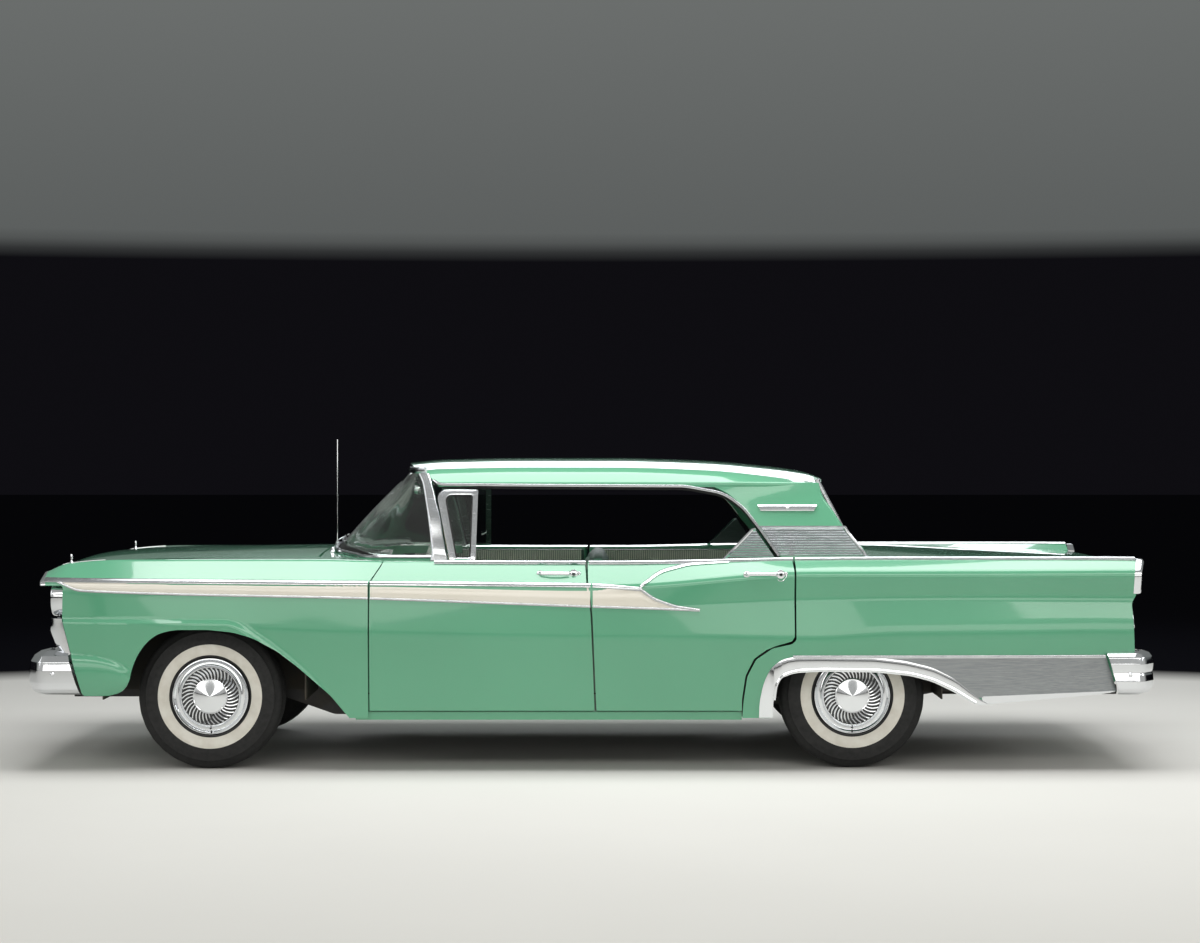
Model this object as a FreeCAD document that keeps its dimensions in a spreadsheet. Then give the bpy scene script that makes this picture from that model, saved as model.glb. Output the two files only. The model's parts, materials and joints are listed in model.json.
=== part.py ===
"""A full-size four-door hardtop sedan of the late 1950s, as a parametric assembly.

Frame: +X runs to the tail, +Y to the car's right, +Z up; the origin is on the floor,
midway between the bumpers and on the centre line. Units are millimetres and degrees.
"""

import FreeCAD, Part

import math
import os
import re

import Sketcher

Vector = FreeCAD.Vector
OUT = "parts"

# ---------------------------------------------------------------- driving dimensions
SIZES = [
    ("wheelbase", 2997, "front axle to rear axle"),
    ("front_overhang", 863, "front bumper face to front axle"),
    ("rear_overhang", 1420, "rear axle to rear bumper face"),
    ("half_width", 973, "widest point of the body from the centre line"),
    ("front_track", 1499, "between front tyre centres"),
    ("rear_track", 1433, "between rear tyre centres"),
    ("tyre_radius", 339, "floor to axle, on a standing tyre"),
    ("tyre_width", 190, "section width"),
    ("rim_radius", 182, "bead seat"),
    ("rim_width", 140, "between the rim's flanges"),
    ("spindle_radius", 16, "stub axle in the front hub"),
    ("drum_radius", 140, "brake drum outside"),
    ("belt_height", 968, "door tops above the floor"),
    ("sill_top", 278, "top of the rocker, under the doors"),
    ("sill_bottom", 240, "lowest edge of the body sides"),
    ("roof_height", 1445, "top of the roof above the floor"),
    ("roof_depth", 34, "roof panel with its headliner"),
    ("panel", 14, "wings, quarters and lids, with their flanges"),
    ("door_inner_y", 798, "inner trim face of the doors"),
    ("hinge_gap", 6, "shut line at a hinged edge"),
    ("latch_gap", 8, "shut line at a latched edge"),
    ("rail_inner_y", 380, "inner face of the chassis rails"),
    ("rail_width", 80, "chassis rail"),
    ("rail_bottom", 215, "underside of the rails between the axles"),
    ("rail_height", 120, "depth of the rails"),
    ("floor_thick", 16, "floor pan with its ribs"),
    ("steer_lock", 30, "front wheels, each way, in degrees"),
    ("bumper_thick", 42, "bumper bar, front to back"),
    ("seat_to_door", 108, "gap between a bench and the door trim"),
    ("steering_wheel_radius", 213, "centre of the rim's tube"),
    ("running_fit", 0.3, "gap between a turning piece and its seat"),
]

doc = FreeCAD.newDocument("HardtopSedan")
sheet = doc.addObject("Spreadsheet::Sheet", "Dim")
for row, (alias, value, note) in enumerate(SIZES, 1):
    sheet.set(f"A{row}", alias)
    sheet.set(f"B{row}", str(value))
    sheet.setAlias(f"B{row}", alias)
    sheet.set(f"C{row}", note)
doc.recompute()

ALIASES = {alias for alias, _, _ in SIZES}
size = {alias: float(getattr(sheet, alias)) for alias in ALIASES}

# Places worked out from the driving dimensions, as text that the sheet's cells drive.
DERIVED = {
    "nose_x": "-(front_overhang + wheelbase + rear_overhang) / 2",
    "tail_x": "(front_overhang + wheelbase + rear_overhang) / 2",
    "front_x": "(front_overhang - wheelbase - rear_overhang) / 2",
    "rear_x": "(front_overhang + wheelbase - rear_overhang) / 2",
    "fender_end_x": "front_x + 747",
    "split_x": "front_x + 747 + (wheelbase - 1021) * 0.517",
    "quarter_x": "rear_x - 274",
    "cowl_x": "front_x + 492",
    "rail_outer_y": "rail_inner_y + rail_width",
    "floor_z": "rail_bottom + rail_height",
    "hinge_y": "half_width + 2",
}


def spell(text):
    """Writes a size expression so that it refers to the sheet's own cells."""
    text = str(text)
    for _ in range(4):
        text = re.sub(
            r"\b[a-z_]+\b", lambda m: f"({DERIVED[m[0]]})" if m[0] in DERIVED else m[0], text
        )
    return re.sub(r"\b[a-z_]+\b", lambda m: f"Dim.{m[0]}" if m[0] in ALIASES else m[0], text)


def num(text):
    """The present value of a size expression."""
    return float(worked_out(spell(text).replace("Dim.", "")))


def worked_out(text):
    """Works out sums, products and brackets of named sizes."""
    tokens = re.findall(r"[a-z_]+|\d+\.?\d*|[-+*/()]", text)
    place = 0

    def atom():
        nonlocal place
        token = tokens[place]
        place += 1
        if token == "-":
            return -atom()
        if token == "(":
            value = total()
            place += 1
            return value
        return size[token] if token in size else float(token)

    def product():
        nonlocal place
        value = atom()
        while place < len(tokens) and tokens[place] in "*/":
            sign = tokens[place]
            place += 1
            other = atom()
            value = value * other if sign == "*" else value / other
        return value

    def total():
        nonlocal place
        value = product()
        while place < len(tokens) and tokens[place] in "+-":
            sign = tokens[place]
            place += 1
            other = product()
            value = value + other if sign == "+" else value - other
        return value

    return total()


# ---------------------------------------------------------------- document helpers
NODES = []


def bind(obj, **properties):
    """Binds properties of a document object to the sheet."""
    for name, text in properties.items():
        obj.setExpression(name.replace("__", "."), spell(text))
    return obj


def place(obj, x="0", y="0", z="0"):
    """Binds a piece's position to the sheet."""
    for axis, text in (("x", x), ("y", y), ("z", z)):
        obj.setExpression(f"Placement.Base.{axis}", spell(text))
    return obj


def box(name, x0, x1, y0, y1, z0, z1):
    """A block between six named planes."""
    block = doc.addObject("Part::Box", name)
    bind(block, Length=f"({x1}) - ({x0})", Width=f"({y1}) - ({y0})", Height=f"({z1}) - ({z0})")
    return place(block, x0, y0, z0)


def rod(name, axis, radius, start, end, a, b):
    """A round bar along X, Y or Z from start to end; a and b are its other two coordinates."""
    bar = doc.addObject("Part::Cylinder", name)
    bind(bar, Radius=radius, Height=f"({end}) - ({start})")
    if axis == "x":
        bar.Placement = FreeCAD.Placement(Vector(), FreeCAD.Rotation(Vector(0, 1, 0), 90))
        return place(bar, start, a, b)
    if axis == "y":
        bar.Placement = FreeCAD.Placement(Vector(), FreeCAD.Rotation(Vector(1, 0, 0), -90))
        return place(bar, a, start, b)
    return place(bar, a, b, start)


def fuse(name, *shapes):
    """One solid from several that meet."""
    joined = doc.addObject("Part::MultiFuse", name)
    joined.Shapes = list(shapes)
    joined.Refine = False
    return joined


def cut(name, base, *tools):
    """A piece with material taken away."""
    for n, tool in enumerate(tools):
        result = doc.addObject("Part::Cut", name if n == len(tools) - 1 else f"{name}_{n}")
        result.Base = base
        result.Tool = tool
        base = result
    return base


def mirrored(name, source):
    """The same piece on the other side of the car."""
    twin = doc.addObject("Part::Mirroring", name)
    twin.Source = source
    twin.Normal = Vector(0, 1, 0)
    return twin


def group(name, *members):
    """Several pieces in one node."""
    held = doc.addObject("Part::Compound", name)
    held.Links = list(members)
    return held


def pair(name, right):
    """A piece and its mirror twin, in one node."""
    return group(name, right, mirrored(f"{name}_twin", right))


def made(name, shape):
    """A piece whose shape is built with Part's own functions."""
    feature = doc.addObject("Part::Feature", name)
    feature.Shape = shape
    return feature


def node(label, obj):
    """Marks an object as a piece that is written out under this label."""
    obj.Label = label
    NODES.append(obj)
    return obj


# ---------------------------------------------------------------- shape helpers
def rounded_wire(points, closed=True):
    """A wire of straight runs whose corners are arcs. points: (Vector, corner radius)."""
    count = len(points)
    corners = []
    for n, (here, radius) in enumerate(points):
        before, after = points[n - 1][0], points[(n + 1) % count][0]
        if radius <= 0 or (not closed and n in (0, count - 1)):
            corners.append((here, here, here))
            continue
        back, ahead = before - here, after - here
        half = back.getAngle(ahead) / 2
        reach = min(radius / math.tan(half), 0.45 * back.Length, 0.45 * ahead.Length)
        radius = reach * math.tan(half)
        back.normalize()
        ahead.normalize()
        middle = back + ahead
        middle.normalize()
        centre = here + middle * (radius / math.sin(half))
        corners.append((here + back * reach, centre - middle * radius, here + ahead * reach))
    edges = []
    for n in range(count if closed else count - 1):
        start, middle, end = corners[n]
        if start.distanceToPoint(end) > 1e-6:
            edges.append(Part.Arc(start, middle, end).toShape())
        following = corners[(n + 1) % count][0]
        if end.distanceToPoint(following) > 1e-6:
            edges.append(Part.LineSegment(end, following).toShape())
    return Part.Wire(edges)


def side_face(outline, y):
    """A flat face in the side view. outline: (x, z) or (x, z, corner radius)."""
    points = [(Vector(p[0], y, p[1]), p[2] if len(p) > 2 else 0) for p in outline]
    return Part.Face(rounded_wire(points))


def side_prism(outline, y0, y1):
    """A side-view outline carried from y0 to y1."""
    return side_face(outline, y0).extrude(Vector(0, y1 - y0, 0))


def plan_prism(outline, z0, z1):
    """A plan-view outline of (x, y) or (x, y, corner radius), carried from z0 to z1."""
    points = [(Vector(p[0], p[1], z0), p[2] if len(p) > 2 else 0) for p in outline]
    return Part.Face(rounded_wire(points)).extrude(Vector(0, 0, z1 - z0))


def front_prism(outline, x0, x1):
    """A front-view outline of (y, z) or (y, z, corner radius), carried from x0 to x1."""
    points = [(Vector(x0, p[0], p[1]), p[2] if len(p) > 2 else 0) for p in outline]
    return Part.Face(rounded_wire(points)).extrude(Vector(x1 - x0, 0, 0))


def inset_line(points, depth):
    """An open line of (a, b) points moved to its right by depth, with mitred corners."""
    moved = []
    for n, (a, b) in enumerate(points):
        normals = []
        for first, second in ((n - 1, n), (n, n + 1)):
            if first < 0 or second >= len(points):
                continue
            da, db = points[second][0] - points[first][0], points[second][1] - points[first][1]
            length = math.hypot(da, db)
            normals.append((db / length, -da / length))
        na = sum(v[0] for v in normals) / len(normals)
        nb = sum(v[1] for v in normals) / len(normals)
        scale = depth / (na * na + nb * nb)
        moved.append((a + na * scale, b + nb * scale))
    return moved


def mirror(shape):
    """A shape on the other side of the centre line."""
    return shape.mirror(Vector(), Vector(0, 1, 0))


# ---------------------------------------------------------------- body side
front_x, rear_x = num("front_x"), num("rear_x")
nose_x, tail_x = num("nose_x"), num("tail_x")
fender_end_x, split_x, quarter_x = num("fender_end_x"), num("split_x"), num("quarter_x")
cowl_x = num("cowl_x")
half_width, belt, panel = size["half_width"], size["belt_height"], size["panel"]
sill_top, sill_bottom = size["sill_top"], size["sill_bottom"]
tyre_radius = size["tyre_radius"]
hinge_gap, latch_gap = size["hinge_gap"], size["latch_gap"]
fit = size["running_fit"]

# Each row is one cross-section of the right side: x, then six points of the outer skin as
# (in from half_width, above the belt): inner edge, ridge, shoulder, waist, bulge, hem.
SIDE = [
    (nose_x + 92, (263, -62), (173, -50), (62, -88), (58, -130), (62, -262), (70, -520)),
    (nose_x + 200, (263, -14), (165, -8), (45, -84), (42, -140), (50, -268), (60, -640)),
    (front_x - 423, (268, 4), (163, 8), (28, -84), (25, -150), (20, -275), (40, -718)),
    (front_x, (273, 12), (160, 9), (21, -86), (18, -156), (8, -288), (30, -718)),
    (cowl_x, (278, 16), (157, 8), (18, -90), (13, -162), (3, -318), (30, -718)),
    (fender_end_x + 120, (175, 2), (123, 2), (15, -94), (11, -170), (0, -328), (33, -718)),
    (split_x + 120, (175, 0), (118, 0), (11, -106), (7, -203), (0, -348), (33, -718)),
    (quarter_x + 70, (180, 14), (116, 16), (14, -44), (30, -168), (5, -348), (33, -718)),
    (rear_x + 206, (233, 14), (123, 18), (20, -44), (38, -162), (8, -318), (33, -690)),
    (rear_x + 668, (228, 2), (123, 18), (26, -45), (50, -160), (14, -308), (42, -650)),
    (rear_x + 1130, (218, -12), (125, 18), (36, -46), (70, -160), (32, -303), (62, -610)),
    (tail_x - 105, (213, -18), (129, 17), (46, -48), (86, -160), (46, -303), (72, -588)),
]
CORNER_RADII = (0, 34, 44, 60, 150, 0)


def side_points(x):
    """The six skin points at x, between the rows of SIDE."""
    for first, second in zip(SIDE, SIDE[1:]):
        if x <= second[0] or second is SIDE[-1]:
            share = (x - first[0]) / (second[0] - first[0])
            return [
                (half_width - a[0] - share * (b[0] - a[0]), belt + a[1] + share * (b[1] - a[1]))
                for a, b in zip(first[1:], second[1:])
            ]


def stations(x0, x1):
    """Where a panel from x0 to x1 has its cross-sections."""
    return [x0] + [row[0] for row in SIDE if x0 + 5 < row[0] < x1 - 5] + [x1]


def skin_section(x, depth, inner_y=None):
    """A closed cross-section at x: the skin and its inner side, or a flat face at inner_y."""
    outer = side_points(x)
    if inner_y is None:
        inner = inset_line(outer, depth)[::-1]
    else:
        outer[0] = (inner_y, outer[0][1])
        inner = [(inner_y, outer[-1][1])]
    ring = [(Vector(x, y, z), r) for (y, z), r in zip(outer, CORNER_RADII)]
    radii = [r and max(r - depth, 6) for r in CORNER_RADII[::-1]]
    ring += [(Vector(x, y, z), r) for (y, z), r in zip(inner, radii)]
    return rounded_wire(ring)


def side_slab(x0, x1, depth, inner_y=None):
    """The right body side between two stations, straight from one section to the next."""
    wires = [skin_section(x, depth, inner_y) for x in stations(x0, x1)]
    return Part.makeLoft(wires, True, True)


# ---------------------------------------------------------------- wings and quarters
ARCH_TOP = tyre_radius + 310


def front_wing():
    """Right front wing: skin with its wheel opening, nose and forward pod."""
    skin = side_slab(nose_x + 92, fender_end_x + 62, panel)
    outline = [
        (nose_x + 92, belt - 66, 12),
        (nose_x + 110, belt + 60),
        (fender_end_x + 56, belt + 60),
        (fender_end_x + 56, belt - 6, 30),
        (fender_end_x, belt - 96, 60),
        (fender_end_x, sill_bottom),
        (front_x + 640, sill_bottom),
        (front_x + 455, tyre_radius + 70, 120),
        (front_x + 250, ARCH_TOP - 40, 200),
        (front_x, ARCH_TOP, 200),
        (front_x - 220, ARCH_TOP - 8, 200),
        (front_x - 325, tyre_radius + 160, 120),
        (front_x - 354, tyre_radius + 15),
        (front_x - 395, sill_bottom + 116, 40),
        (nose_x + 330, sill_bottom + 120, 30),
        (nose_x + 250, sill_bottom + 320, 30),
        (nose_x + 196, sill_bottom + 420),
        (nose_x + 196, belt - 108, 12),
        (nose_x + 100, belt - 108, 12),
    ]
    return skin.common(side_prism(outline, 0, half_width + 50))


def rear_quarter():
    """Right rear quarter: skin with its low wheel opening and raised fin."""
    skin = side_slab(quarter_x - 300, tail_x - 112, panel)
    outline = [
        (quarter_x, belt + 60),
        (tail_x - 112, belt + 60),
        (tail_x - 112, belt - 150, 40),
        (tail_x - 135, belt - 190, 40),
        (tail_x - 125, belt - 430),
        (tail_x - 240, sill_bottom + 145, 60),
        (rear_x + 690, sill_bottom + 85, 40),
        (rear_x + 585, sill_bottom + 70, 20),
        (rear_x + 430, tyre_radius + 75, 120),
        (rear_x + 250, tyre_radius + 131, 120),
        (rear_x - 285, tyre_radius + 131, 130),
        (rear_x - 400, tyre_radius + 20, 120),
        (rear_x - 400, sill_bottom),
        (quarter_x - 250, sill_bottom),
        (quarter_x - 242, sill_top + 60, 40),
        (quarter_x - 220, sill_top + 190, 120),
        (quarter_x - 110, sill_top + 290, 120),
        (quarter_x, sill_top + 310, 30),
    ]
    return skin.common(side_prism(outline, 0, half_width + 50))


node("front_wings", pair("front_wings", made("front_wing_right", front_wing())))
node("rear_quarters", pair("rear_quarters", made("rear_quarter_right", rear_quarter())))


# ---------------------------------------------------------------- doors
def swing_envelope(hinge_x, hinge_y, reach):
    """What stays clear of the latch side while a door swings. reach: (radius, z) going up."""
    profile = [Vector(hinge_x, hinge_y, reach[0][1])]
    profile += [Vector(hinge_x + radius, hinge_y, z) for radius, z in reach]
    profile += [Vector(hinge_x, hinge_y, reach[-1][1])]
    face = Part.Face(Part.makePolygon(profile + profile[:1]))
    return face.revolve(Vector(hinge_x, hinge_y, 0), Vector(0, 0, 1), 360)


def door(hinge_x, edge, latch, x_end):
    """A right door. edge: its hinged edge as (x, z) going up; latch: the line its swing keeps inside."""
    inner_y = size["door_inner_y"]
    shell = side_slab(hinge_x - 60, x_end, 0, inner_y)
    low, high = sill_top + hinge_gap, belt + 80
    outline = edge + [(x_end, high), (x_end, low)]
    shell = shell.common(side_prism(outline, 0, half_width + 50))
    reach = [(x - hinge_x - latch_gap, z) for x, z in latch]
    return shell.common(swing_envelope(hinge_x, num("hinge_y"), reach))


low_z, high_z = sill_top - 40, belt + 90
front_edge = [
    (fender_end_x + hinge_gap, sill_top + hinge_gap),
    (fender_end_x + hinge_gap, belt - 96, 60),
    (fender_end_x + 56 + hinge_gap, belt - 6, 30),
    (fender_end_x + 56 + hinge_gap, belt + 80),
]
split_line = [(split_x + 34, low_z), (split_x + 14, belt - 250), (split_x + 8, belt - 190)]
split_line += [(split_x - 6, belt - 110), (split_x - 10, high_z)]
middle_edge = [
    (split_x + 32, sill_top + hinge_gap),
    (split_x + 14, belt - 250, 60),
    (split_x + 8, belt - 190, 60),
    (split_x - 6, belt - 110, 40),
    (split_x - 10, belt + 80),
]
quarter_line = [
    (quarter_x - 242, low_z),
    (quarter_x - 242, sill_top + 60),
    (quarter_x - 226, sill_top + 170),
    (quarter_x - 186, sill_top + 250),
    (quarter_x - 110, sill_top + 302),
    (quarter_x - 20, sill_top + 322),
    (quarter_x, sill_top + 340),
    (quarter_x, high_z),
]
front_door = made("front_door_solid", door(fender_end_x + hinge_gap, front_edge, split_line, split_x + 60))
rear_door = made("rear_door_solid", door(split_x - 10, middle_edge, quarter_line, quarter_x + 60))
node("front_door_right", front_door)
node("front_door_left", mirrored("front_door_twin", front_door))
node("rear_door_right", rear_door)
node("rear_door_left", mirrored("rear_door_twin", rear_door))


# ---------------------------------------------------------------- bonnet, boot lid and deck
# Crown of the bonnet and deck: x, above the belt on the centre line.
CROWN = [
    (nose_x + 92, -58),
    (nose_x + 200, 4),
    (front_x - 423, 20),
    (front_x, 30),
    (cowl_x, 38),
    (cowl_x + 190, 17),
    (rear_x - 80, 36),
    (rear_x + 206, 30),
    (rear_x + 668, 12),
    (tail_x - 150, -10),
]


def crown(x):
    """Height of the bonnet or deck on the centre line."""
    for (x0, z0), (x1, z1) in zip(CROWN, CROWN[1:]):
        if x <= x1 or (x1, z1) == CROWN[-1]:
            return belt + z0 + (z1 - z0) * (x - x0) / (x1 - x0)


def lid_section(x, gap, depth):
    """A cross-section of a crowned panel that fills the space between the body sides."""
    edge_y, edge_z = side_points(x)[0]
    edge_y -= gap
    middle_y, middle_z = 0.55 * edge_y, crown(x) - 0.2 * (crown(x) - edge_z)
    top = [(-edge_y, edge_z), (-middle_y, middle_z), (0, crown(x)), (middle_y, middle_z), (edge_y, edge_z)]
    ring = top + [(y, z - depth) for y, z in top[::-1]]
    radii = [0, 400, 2000, 400, 0] * 2
    return rounded_wire([(Vector(x, y, z), r) for (y, z), r in zip(ring, radii)])


def crowned_panel(x0, x1, gap, depth):
    """A crowned panel between the body sides, from x0 to x1."""
    inner = [row[0] for row in SIDE] + [row[0] for row in CROWN]
    places = [x0] + sorted({x for x in inner if x0 + 5 < x < x1 - 5}) + [x1]
    return Part.makeLoft([lid_section(x, gap, depth) for x in places], True, True)


bonnet_x0, bonnet_x1 = nose_x + 92, cowl_x
lid_depth = 20
LAMPS_Y = (652, 822)
lip_y = LAMPS_Y[0] - 100
lip = front_prism(
    [(-lip_y, belt - 108), (lip_y, belt - 108), (lip_y, belt - 70), (-lip_y, belt - 70)],
    bonnet_x0,
    bonnet_x0 + 30,
)
node("bonnet", made("bonnet", crowned_panel(bonnet_x0, bonnet_x1, hinge_gap, lid_depth).fuse(lip)))

boot_x0, boot_x1 = rear_x + 85, tail_x - 150
boot_face_y, boot_face_z = 560, belt - 265
boot_face = front_prism(
    [
        (-boot_face_y, boot_face_z, 40),
        (boot_face_y, boot_face_z, 40),
        (boot_face_y, belt - 22),
        (-boot_face_y, belt - 22),
    ],
    boot_x1 - 16,
    boot_x1,
)
boot_lid = crowned_panel(boot_x0, boot_x1, latch_gap, lid_depth).fuse(boot_face)
node("boot_lid", made("boot_lid", boot_lid))


# ---------------------------------------------------------------- roof and rear pillars
roof_height, roof_depth = size["roof_height"], size["roof_depth"]
rail_z = roof_height - 133
# Roof cross-sections: x, half-width at the drip rail, crown below roof_height.
ROOF = [
    (front_x + 860, 640, -24),
    (front_x + 1060, 672, -7),
    (front_x + 1477, 692, 0),
    (rear_x - 1120, 702, 0),
    (rear_x - 680, 702, -12),
    (rear_x - 430, 700, -32),
    (rear_x - 180, 692, -64),
    (rear_x - 100, 686, -92),
]
post_height = rail_z - belt
# Rear pillar levels: z, front edge and rear edge from the rear axle, outer face.
PILLAR = [
    (belt + 0.07 * post_height, -346, 67, 812),
    (belt + 0.44 * post_height, -433, -31, 768),
    (belt + 0.712 * post_height, -508, -90, 735),
    (belt + 0.907 * post_height, -583, -134, 712),
    (rail_z + 20, -690, -145, 696),
]
pillar_depth = 46


def roof_section(x, drip_y, drop):
    """A closed cross-section of the roof, with a flat-bottomed rail at each side."""
    top = roof_height + drop
    outer = [(0, top), (0.58 * drip_y, top - 12), (0.9 * drip_y, top - 48), (drip_y, rail_z + 22)]
    radii = [3000, 700, 60, 10]
    low = top - roof_depth
    inner = [(drip_y, rail_z), (drip_y - 48, rail_z), (0.86 * drip_y, top - 48 - roof_depth)]
    inner += [(0.56 * drip_y, low - 12), (0, low)]
    half = outer + inner
    half_radii = radii + [0, 0, 30, 500, 3000]
    left = [(-y, z) for y, z in half[1:-1][::-1]]
    ring = half + left
    ring_radii = half_radii + half_radii[1:-1][::-1]
    return rounded_wire([(Vector(x, y, z), r) for (y, z), r in zip(ring, ring_radii)])


def rectangle(x0, x1, y0, y1, z):
    """A level rectangle as a wire."""
    return Part.makePolygon([Vector(*p, z) for p in ((x0, y0), (x1, y0), (x1, y1), (x0, y1), (x0, y0))])


def rear_pillar():
    """Right rear pillar with its foot beside the deck."""
    levels = [
        rectangle(rear_x + front, rear_x + back, y - pillar_depth, y, z)
        for z, front, back, y in PILLAR
    ]
    foot_x0, foot_x1 = quarter_x + 24, rear_x + 67
    foot = plan_prism(
        [(foot_x0, 766), (foot_x1, 732), (foot_x1, 812), (foot_x0, 812)], belt - 70, belt + 30
    )
    return Part.makeLoft(levels, True, True).fuse(foot)


# Windscreen edge in plan, from the centre line to the pillar: x from the front axle, y, radius.
GLASS_BASE = [
    (front_x + 517, 0, 0),
    (front_x + 545, 430, 300),
    (front_x + 740, 745, 150),
    (front_x + 1085, 768, 0),
]
GLASS_TOP = [
    (front_x + 890, 0, 0),
    (front_x + 905, 400, 300),
    (front_x + 945, 572, 60),
    (front_x + 1000, 612, 0),
]
glass_base_z, glass_top_z = belt + 30, rail_z + 80
glass_depth = 7


def glass_ring(curve, z, outward, inward):
    """A closed band in plan that follows a windscreen edge, right round from pillar to pillar."""
    right = [(x, y) for x, y, _ in curve]
    whole = [(x, -y) for x, y in right[:0:-1]] + right
    radii = [r for _, _, r in curve]
    whole_radii = radii[:0:-1] + radii
    outer = inset_line(whole, -outward)
    inner = inset_line(whole, inward)
    ring = [(Vector(x, y, z), r) for (x, y), r in zip(outer, whole_radii)]
    ring += [(Vector(x, y, z), r) for (x, y), r in zip(inner[::-1], whole_radii[::-1])]
    return rounded_wire(ring)


def front_pillar():
    """Right windscreen pillar, leaning forward at its foot."""
    base, top = GLASS_BASE[-1], GLASS_TOP[-1]
    low = rectangle(base[0] - 12, base[0] + 52, base[1] - 28, base[1] + 22, belt + 10)
    high = rectangle(top[0] - 8, top[0] + 44, top[1] - 22, top[1] + 28, rail_z + 60)
    return Part.makeLoft([low, high], True, True)


right_quarter = rear_quarter()
roof_plate = Part.makeLoft([roof_section(*row) for row in ROOF], True, True)
roof_front = [(x - 6, y, r) for x, y, r in GLASS_TOP[:-1]] + [(front_x + 1065, 760, 0)]
roof_plan = [(x, -y, r) for x, y, r in roof_front[:0:-1]] + roof_front
roof_plan += [(rear_x + 200, 760, 0), (rear_x + 200, -760, 0)]
roof_plate = roof_plate.common(plan_prism(roof_plan, belt, roof_height + 50))
pillar = rear_pillar().cut(right_quarter)
roof_solid = roof_plate.fuse([pillar, mirror(pillar)])
node("roof", made("roof", roof_solid))


# ---------------------------------------------------------------- windscreen, cowl and dash
def pane(curve_low, curve_high, z_low, z_high):
    """A sheet of glass between two plan curves."""
    rings = [glass_ring(curve, z, 0, glass_depth) for curve, z in ((curve_low, z_low), (curve_high, z_high))]
    return Part.makeLoft(rings, True, True)


def band(curve, z0, z1, outward, inward):
    """A level band in plan that follows a glass edge."""
    return Part.Face(glass_ring(curve, z0, outward, inward)).extrude(Vector(0, 0, z1 - z0))


def slab_between(z0, z1):
    """Everything of the car between two heights."""
    return Part.makeBox(2 * tail_x, 2 * half_width, z1 - z0, Vector(nose_x, -half_width, z0))


shelf_z = belt + 10
header_z = rail_z + 55
header = band(GLASS_TOP, header_z, header_z + 45, 14, 26)
moulding = band(GLASS_BASE, shelf_z, shelf_z + 32, 16, 14)
post = front_pillar()
frame = moulding.fuse([post, mirror(post), header]).cut(roof_solid)
node("windscreen_frame", made("windscreen_frame", frame))

screen = pane(GLASS_BASE, GLASS_TOP, shelf_z + 20, header_z + 25)
screen = screen.common(slab_between(shelf_z + 32, header_z)).cut([post, mirror(post), roof_solid])
node("windscreen", made("windscreen", screen))

shelf = band(GLASS_BASE, shelf_z - 40, shelf_z, 18, 70)
cowl_top = crowned_panel(cowl_x + hinge_gap, fender_end_x + 40, latch_gap, 16)
shelf_line = inset_line([(x, y) for x, y, _ in GLASS_BASE], -17)
inside_glass = [(x, -y) for x, y in shelf_line[:0:-1]] + shelf_line
inside_radii = [r for _, _, r in GLASS_BASE]
inside_radii = inside_radii[:0:-1] + inside_radii
cowl_top = cowl_top.cut(
    plan_prism([(x, y, r) for (x, y), r in zip(inside_glass, inside_radii)], belt - 100, belt + 100)
)
floor_z, floor_thick = num("floor_z"), size["floor_thick"]
wall_y = size["door_inner_y"] - 15
fire_x = cowl_x + 60
fire_low = floor_z + floor_thick
firewall = Part.makeBox(16, 2 * wall_y - 40, shelf_z - 30 - fire_low, Vector(fire_x, 20 - wall_y, fire_low))
firewall = firewall.cut(Part.makeBox(40, 284, 112, Vector(fire_x - 10, -142, floor_z)))
hinge_leaves = [
    Part.makeBox(hinge_gap + 30 - fit, 60, 12, Vector(cowl_x + fit, y, belt + 8)) for y in (-540, 480)
]
node("cowl", made("cowl", cowl_top.fuse([shelf, firewall, *hinge_leaves])))

dash_outline = [
    (fire_x + 30, belt - 30),
    (fire_x + 235, belt - 30, 20),
    (fire_x + 262, belt - 62, 30),
    (fire_x + 235, belt - 170, 30),
    (fire_x + 200, belt - 240, 10),
    (fire_x + 30, belt - 240),
]
dash = side_prism(dash_outline, 80 - wall_y, wall_y - 80).cut(shelf)
node("dashboard", made("dashboard", dash))


# ---------------------------------------------------------------- floor, rockers and posts
fire_text = "cowl_x + 60"
seat_riser_x = "rear_x - 560"
boot_floor_z = "floor_z + 150"
tunnel_x = f"{fire_text} + 16"
floor_sheet = fuse(
    "floor_sheet",
    *(
        box("cabin_floor", fire_text, f"{seat_riser_x} + floor_thick", "15 - door_inner_y",
            "door_inner_y - 15", "floor_z", "floor_z + floor_thick"),
        box("seat_riser", seat_riser_x, f"{seat_riser_x} + floor_thick", "40 - door_inner_y",
            "door_inner_y - 40", "floor_z", f"{boot_floor_z} + floor_thick"),
        box("boot_floor", seat_riser_x, "tail_x - 200", "-560", "560", boot_floor_z,
            f"{boot_floor_z} + floor_thick"),
        box("tunnel", tunnel_x, f"{seat_riser_x} + floor_thick", "-142", "142", "floor_z", "floor_z + 112"),
    ),
)
tunnel_opening = box("tunnel_opening", f"{fire_text} - 1", f"{seat_riser_x} + floor_thick + 1", "-130", "130",
                     "floor_z - 1", "floor_z + 100")
node("floor_pan", cut("floor_pan", floor_sheet, tunnel_opening))

rocker = fuse(
    "rocker_right",
    box("rocker_beam", "fender_end_x - 60", "quarter_x - 250", "door_inner_y - 15", "half_width - 50",
        "sill_bottom", "sill_top"),
    box("rocker_flange", "fender_end_x - 60", "quarter_x - 250", "door_inner_y - 15",
        "door_inner_y - 3", "sill_bottom", "floor_z + floor_thick - 6"),
)
node("rocker_panels", pair("rocker_panels", rocker))

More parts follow.
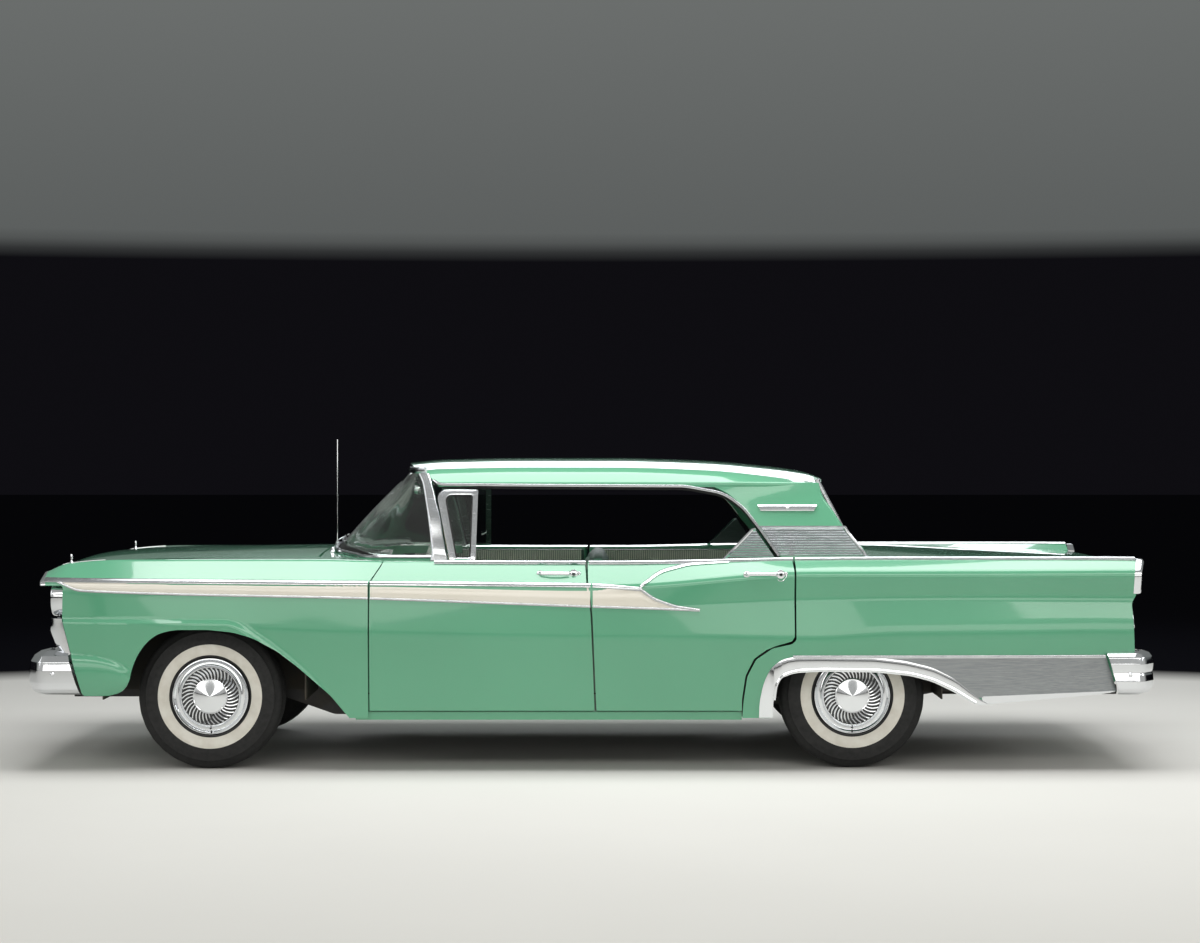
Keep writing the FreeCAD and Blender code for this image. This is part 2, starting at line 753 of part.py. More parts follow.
# Posts inboard of the doors: name, x, width along x, foot, top.
POSTS = [
    ("cowl_post", "fender_end_x - 22", 60, "floor_z + floor_thick", "belt_height - 30"),
    ("centre_post", "split_x - 20", 90, "floor_z + floor_thick", "belt_height - 60"),
    ("lock_post", "quarter_x + 10", 50, "tyre_radius * 2 + 96", "belt_height - 70"),
]
# Hinge leaves, from a post to the hinged face of a door: name, face, thickness, outer end, height.
LEAVES = [
    ("front_low", "fender_end_x + hinge_gap", 20, "door_inner_y + 60", "sill_top + 110"),
    ("front_high", "fender_end_x + hinge_gap", 20, "door_inner_y + 60", "belt_height - 240"),
    ("rear_low", "split_x + 26", 6, "door_inner_y + 40", "sill_top + 110"),
    ("rear_high", "split_x + 9", 6, "door_inner_y + 40", "belt_height - 240"),
]
post_parts = [
    box(label, x, f"{x} + {wide}", "door_inner_y - 90", "door_inner_y - 15", foot, top)
    for label, x, wide, foot, top in POSTS
]
post_parts += [
    box(f"leaf_{label}", f"{face} - running_fit - {thick}", f"{face} - running_fit", "door_inner_y - 60",
        outer, z, f"{z} + 40")
    for label, face, thick, outer, z in LEAVES
]
node("door_posts", pair("door_posts", fuse("door_posts_right", *post_parts)))


# ---------------------------------------------------------------- deck, tail panel and wheelhouses
deck_x0, deck_x1 = rear_x - 60, boot_x0 - latch_gap
deck = crowned_panel(deck_x0, deck_x1, 1, 14).cut([pillar, mirror(pillar)])
parcel = Part.makeBox(deck_x0 + 40 - num(seat_riser_x) - 330, 2 * wall_y - 70, 18)
parcel.translate(Vector(num(seat_riser_x) + 330, 35 - wall_y, belt + 5))
lid_leaves = [
    Part.makeBox(38 + latch_gap - fit, 60, 12, Vector(deck_x1 - 38, y, belt + 12)) for y in (-540, 480)
]
deck_solid = deck.fuse([parcel, *lid_leaves])
deck_solid = deck_solid.cut([right_quarter, mirror(right_quarter), pillar, mirror(pillar)])
node("rear_deck", made("rear_deck", deck_solid))

REAR_GLASS_BASE = [(rear_x + 78, 0, 0), (rear_x + 62, 420, 500), (rear_x + 30, 706, 0)]
REAR_GLASS_TOP = [(rear_x - 120, 0, 0), (rear_x - 126, 400, 500), (rear_x - 134, 664, 0)]


def rear_pane():
    """The rear window, curved in plan, between the deck and the roof."""
    rings = []
    for curve, z in ((REAR_GLASS_BASE, belt + 36), (REAR_GLASS_TOP, rail_z + 30)):
        rings.append(glass_ring([(x, y, r) for x, y, r in curve], z, glass_depth, 0))
    sheet_of_glass = Part.makeLoft(rings, True, True).cut([roof_solid, deck])
    return max(sheet_of_glass.Solids, key=lambda solid: solid.Volume)


node("rear_window", made("rear_window", rear_pane()))

tail_face_z = boot_face_z - hinge_gap
tail_low, tail_high = sill_bottom + 250, belt - 42
tail_side = side_slab(tail_x - 172, tail_x - 156, 0, boot_face_y)
tail_panel = Part.makeBox(16, 2 * boot_face_y, tail_face_z - tail_low)
tail_panel.translate(Vector(tail_x - 172, -boot_face_y, tail_low))
tail_panel = tail_panel.fuse([tail_side, mirror(tail_side)]).common(slab_between(tail_low, tail_high))
opening_y = boot_face_y + latch_gap
opening_outline = [
    (-opening_y, tail_face_z, 30),
    (opening_y, tail_face_z, 30),
    (opening_y, belt),
    (-opening_y, belt),
]
boot_opening = front_prism(opening_outline, tail_x - 180, tail_x - 150)
tail_panel = tail_panel.cut(boot_opening)
tail_sill = Part.makeBox(48, 2 * 560, 16, Vector(tail_x - 204, -560, num(boot_floor_z) + 16))
tail_panel = tail_panel.fuse(tail_sill).cut([right_quarter, mirror(right_quarter)])
tail_panel = max(tail_panel.Solids, key=lambda solid: solid.Volume)
node("tail_panel", made("tail_panel", tail_panel))


# ---------------------------------------------------------------- wheelhouses, inner wings, radiator
def arch_shell(centre_x, inner_y, outer_y, reach, top, thick):
    """A wheel arch liner: inner wall, roof and two end walls, open below and at the side."""
    outline = [
        (centre_x - reach, floor_z),
        (centre_x - reach, top, 190),
        (centre_x + reach, top, 190),
        (centre_x + reach, floor_z),
    ]
    hollow = [
        (centre_x - reach + thick, floor_z - 1),
        (centre_x - reach + thick, top - thick, 185),
        (centre_x + reach - thick, top - thick, 185),
        (centre_x + reach - thick, floor_z - 1),
    ]
    return side_prism(outline, inner_y, outer_y).cut(side_prism(hollow, inner_y + thick, outer_y + 1))


tyre_inner_y = size["rear_track"] / 2 - size["tyre_width"] / 2
liner = 6
arch_reach, arch_top = tyre_radius + 66, 2 * tyre_radius + 96
wheelhouse = arch_shell(rear_x, tyre_inner_y - 46, half_width - 30, arch_reach, arch_top, liner)
axle_room = Part.makeBox(120, 60, 135, Vector(rear_x - 60, tyre_inner_y - 60, floor_z - 1))
door_room = Part.makeBox(300, 300, 500, Vector(quarter_x - 295, wall_y, sill_top + 274))
wheelhouse = wheelhouse.cut([right_quarter, boot_lid, axle_room, door_room])
node("rear_wheelhouses", pair("rear_wheelhouses", made("rear_wheelhouse_right", wheelhouse)))

bay_y = num("rail_outer_y")
inner_wing = arch_shell(front_x - 10, bay_y, half_width - 30, 470, tyre_radius * 2 + 96, liner)
arm_room = Part.makeBox(250, 60, 165, Vector(front_x - 125, bay_y - 10, floor_z - 1))
inner_wing = inner_wing.cut([front_wing(), arm_room])
node("inner_wings", pair("inner_wings", made("inner_wing_right", inner_wing)))

core_x = "nose_x + 300"
node(
    "radiator",
    fuse(
        "radiator",
        box("radiator_core", core_x, f"{core_x} + 62", "-330", "330", "rail_bottom + 200", "belt_height - 110"),
        box("radiator_panel_left", f"{core_x} + 20", f"{core_x} + 32", "30 - door_inner_y", "-330",
            "rail_bottom + 185", "belt_height - 62"),
        box("radiator_panel_right", f"{core_x} + 20", f"{core_x} + 32", "330", "door_inner_y - 30",
            "rail_bottom + 185", "belt_height - 62"),
        box("radiator_tie", f"{core_x} + 14", f"{core_x} + 48", "30 - door_inner_y", "door_inner_y - 30",
            "belt_height - 110", "belt_height - 62"),
        box("radiator_foot", f"{core_x} + 14", f"{core_x} + 48", "30 - door_inner_y", "door_inner_y - 30",
            "rail_bottom + 185", "rail_bottom + 215"),
    ),
)

# ---------------------------------------------------------------- front end
lamp_x = "nose_x + 118"
lamp_z = "belt_height - 165"
lamp_radius = 72
LAMP_DEPTH = 50


def sealed_beam(number, y):
    """One headlight: a can with a shallow domed lens."""
    can = rod(f"lamp_can_{number}", "x", f"{lamp_radius}", lamp_x, f"{lamp_x} + {LAMP_DEPTH}", y, lamp_z)
    dome = doc.addObject("Part::Sphere", f"lamp_dome_{number}")
    bind(dome, Radius=f"{lamp_radius} * 2")
    place(dome, f"{lamp_x} + {lamp_radius} * 1.75", str(y), lamp_z)
    keep = rod(f"lamp_keep_{number}", "x", f"{lamp_radius}", f"{lamp_x} - 40", lamp_x, y, lamp_z)
    lens = doc.addObject("Part::Common", f"lamp_lens_{number}")
    lens.Base, lens.Tool = dome, keep
    return fuse(f"lamp_{number}", can, lens)


lamps = [sealed_beam(number, y) for number, y in enumerate(LAMPS_Y)]
node("headlights", pair("headlights", group("headlights_right", *lamps)))

bezel_outline = [
    (LAMPS_Y[0] - 92, belt - 252, 60),
    (LAMPS_Y[1] + 82, belt - 262, 60),
    (LAMPS_Y[1] + 86, belt - 86, 60),
    (LAMPS_Y[0] - 92, belt - 86, 60),
]
bezel_x = num(lamp_x)
bezel = front_prism(bezel_outline, bezel_x - 14, bezel_x + LAMP_DEPTH + 12)
lamp_holes = [
    Part.makeCylinder(lamp_radius + 1, LAMP_DEPTH + 30, Vector(bezel_x - 30, y, num(lamp_z)), Vector(1, 0, 0))
    for y in LAMPS_Y
]
flange = front_prism(
    [
        (LAMPS_Y[0], belt - 180),
        (LAMPS_Y[1] + 120, belt - 180),
        (LAMPS_Y[1] + 120, belt - 60),
        (LAMPS_Y[0], belt - 60),
    ],
    bezel_x + LAMP_DEPTH,
    bezel_x + LAMP_DEPTH + 12,
)
flange = flange.common(side_slab(bezel_x + LAMP_DEPTH - 1, bezel_x + LAMP_DEPTH + 13, 0, LAMPS_Y[0] - 1))
bezel = bezel.fuse(flange).cut([*lamp_holes, front_wing()])
node("headlight_bezels", pair("headlight_bezels", made("headlight_bezel_right", bezel)))

grille_x = "nose_x + 124"
grille_half = LAMPS_Y[0] - 92
BARS = 6
grille_parts = [
    box("grille_top", f"{grille_x} - 12", f"{grille_x} + 26", f"{-grille_half}", f"{grille_half}",
        "belt_height - 132", "belt_height - 114"),
    box("grille_bottom", f"{grille_x} - 12", f"{grille_x} + 26", f"{-grille_half}", f"{grille_half}",
        "belt_height - 400", "belt_height - 382"),
]
for side_name, y in (("left", -grille_half), ("middle", -9), ("right", grille_half - 18)):
    grille_parts.append(
        box(f"grille_{side_name}", f"{grille_x} - 8", f"{grille_x} + 30", f"{y}", f"{y} + 18",
            "belt_height - 400", "belt_height - 114")
    )
for n in range(1, BARS):
    z = f"belt_height - 400 + {n} * 282 / {BARS}"
    grille_parts.append(
        box(f"grille_bar_{n}", grille_x, f"{grille_x} + 18", f"{-grille_half}", f"{grille_half}", z, f"{z} + 9")
    )
node("grille", fuse("grille", *grille_parts))


def bumper(x_face, run, tip_y, curve, z0, z1, thick):
    """A bumper bar that wraps round both corners. run is signed: how far its ends reach back."""
    line = [(x_face + run, -tip_y, 0), (x_face + 0.3 * run, -tip_y + 12, 160), (x_face, -curve, 300)]
    line += [(x_face, curve, 300), (x_face + 0.3 * run, tip_y - 12, 160), (x_face + run, tip_y, 0)]
    inner = inset_line([(x, y) for x, y, _ in line], thick if run > 0 else -thick)
    ring = [(x, y, r) for x, y, r in line]
    ring += [(x, y, r) for (x, y), (_, _, r) in zip(inner[::-1], line[::-1])]
    return plan_prism(ring, z0, z1)


bumper_thick = size["bumper_thick"]
front_bar = bumper(nose_x, 278, half_width - 8, 560, sill_bottom + 114, sill_bottom + 326, bumper_thick)
rear_bar = bumper(tail_x, -253, half_width - 2, 560, sill_bottom + 118, sill_bottom + 317, bumper_thick)
tip_slant = side_prism(
    [
        (nose_x + 190, sill_bottom + 330),
        (nose_x + 283, sill_bottom + 110),
        (nose_x + 400, sill_bottom + 110),
        (nose_x + 400, sill_bottom + 330),
    ],
    -half_width,
    half_width,
)
front_bar = front_bar.cut([tip_slant, front_wing(), mirror(front_wing())])
rear_bar = rear_bar.cut([right_quarter, mirror(right_quarter), tail_panel])
node("front_bumper", made("front_bumper", front_bar))
node("rear_bumper", made("rear_bumper", rear_bar))


# ---------------------------------------------------------------- tail lamps and number plate brackets
tail_lamp_x = "tail_x - 156"
LAMPS_REAR = [
    ("tail_lamp", "half_width - 198", "belt_height - 305", 126),
    ("reversing_lamp", "half_width - 137", "belt_height - 92", 48),
]
rear_lamps = []
for label, y, z, radius in LAMPS_REAR:
    can = rod(f"{label}_can", "x", f"{radius}", tail_lamp_x, f"{tail_lamp_x} + 48", y, z)
    step = rod(f"{label}_lens", "x", f"{0.86 * radius}", tail_lamp_x, f"{tail_lamp_x} + 62", y, z)
    rear_lamps.append(fuse(label, can, step))
node("tail_lights", pair("tail_lights", group("tail_lights_right", *rear_lamps)))

PLATE_WIDTH, PLATE_HEIGHT, PLATE_THICK = 305, 152, 5
PLATE_HOLES = (178, 121)
PLATE_HOLE_RADIUS = 3.5


def plate_bracket(label, x0, z_middle):
    """A number plate bracket with its four bolt holes."""
    plate = box(f"{label}_blank", x0, f"{x0} + {PLATE_THICK}", f"{-PLATE_WIDTH / 2}", f"{PLATE_WIDTH / 2}",
                f"{z_middle} - {PLATE_HEIGHT / 2}", f"{z_middle} + {PLATE_HEIGHT / 2}")
    holes = []
    for number, (side, level) in enumerate(((-1, -1), (-1, 1), (1, -1), (1, 1))):
        holes.append(
            rod(f"{label}_hole_{number}", "x", f"{PLATE_HOLE_RADIUS}", f"{x0} - 1", f"{x0} + {PLATE_THICK + 1}",
                f"{side * PLATE_HOLES[0] / 2}", f"{z_middle} + {level * PLATE_HOLES[1] / 2}")
        )
    return cut(label, plate, *holes)


bumper_middle = "sill_bottom + 218"
node(
    "plate_brackets",
    group(
        "plate_brackets",
        plate_bracket("front_plate_bracket", f"nose_x - {PLATE_THICK}", bumper_middle),
        plate_bracket("rear_plate_bracket", "tail_x", bumper_middle),
    ),
)


# ---------------------------------------------------------------- chassis
rail_in, rail_out = size["rail_inner_y"], num("rail_outer_y")
rail_low, rail_top = size["rail_bottom"], floor_z
boot_z = num(boot_floor_z)
riser_x = num(seat_riser_x)
horn_low, horn_top = rail_low + 85, rail_low + 185
rail_outline = [
    (nose_x + 150, horn_low),
    (front_x + 300, horn_low, 80),
    (front_x + 540, rail_low, 80),
    (riser_x - 30, rail_low, 80),
    (riser_x + 210, boot_z - 64, 80),
    (tail_x - 300, boot_z - 64),
    (tail_x - 300, boot_z),
    (riser_x + 190, boot_z, 80),
    (riser_x + 40, rail_top, 20),
    (front_x + 520, rail_top, 80),
    (front_x + 320, horn_top, 80),
    (nose_x + 150, horn_top),
]
rail = made("rail_right", side_prism(rail_outline, rail_in, rail_out))
# Crossmembers: name, x, width along x, underside, top.
CROSSMEMBERS = [
    ("nose_crossmember", "nose_x + 190", 60, "rail_bottom + 85", "rail_bottom + 185"),
    ("engine_crossmember", "front_x - 90", 180, "rail_bottom + 85", "rail_bottom + 125"),
    ("gearbox_crossmember", "front_x + 880", 70, "rail_bottom", "rail_bottom + 30"),
    ("centre_crossmember", "rear_x - 660", 60, "rail_bottom", "rail_bottom + 20"),
    ("spring_crossmember", "rear_x + 350", 50, "rail_bottom + 216", "rail_bottom + 270"),
    ("tail_crossmember", "tail_x - 350", 50, "rail_bottom + 206", "rail_bottom + 270"),
]
frame_parts = [rail, mirrored("rail_left", rail)]
frame_parts += [
    box(label, x, f"{x} + {wide}", "-rail_inner_y", "rail_inner_y", low, top)
    for label, x, wide, low, top in CROSSMEMBERS
]
engine_low = "rail_bottom + 137"
for side_name, y in (("left", -260), ("right", 180)):
    frame_parts.append(
        box(f"engine_mount_{side_name}", "front_x - 40", "front_x + 40", f"{y}", f"{y} + 80",
            "rail_bottom + 125", engine_low)
    )
frame_parts.append(
    box("exhaust_saddle", "front_x + 880", "front_x + 950", "26 - rail_inner_y", "66 - rail_inner_y",
        "rail_bottom + 30", "rail_bottom + 32 - running_fit")
)
for number, x in enumerate(("front_x + 640", "split_x", "rear_x - 700")):
    for side_name, y0, y1 in (
        ("left", "18 - door_inner_y", "-rail_outer_y"),
        ("right", "rail_outer_y", "door_inner_y - 18"),
    ):
        frame_parts.append(
            box(f"outrigger_{number}_{side_name}", x, f"{x} + 60", y0, y1, "floor_z - 45", "floor_z")
        )
for end, x0, x1, low, high in (
    ("front", "nose_x + bumper_thick", "nose_x + 150", "rail_bottom + 145", "rail_bottom + 180"),
    ("rear", "tail_x - 300", "tail_x - bumper_thick", "rail_bottom + 212", "rail_bottom + 262"),
):
    for side_name, y in (("left", -450), ("right", 390)):
        frame_parts.append(box(f"{end}_bumper_arm_{side_name}", x0, x1, f"{y}", f"{y} + 60", low, high))
node("chassis_frame", fuse("chassis_frame", *frame_parts))

node(
    "engine",
    fuse(
        "engine",
        box("engine_block", "front_x - 330", "front_x + 380", "-280", "280", engine_low, "belt_height - 88"),
        box("gearbox", "front_x + 380", "front_x + 980", "-110", "110", "rail_bottom + 30", "floor_z + 92"),
    ),
)
node(
    "driveshaft",
    rod("driveshaft", "x", "38", "front_x + 980", "rear_x - 230", "0", "tyre_radius"),
)
node(
    "fuel_tank",
    box("fuel_tank", "rear_x + 530", "tail_x - 360", "92 - rail_inner_y", "rail_inner_y - 50",
        f"{boot_floor_z} - 180", boot_floor_z),
)

exhaust_y, exhaust_radius = 46 - rail_in, 24
low_pipe_z, high_pipe_z = rail_low + 56, boot_z - 48
exhaust_route = [
    (front_x + 420, low_pipe_z, 0),
    (rear_x - 420, low_pipe_z, 150),
    (rear_x - 200, high_pipe_z, 150),
    (rear_x + 190, high_pipe_z, 150),
    (rear_x + 440, boot_z - 220, 150),
    (tail_x - 90, boot_z - 220, 0),
]
route = rounded_wire([(Vector(x, exhaust_y, z), r) for x, z, r in exhaust_route], False)
circle = Part.Wire(Part.makeCircle(exhaust_radius, Vector(*route.Vertexes[0].Point), Vector(1, 0, 0)))
pipe = route.makePipeShell([circle], True, False)
silencer = Part.makeCylinder(58, 620, Vector(rear_x - 1300, exhaust_y + 20, low_pipe_z), Vector(1, 0, 0))
node("exhaust", made("exhaust", pipe.fuse(silencer)))


# ---------------------------------------------------------------- wheels and tyres
def origin_plane(body, role):
    """One of a body's own origin planes."""
    return next(feature for feature in body.Origin.OriginFeatures if feature.Role == role)


def lathe(name, profile):
    """A body turned about the Y axis. profile: (radius, along the axle), as size expressions."""
    body = doc.addObject("PartDesign::Body", name)
    sketch = body.newObject("Sketcher::SketchObject", f"{name}_profile")
    sketch.AttachmentSupport = [(origin_plane(body, "XY_Plane"), "")]
    sketch.MapMode = "FlatFace"
    points = [Vector(num(r), num(a), 0) for r, a in profile]
    count = len(points)
    for n, point in enumerate(points):
        sketch.addGeometry(Part.LineSegment(point, points[(n + 1) % count]), False)
    for n in range(count):
        sketch.addConstraint(Sketcher.Constraint("Coincident", n, 2, (n + 1) % count, 1))
    for n, (radius, along) in enumerate(profile):
        for kind, text, axis in (("DistanceX", radius, -2), ("DistanceY", along, -1)):
            value = num(text)
            if value == 0:
                sketch.addConstraint(Sketcher.Constraint("PointOnObject", n, 1, axis))
                continue
            index = sketch.addConstraint(Sketcher.Constraint(kind, -1, 1, n, 1, value))
            sketch.setExpression(f"Constraints[{index}]", spell(text))
    turned = body.newObject("PartDesign::Revolution", f"{name}_turned")
    turned.Profile = sketch
    turned.ReferenceAxis = (sketch, ["V_Axis"])
    turned.Angle = 360
    doc.recompute()
    return body


hub_radius = "spindle_radius + running_fit"
bead = "rim_width / 2 - 8"
WHEEL_PROFILE = [
    (hub_radius, "10 - rim_width / 2"),
    ("drum_radius", "10 - rim_width / 2"),
    ("drum_radius", "58 - rim_width / 2"),
    ("drum_radius - 80", "58 - rim_width / 2"),
    ("drum_radius - 80", "4"),
    ("rim_radius - 10", "4"),
    ("rim_radius - 10", "-rim_width / 2"),
    ("rim_radius + 8", "-rim_width / 2"),
    ("rim_radius + 8", f"-({bead})"),
    ("rim_radius", f"-({bead})"),
    ("rim_radius", bead),
    ("rim_radius + 8", bead),
    ("rim_radius + 8", "rim_width / 2"),
    ("rim_radius - 10", "rim_width / 2"),
    ("rim_radius - 12", "rim_width / 2 - 34"),
    ("rim_radius - 46", "rim_width / 2 - 26"),
    ("rim_radius - 98", "rim_width / 2 - 40"),
    ("rim_radius - 100", "rim_width / 2 - 26"),
    ("0", "rim_width / 2 - 4"),
    ("0", "-10"),
    (hub_radius, "-10"),
]
TYRE_HALF = [
    ("rim_radius", f"-({bead})"),
    ("rim_radius + 8.5", f"-({bead})"),
    ("rim_radius + 12", "12 - tyre_width / 2"),
    ("rim_radius + 46", "3 - tyre_width / 2"),
    ("rim_radius + 80", "-tyre_width / 2"),
    ("tyre_radius - 42", "3 - tyre_width / 2"),
    ("tyre_radius - 14", "16 - tyre_width / 2"),
    ("tyre_radius", "32 - tyre_width / 2"),
]
TYRE_PROFILE = TYRE_HALF + [(r, f"-({a})") for r, a in TYRE_HALF[::-1]]

wheel_master = lathe("wheel_master", WHEEL_PROFILE)
tyre_master = lathe("tyre_master", TYRE_PROFILE)

CORNERS = [
    ("front_left", "front_x", "front_track / 2", -1),
    ("front_right", "front_x", "front_track / 2", 1),
    ("rear_left", "rear_x", "rear_track / 2", -1),
    ("rear_right", "rear_x", "rear_track / 2", 1),
]
for corner, x, y, side in CORNERS:
    for kind, master in (("wheel", wheel_master), ("tyre", tyre_master)):
        copy = doc.addObject("App::Link", f"{kind}_{corner}_link")
        copy.LinkedObject = master
        copy.LinkTransform = False
        placed = doc.addObject("Part::Compound", f"{kind}_{corner}")
        placed.Links = [copy]
        placed.Placement.Rotation = FreeCAD.Rotation(Vector(0, 0, 1), 180 if side < 0 else 0)
        place(placed, x, f"{side} * {y}", "tyre_radius")
        node(f"{kind}_{corner}", placed)


# ---------------------------------------------------------------- front suspension and steering
kingpin_y = "front_track / 2 - 94"
pin_y, axle_z = num(kingpin_y), tyre_radius
arm_low, arm_high = axle_z - 107, axle_z + 92
arm_thick = 22


def wishbone(z):
    """A suspension arm that narrows from the chassis rail to a round eye at the kingpin."""
    plan = [
        (front_x - 115, rail_out + fit),
        (front_x + 115, rail_out + fit),
        (front_x + 15, pin_y),
        (front_x - 15, pin_y),
    ]
    eye = Part.makeCylinder(20, arm_thick, Vector(front_x, pin_y, z))
    return plan_prism(plan, z, z + arm_thick).fuse(eye)


spring_y = rail_out + 78
spring = Part.makeCylinder(48, arm_high - arm_low - arm_thick, Vector(front_x, spring_y, arm_low + arm_thick))
tower = Part.makeBox(150, 60, 90, Vector(front_x - 75, rail_out - 60, horn_top))
arms = wishbone(arm_low).fuse([wishbone(arm_high), spring])
arm_tie = Part.makeBox(150, 20, horn_top + 90 - arm_high, Vector(front_x - 75, rail_out, arm_high))
front_suspension = arms.fuse([arm_tie, tower]).cut([rail.Shape])
low_tie = Part.makeBox(150, 60, horn_low - arm_low, Vector(front_x - 75, rail_out - 50, arm_low))
front_suspension = front_suspension.fuse(low_tie)
node("front_suspension", pair("front_suspension", made("front_suspension_right", front_suspension)))

for corner, side in (("left", -1), ("right", 1)):
    inner_y = f"({kingpin_y})"
    ends = (f"{inner_y} - 6", "front_track / 2 - 14.5")
    plate = (f"{inner_y} + 25", f"{inner_y} + 29")
    if side < 0:
        ends = (f"-({ends[1]})", f"-({ends[0]})")
        plate = (f"-({plate[1]})", f"-({plate[0]})")
    arm_y = (f"{inner_y} - 8", f"{inner_y} + 8") if side > 0 else (f"-({inner_y}) - 8", f"-({inner_y}) + 8")
    node(
        f"knuckle_{corner}",
        fuse(
            f"knuckle_{corner}",
            rod(f"upright_{corner}", "z", "17", f"tyre_radius - 107 + {arm_thick} + running_fit",
                "tyre_radius + 92 - running_fit", "front_x", f"{side} * {inner_y}"),
            rod(f"spindle_{corner}", "y", "spindle_radius", *ends, "front_x", "tyre_radius"),
            rod(f"backing_plate_{corner}", "y", "drum_radius - 6", *plate, "front_x", "tyre_radius"),
            box(f"steering_arm_{corner}", "front_x", "front_x + 150", *arm_y, "tyre_radius - 50",
                "tyre_radius - 34"),
        ),
    )


# ---------------------------------------------------------------- rear axle and springs
axle_parts = [
    rod("axle_tube", "y", "38", "-(rear_track / 2 - 66)", "rear_track / 2 - 66", "rear_x", "tyre_radius"),
    rod("axle_shaft", "y", "spindle_radius", "-(rear_track / 2 - 14.5)", "rear_track / 2 - 14.5", "rear_x",
        "tyre_radius"),
    rod("axle_nose", "x", "60", "rear_x - 230", "rear_x", "0", "tyre_radius"),
]
casing = doc.addObject("Part::Sphere", "axle_casing")
bind(casing, Radius="drum_radius - 10")
axle_parts.append(place(casing, "rear_x", "0", "tyre_radius"))
for side_name, start, end in (
    ("left", "-(rear_track / 2 - 66)", "-(rear_track / 2 - 70)"),
    ("right", "rear_track / 2 - 70", "rear_track / 2 - 66"),
):
    low_end, high_end = (start, end)
    axle_parts.append(
        rod(f"brake_plate_{side_name}", "y", "drum_radius - 6", low_end, high_end, "rear_x", "tyre_radius")
    )
node("rear_axle", fuse("rear_axle", *axle_parts))

spring_in, spring_out = rail_out + 22, rail_out + 82
leaf_low = axle_z - 38 - 30
leaf = side_prism(
    [
        (rear_x - 600, leaf_low + 10, 10),
        (rear_x - 120, leaf_low, 600),
        (rear_x + 120, leaf_low, 600),
        (rear_x + 640, leaf_low + 100, 10),
        (rear_x + 640, leaf_low + 118, 10),
        (rear_x + 120, leaf_low + 30 - fit, 400),
        (rear_x - 120, leaf_low + 30 - fit, 400),
        (rear_x - 600, leaf_low + 30, 10),
    ],
    spring_in,
    spring_out,
)
across = Vector(0, 1, 0)
eye_place = Vector(rear_x - 592, rail_out, leaf_low + 20)
front_eye = Part.makeCylinder(14, spring_out - rail_out, eye_place, across)
shackle = Part.makeBox(24, 12, boot_z - 30 - leaf_low - 90, Vector(rear_x + 622, spring_in, leaf_low + 90))
pin_place = Vector(rear_x + 634, rail_out, boot_z - 42)
shackle_pin = Part.makeCylinder(10, spring_in + 12 - rail_out, pin_place, across)
node(
    "leaf_springs",
    pair("leaf_springs", made("leaf_spring_right", leaf.fuse([front_eye, shackle, shackle_pin]))),
)


# ---------------------------------------------------------------- cabin
seat_half = size["door_inner_y"] - size["seat_to_door"]
cushion_z = floor_z + floor_thick + 70
front_seat_outline = [
    (split_x - 560, cushion_z),
    (split_x - 50, cushion_z - 40),
    (split_x + 20, cushion_z - 20),
    (split_x + 96, belt + 42, 20),
    (split_x + 10, belt + 42, 30),
    (split_x - 82, cushion_z + 210, 60),
    (split_x - 540, cushion_z + 235, 60),
]
front_seat = side_prism(front_seat_outline, -seat_half, seat_half)
seat_base = Part.makeBox(420, 1000, 90, Vector(split_x - 500, -500, floor_z + floor_thick))
tunnel_room = Part.makeBox(900, 290, 130, Vector(split_x - 700, -145, floor_z))
post_room = Part.makeBox(110, 200, belt, Vector(split_x - 32, wall_y - 80, floor_z))
front_seat = front_seat.fuse(seat_base).cut([tunnel_room, post_room, mirror(post_room)])
node("front_seat", made("front_seat", front_seat))

rear_cushion = side_prism(
    [
        (riser_x - 250, floor_z + floor_thick),
        (riser_x - 0.5, floor_z + floor_thick),
        (riser_x - 0.5, boot_z + 17),
        (riser_x + 140, boot_z + 17),
        (riser_x + 140, cushion_z + 150, 20),
        (riser_x - 260, cushion_z + 190, 60),
    ],
    -seat_half,
    seat_half,
)
rear_back = side_prism(
    [
        (riser_x + 120, boot_z + 17),
        (riser_x + 250, boot_z + 17),
        (riser_x + 330, belt - 8, 20),
        (riser_x + 220, belt - 8, 30),
        (riser_x + 120, cushion_z + 150, 30),
    ],
    -seat_half,
    seat_half,
)
right_arch = Part.makeBox(900, 400, 700, Vector(rear_x - 412, tyre_inner_y - 52, 80))
rear_seat = rear_cushion.fuse(rear_back).cut([tunnel_room, right_arch, mirror(right_arch)])
tunnel_far = Part.makeBox(900, 290, 120, Vector(riser_x - 700, -145, floor_z))
node("rear_seat", made("rear_seat", rear_seat.cut(tunnel_far)))

wheel_tilt = 18
rim_tube = 12
steer_centre = Vector(front_x + 1089, -370, belt - 17)
column_way = Vector(-math.cos(math.radians(wheel_tilt)), 0, -math.sin(math.radians(wheel_tilt)))
rim = Part.makeTorus(size["steering_wheel_radius"], rim_tube, steer_centre, column_way)
hub = Part.makeCylinder(34, 60, steer_centre, column_way)
spoke_length = 2 * size["steering_wheel_radius"]
spoke = Part.makeBox(14, spoke_length, 26, Vector(-7, -spoke_length / 2, -13))
spoke.Placement = FreeCAD.Placement(
    steer_centre + column_way * 14, FreeCAD.Rotation(Vector(0, 1, 0), -wheel_tilt)
)
node("steering_wheel", made("steering_wheel", rim.fuse([spoke, hub])))
column = Part.makeCylinder(24, 420, steer_centre + column_way * (60 + fit), column_way)
column = column.cut([dash, firewall, shelf])
column = max(column.Solids, key=lambda solid: solid.CenterOfMass.x)
node("steering_column", made("steering_column", column))


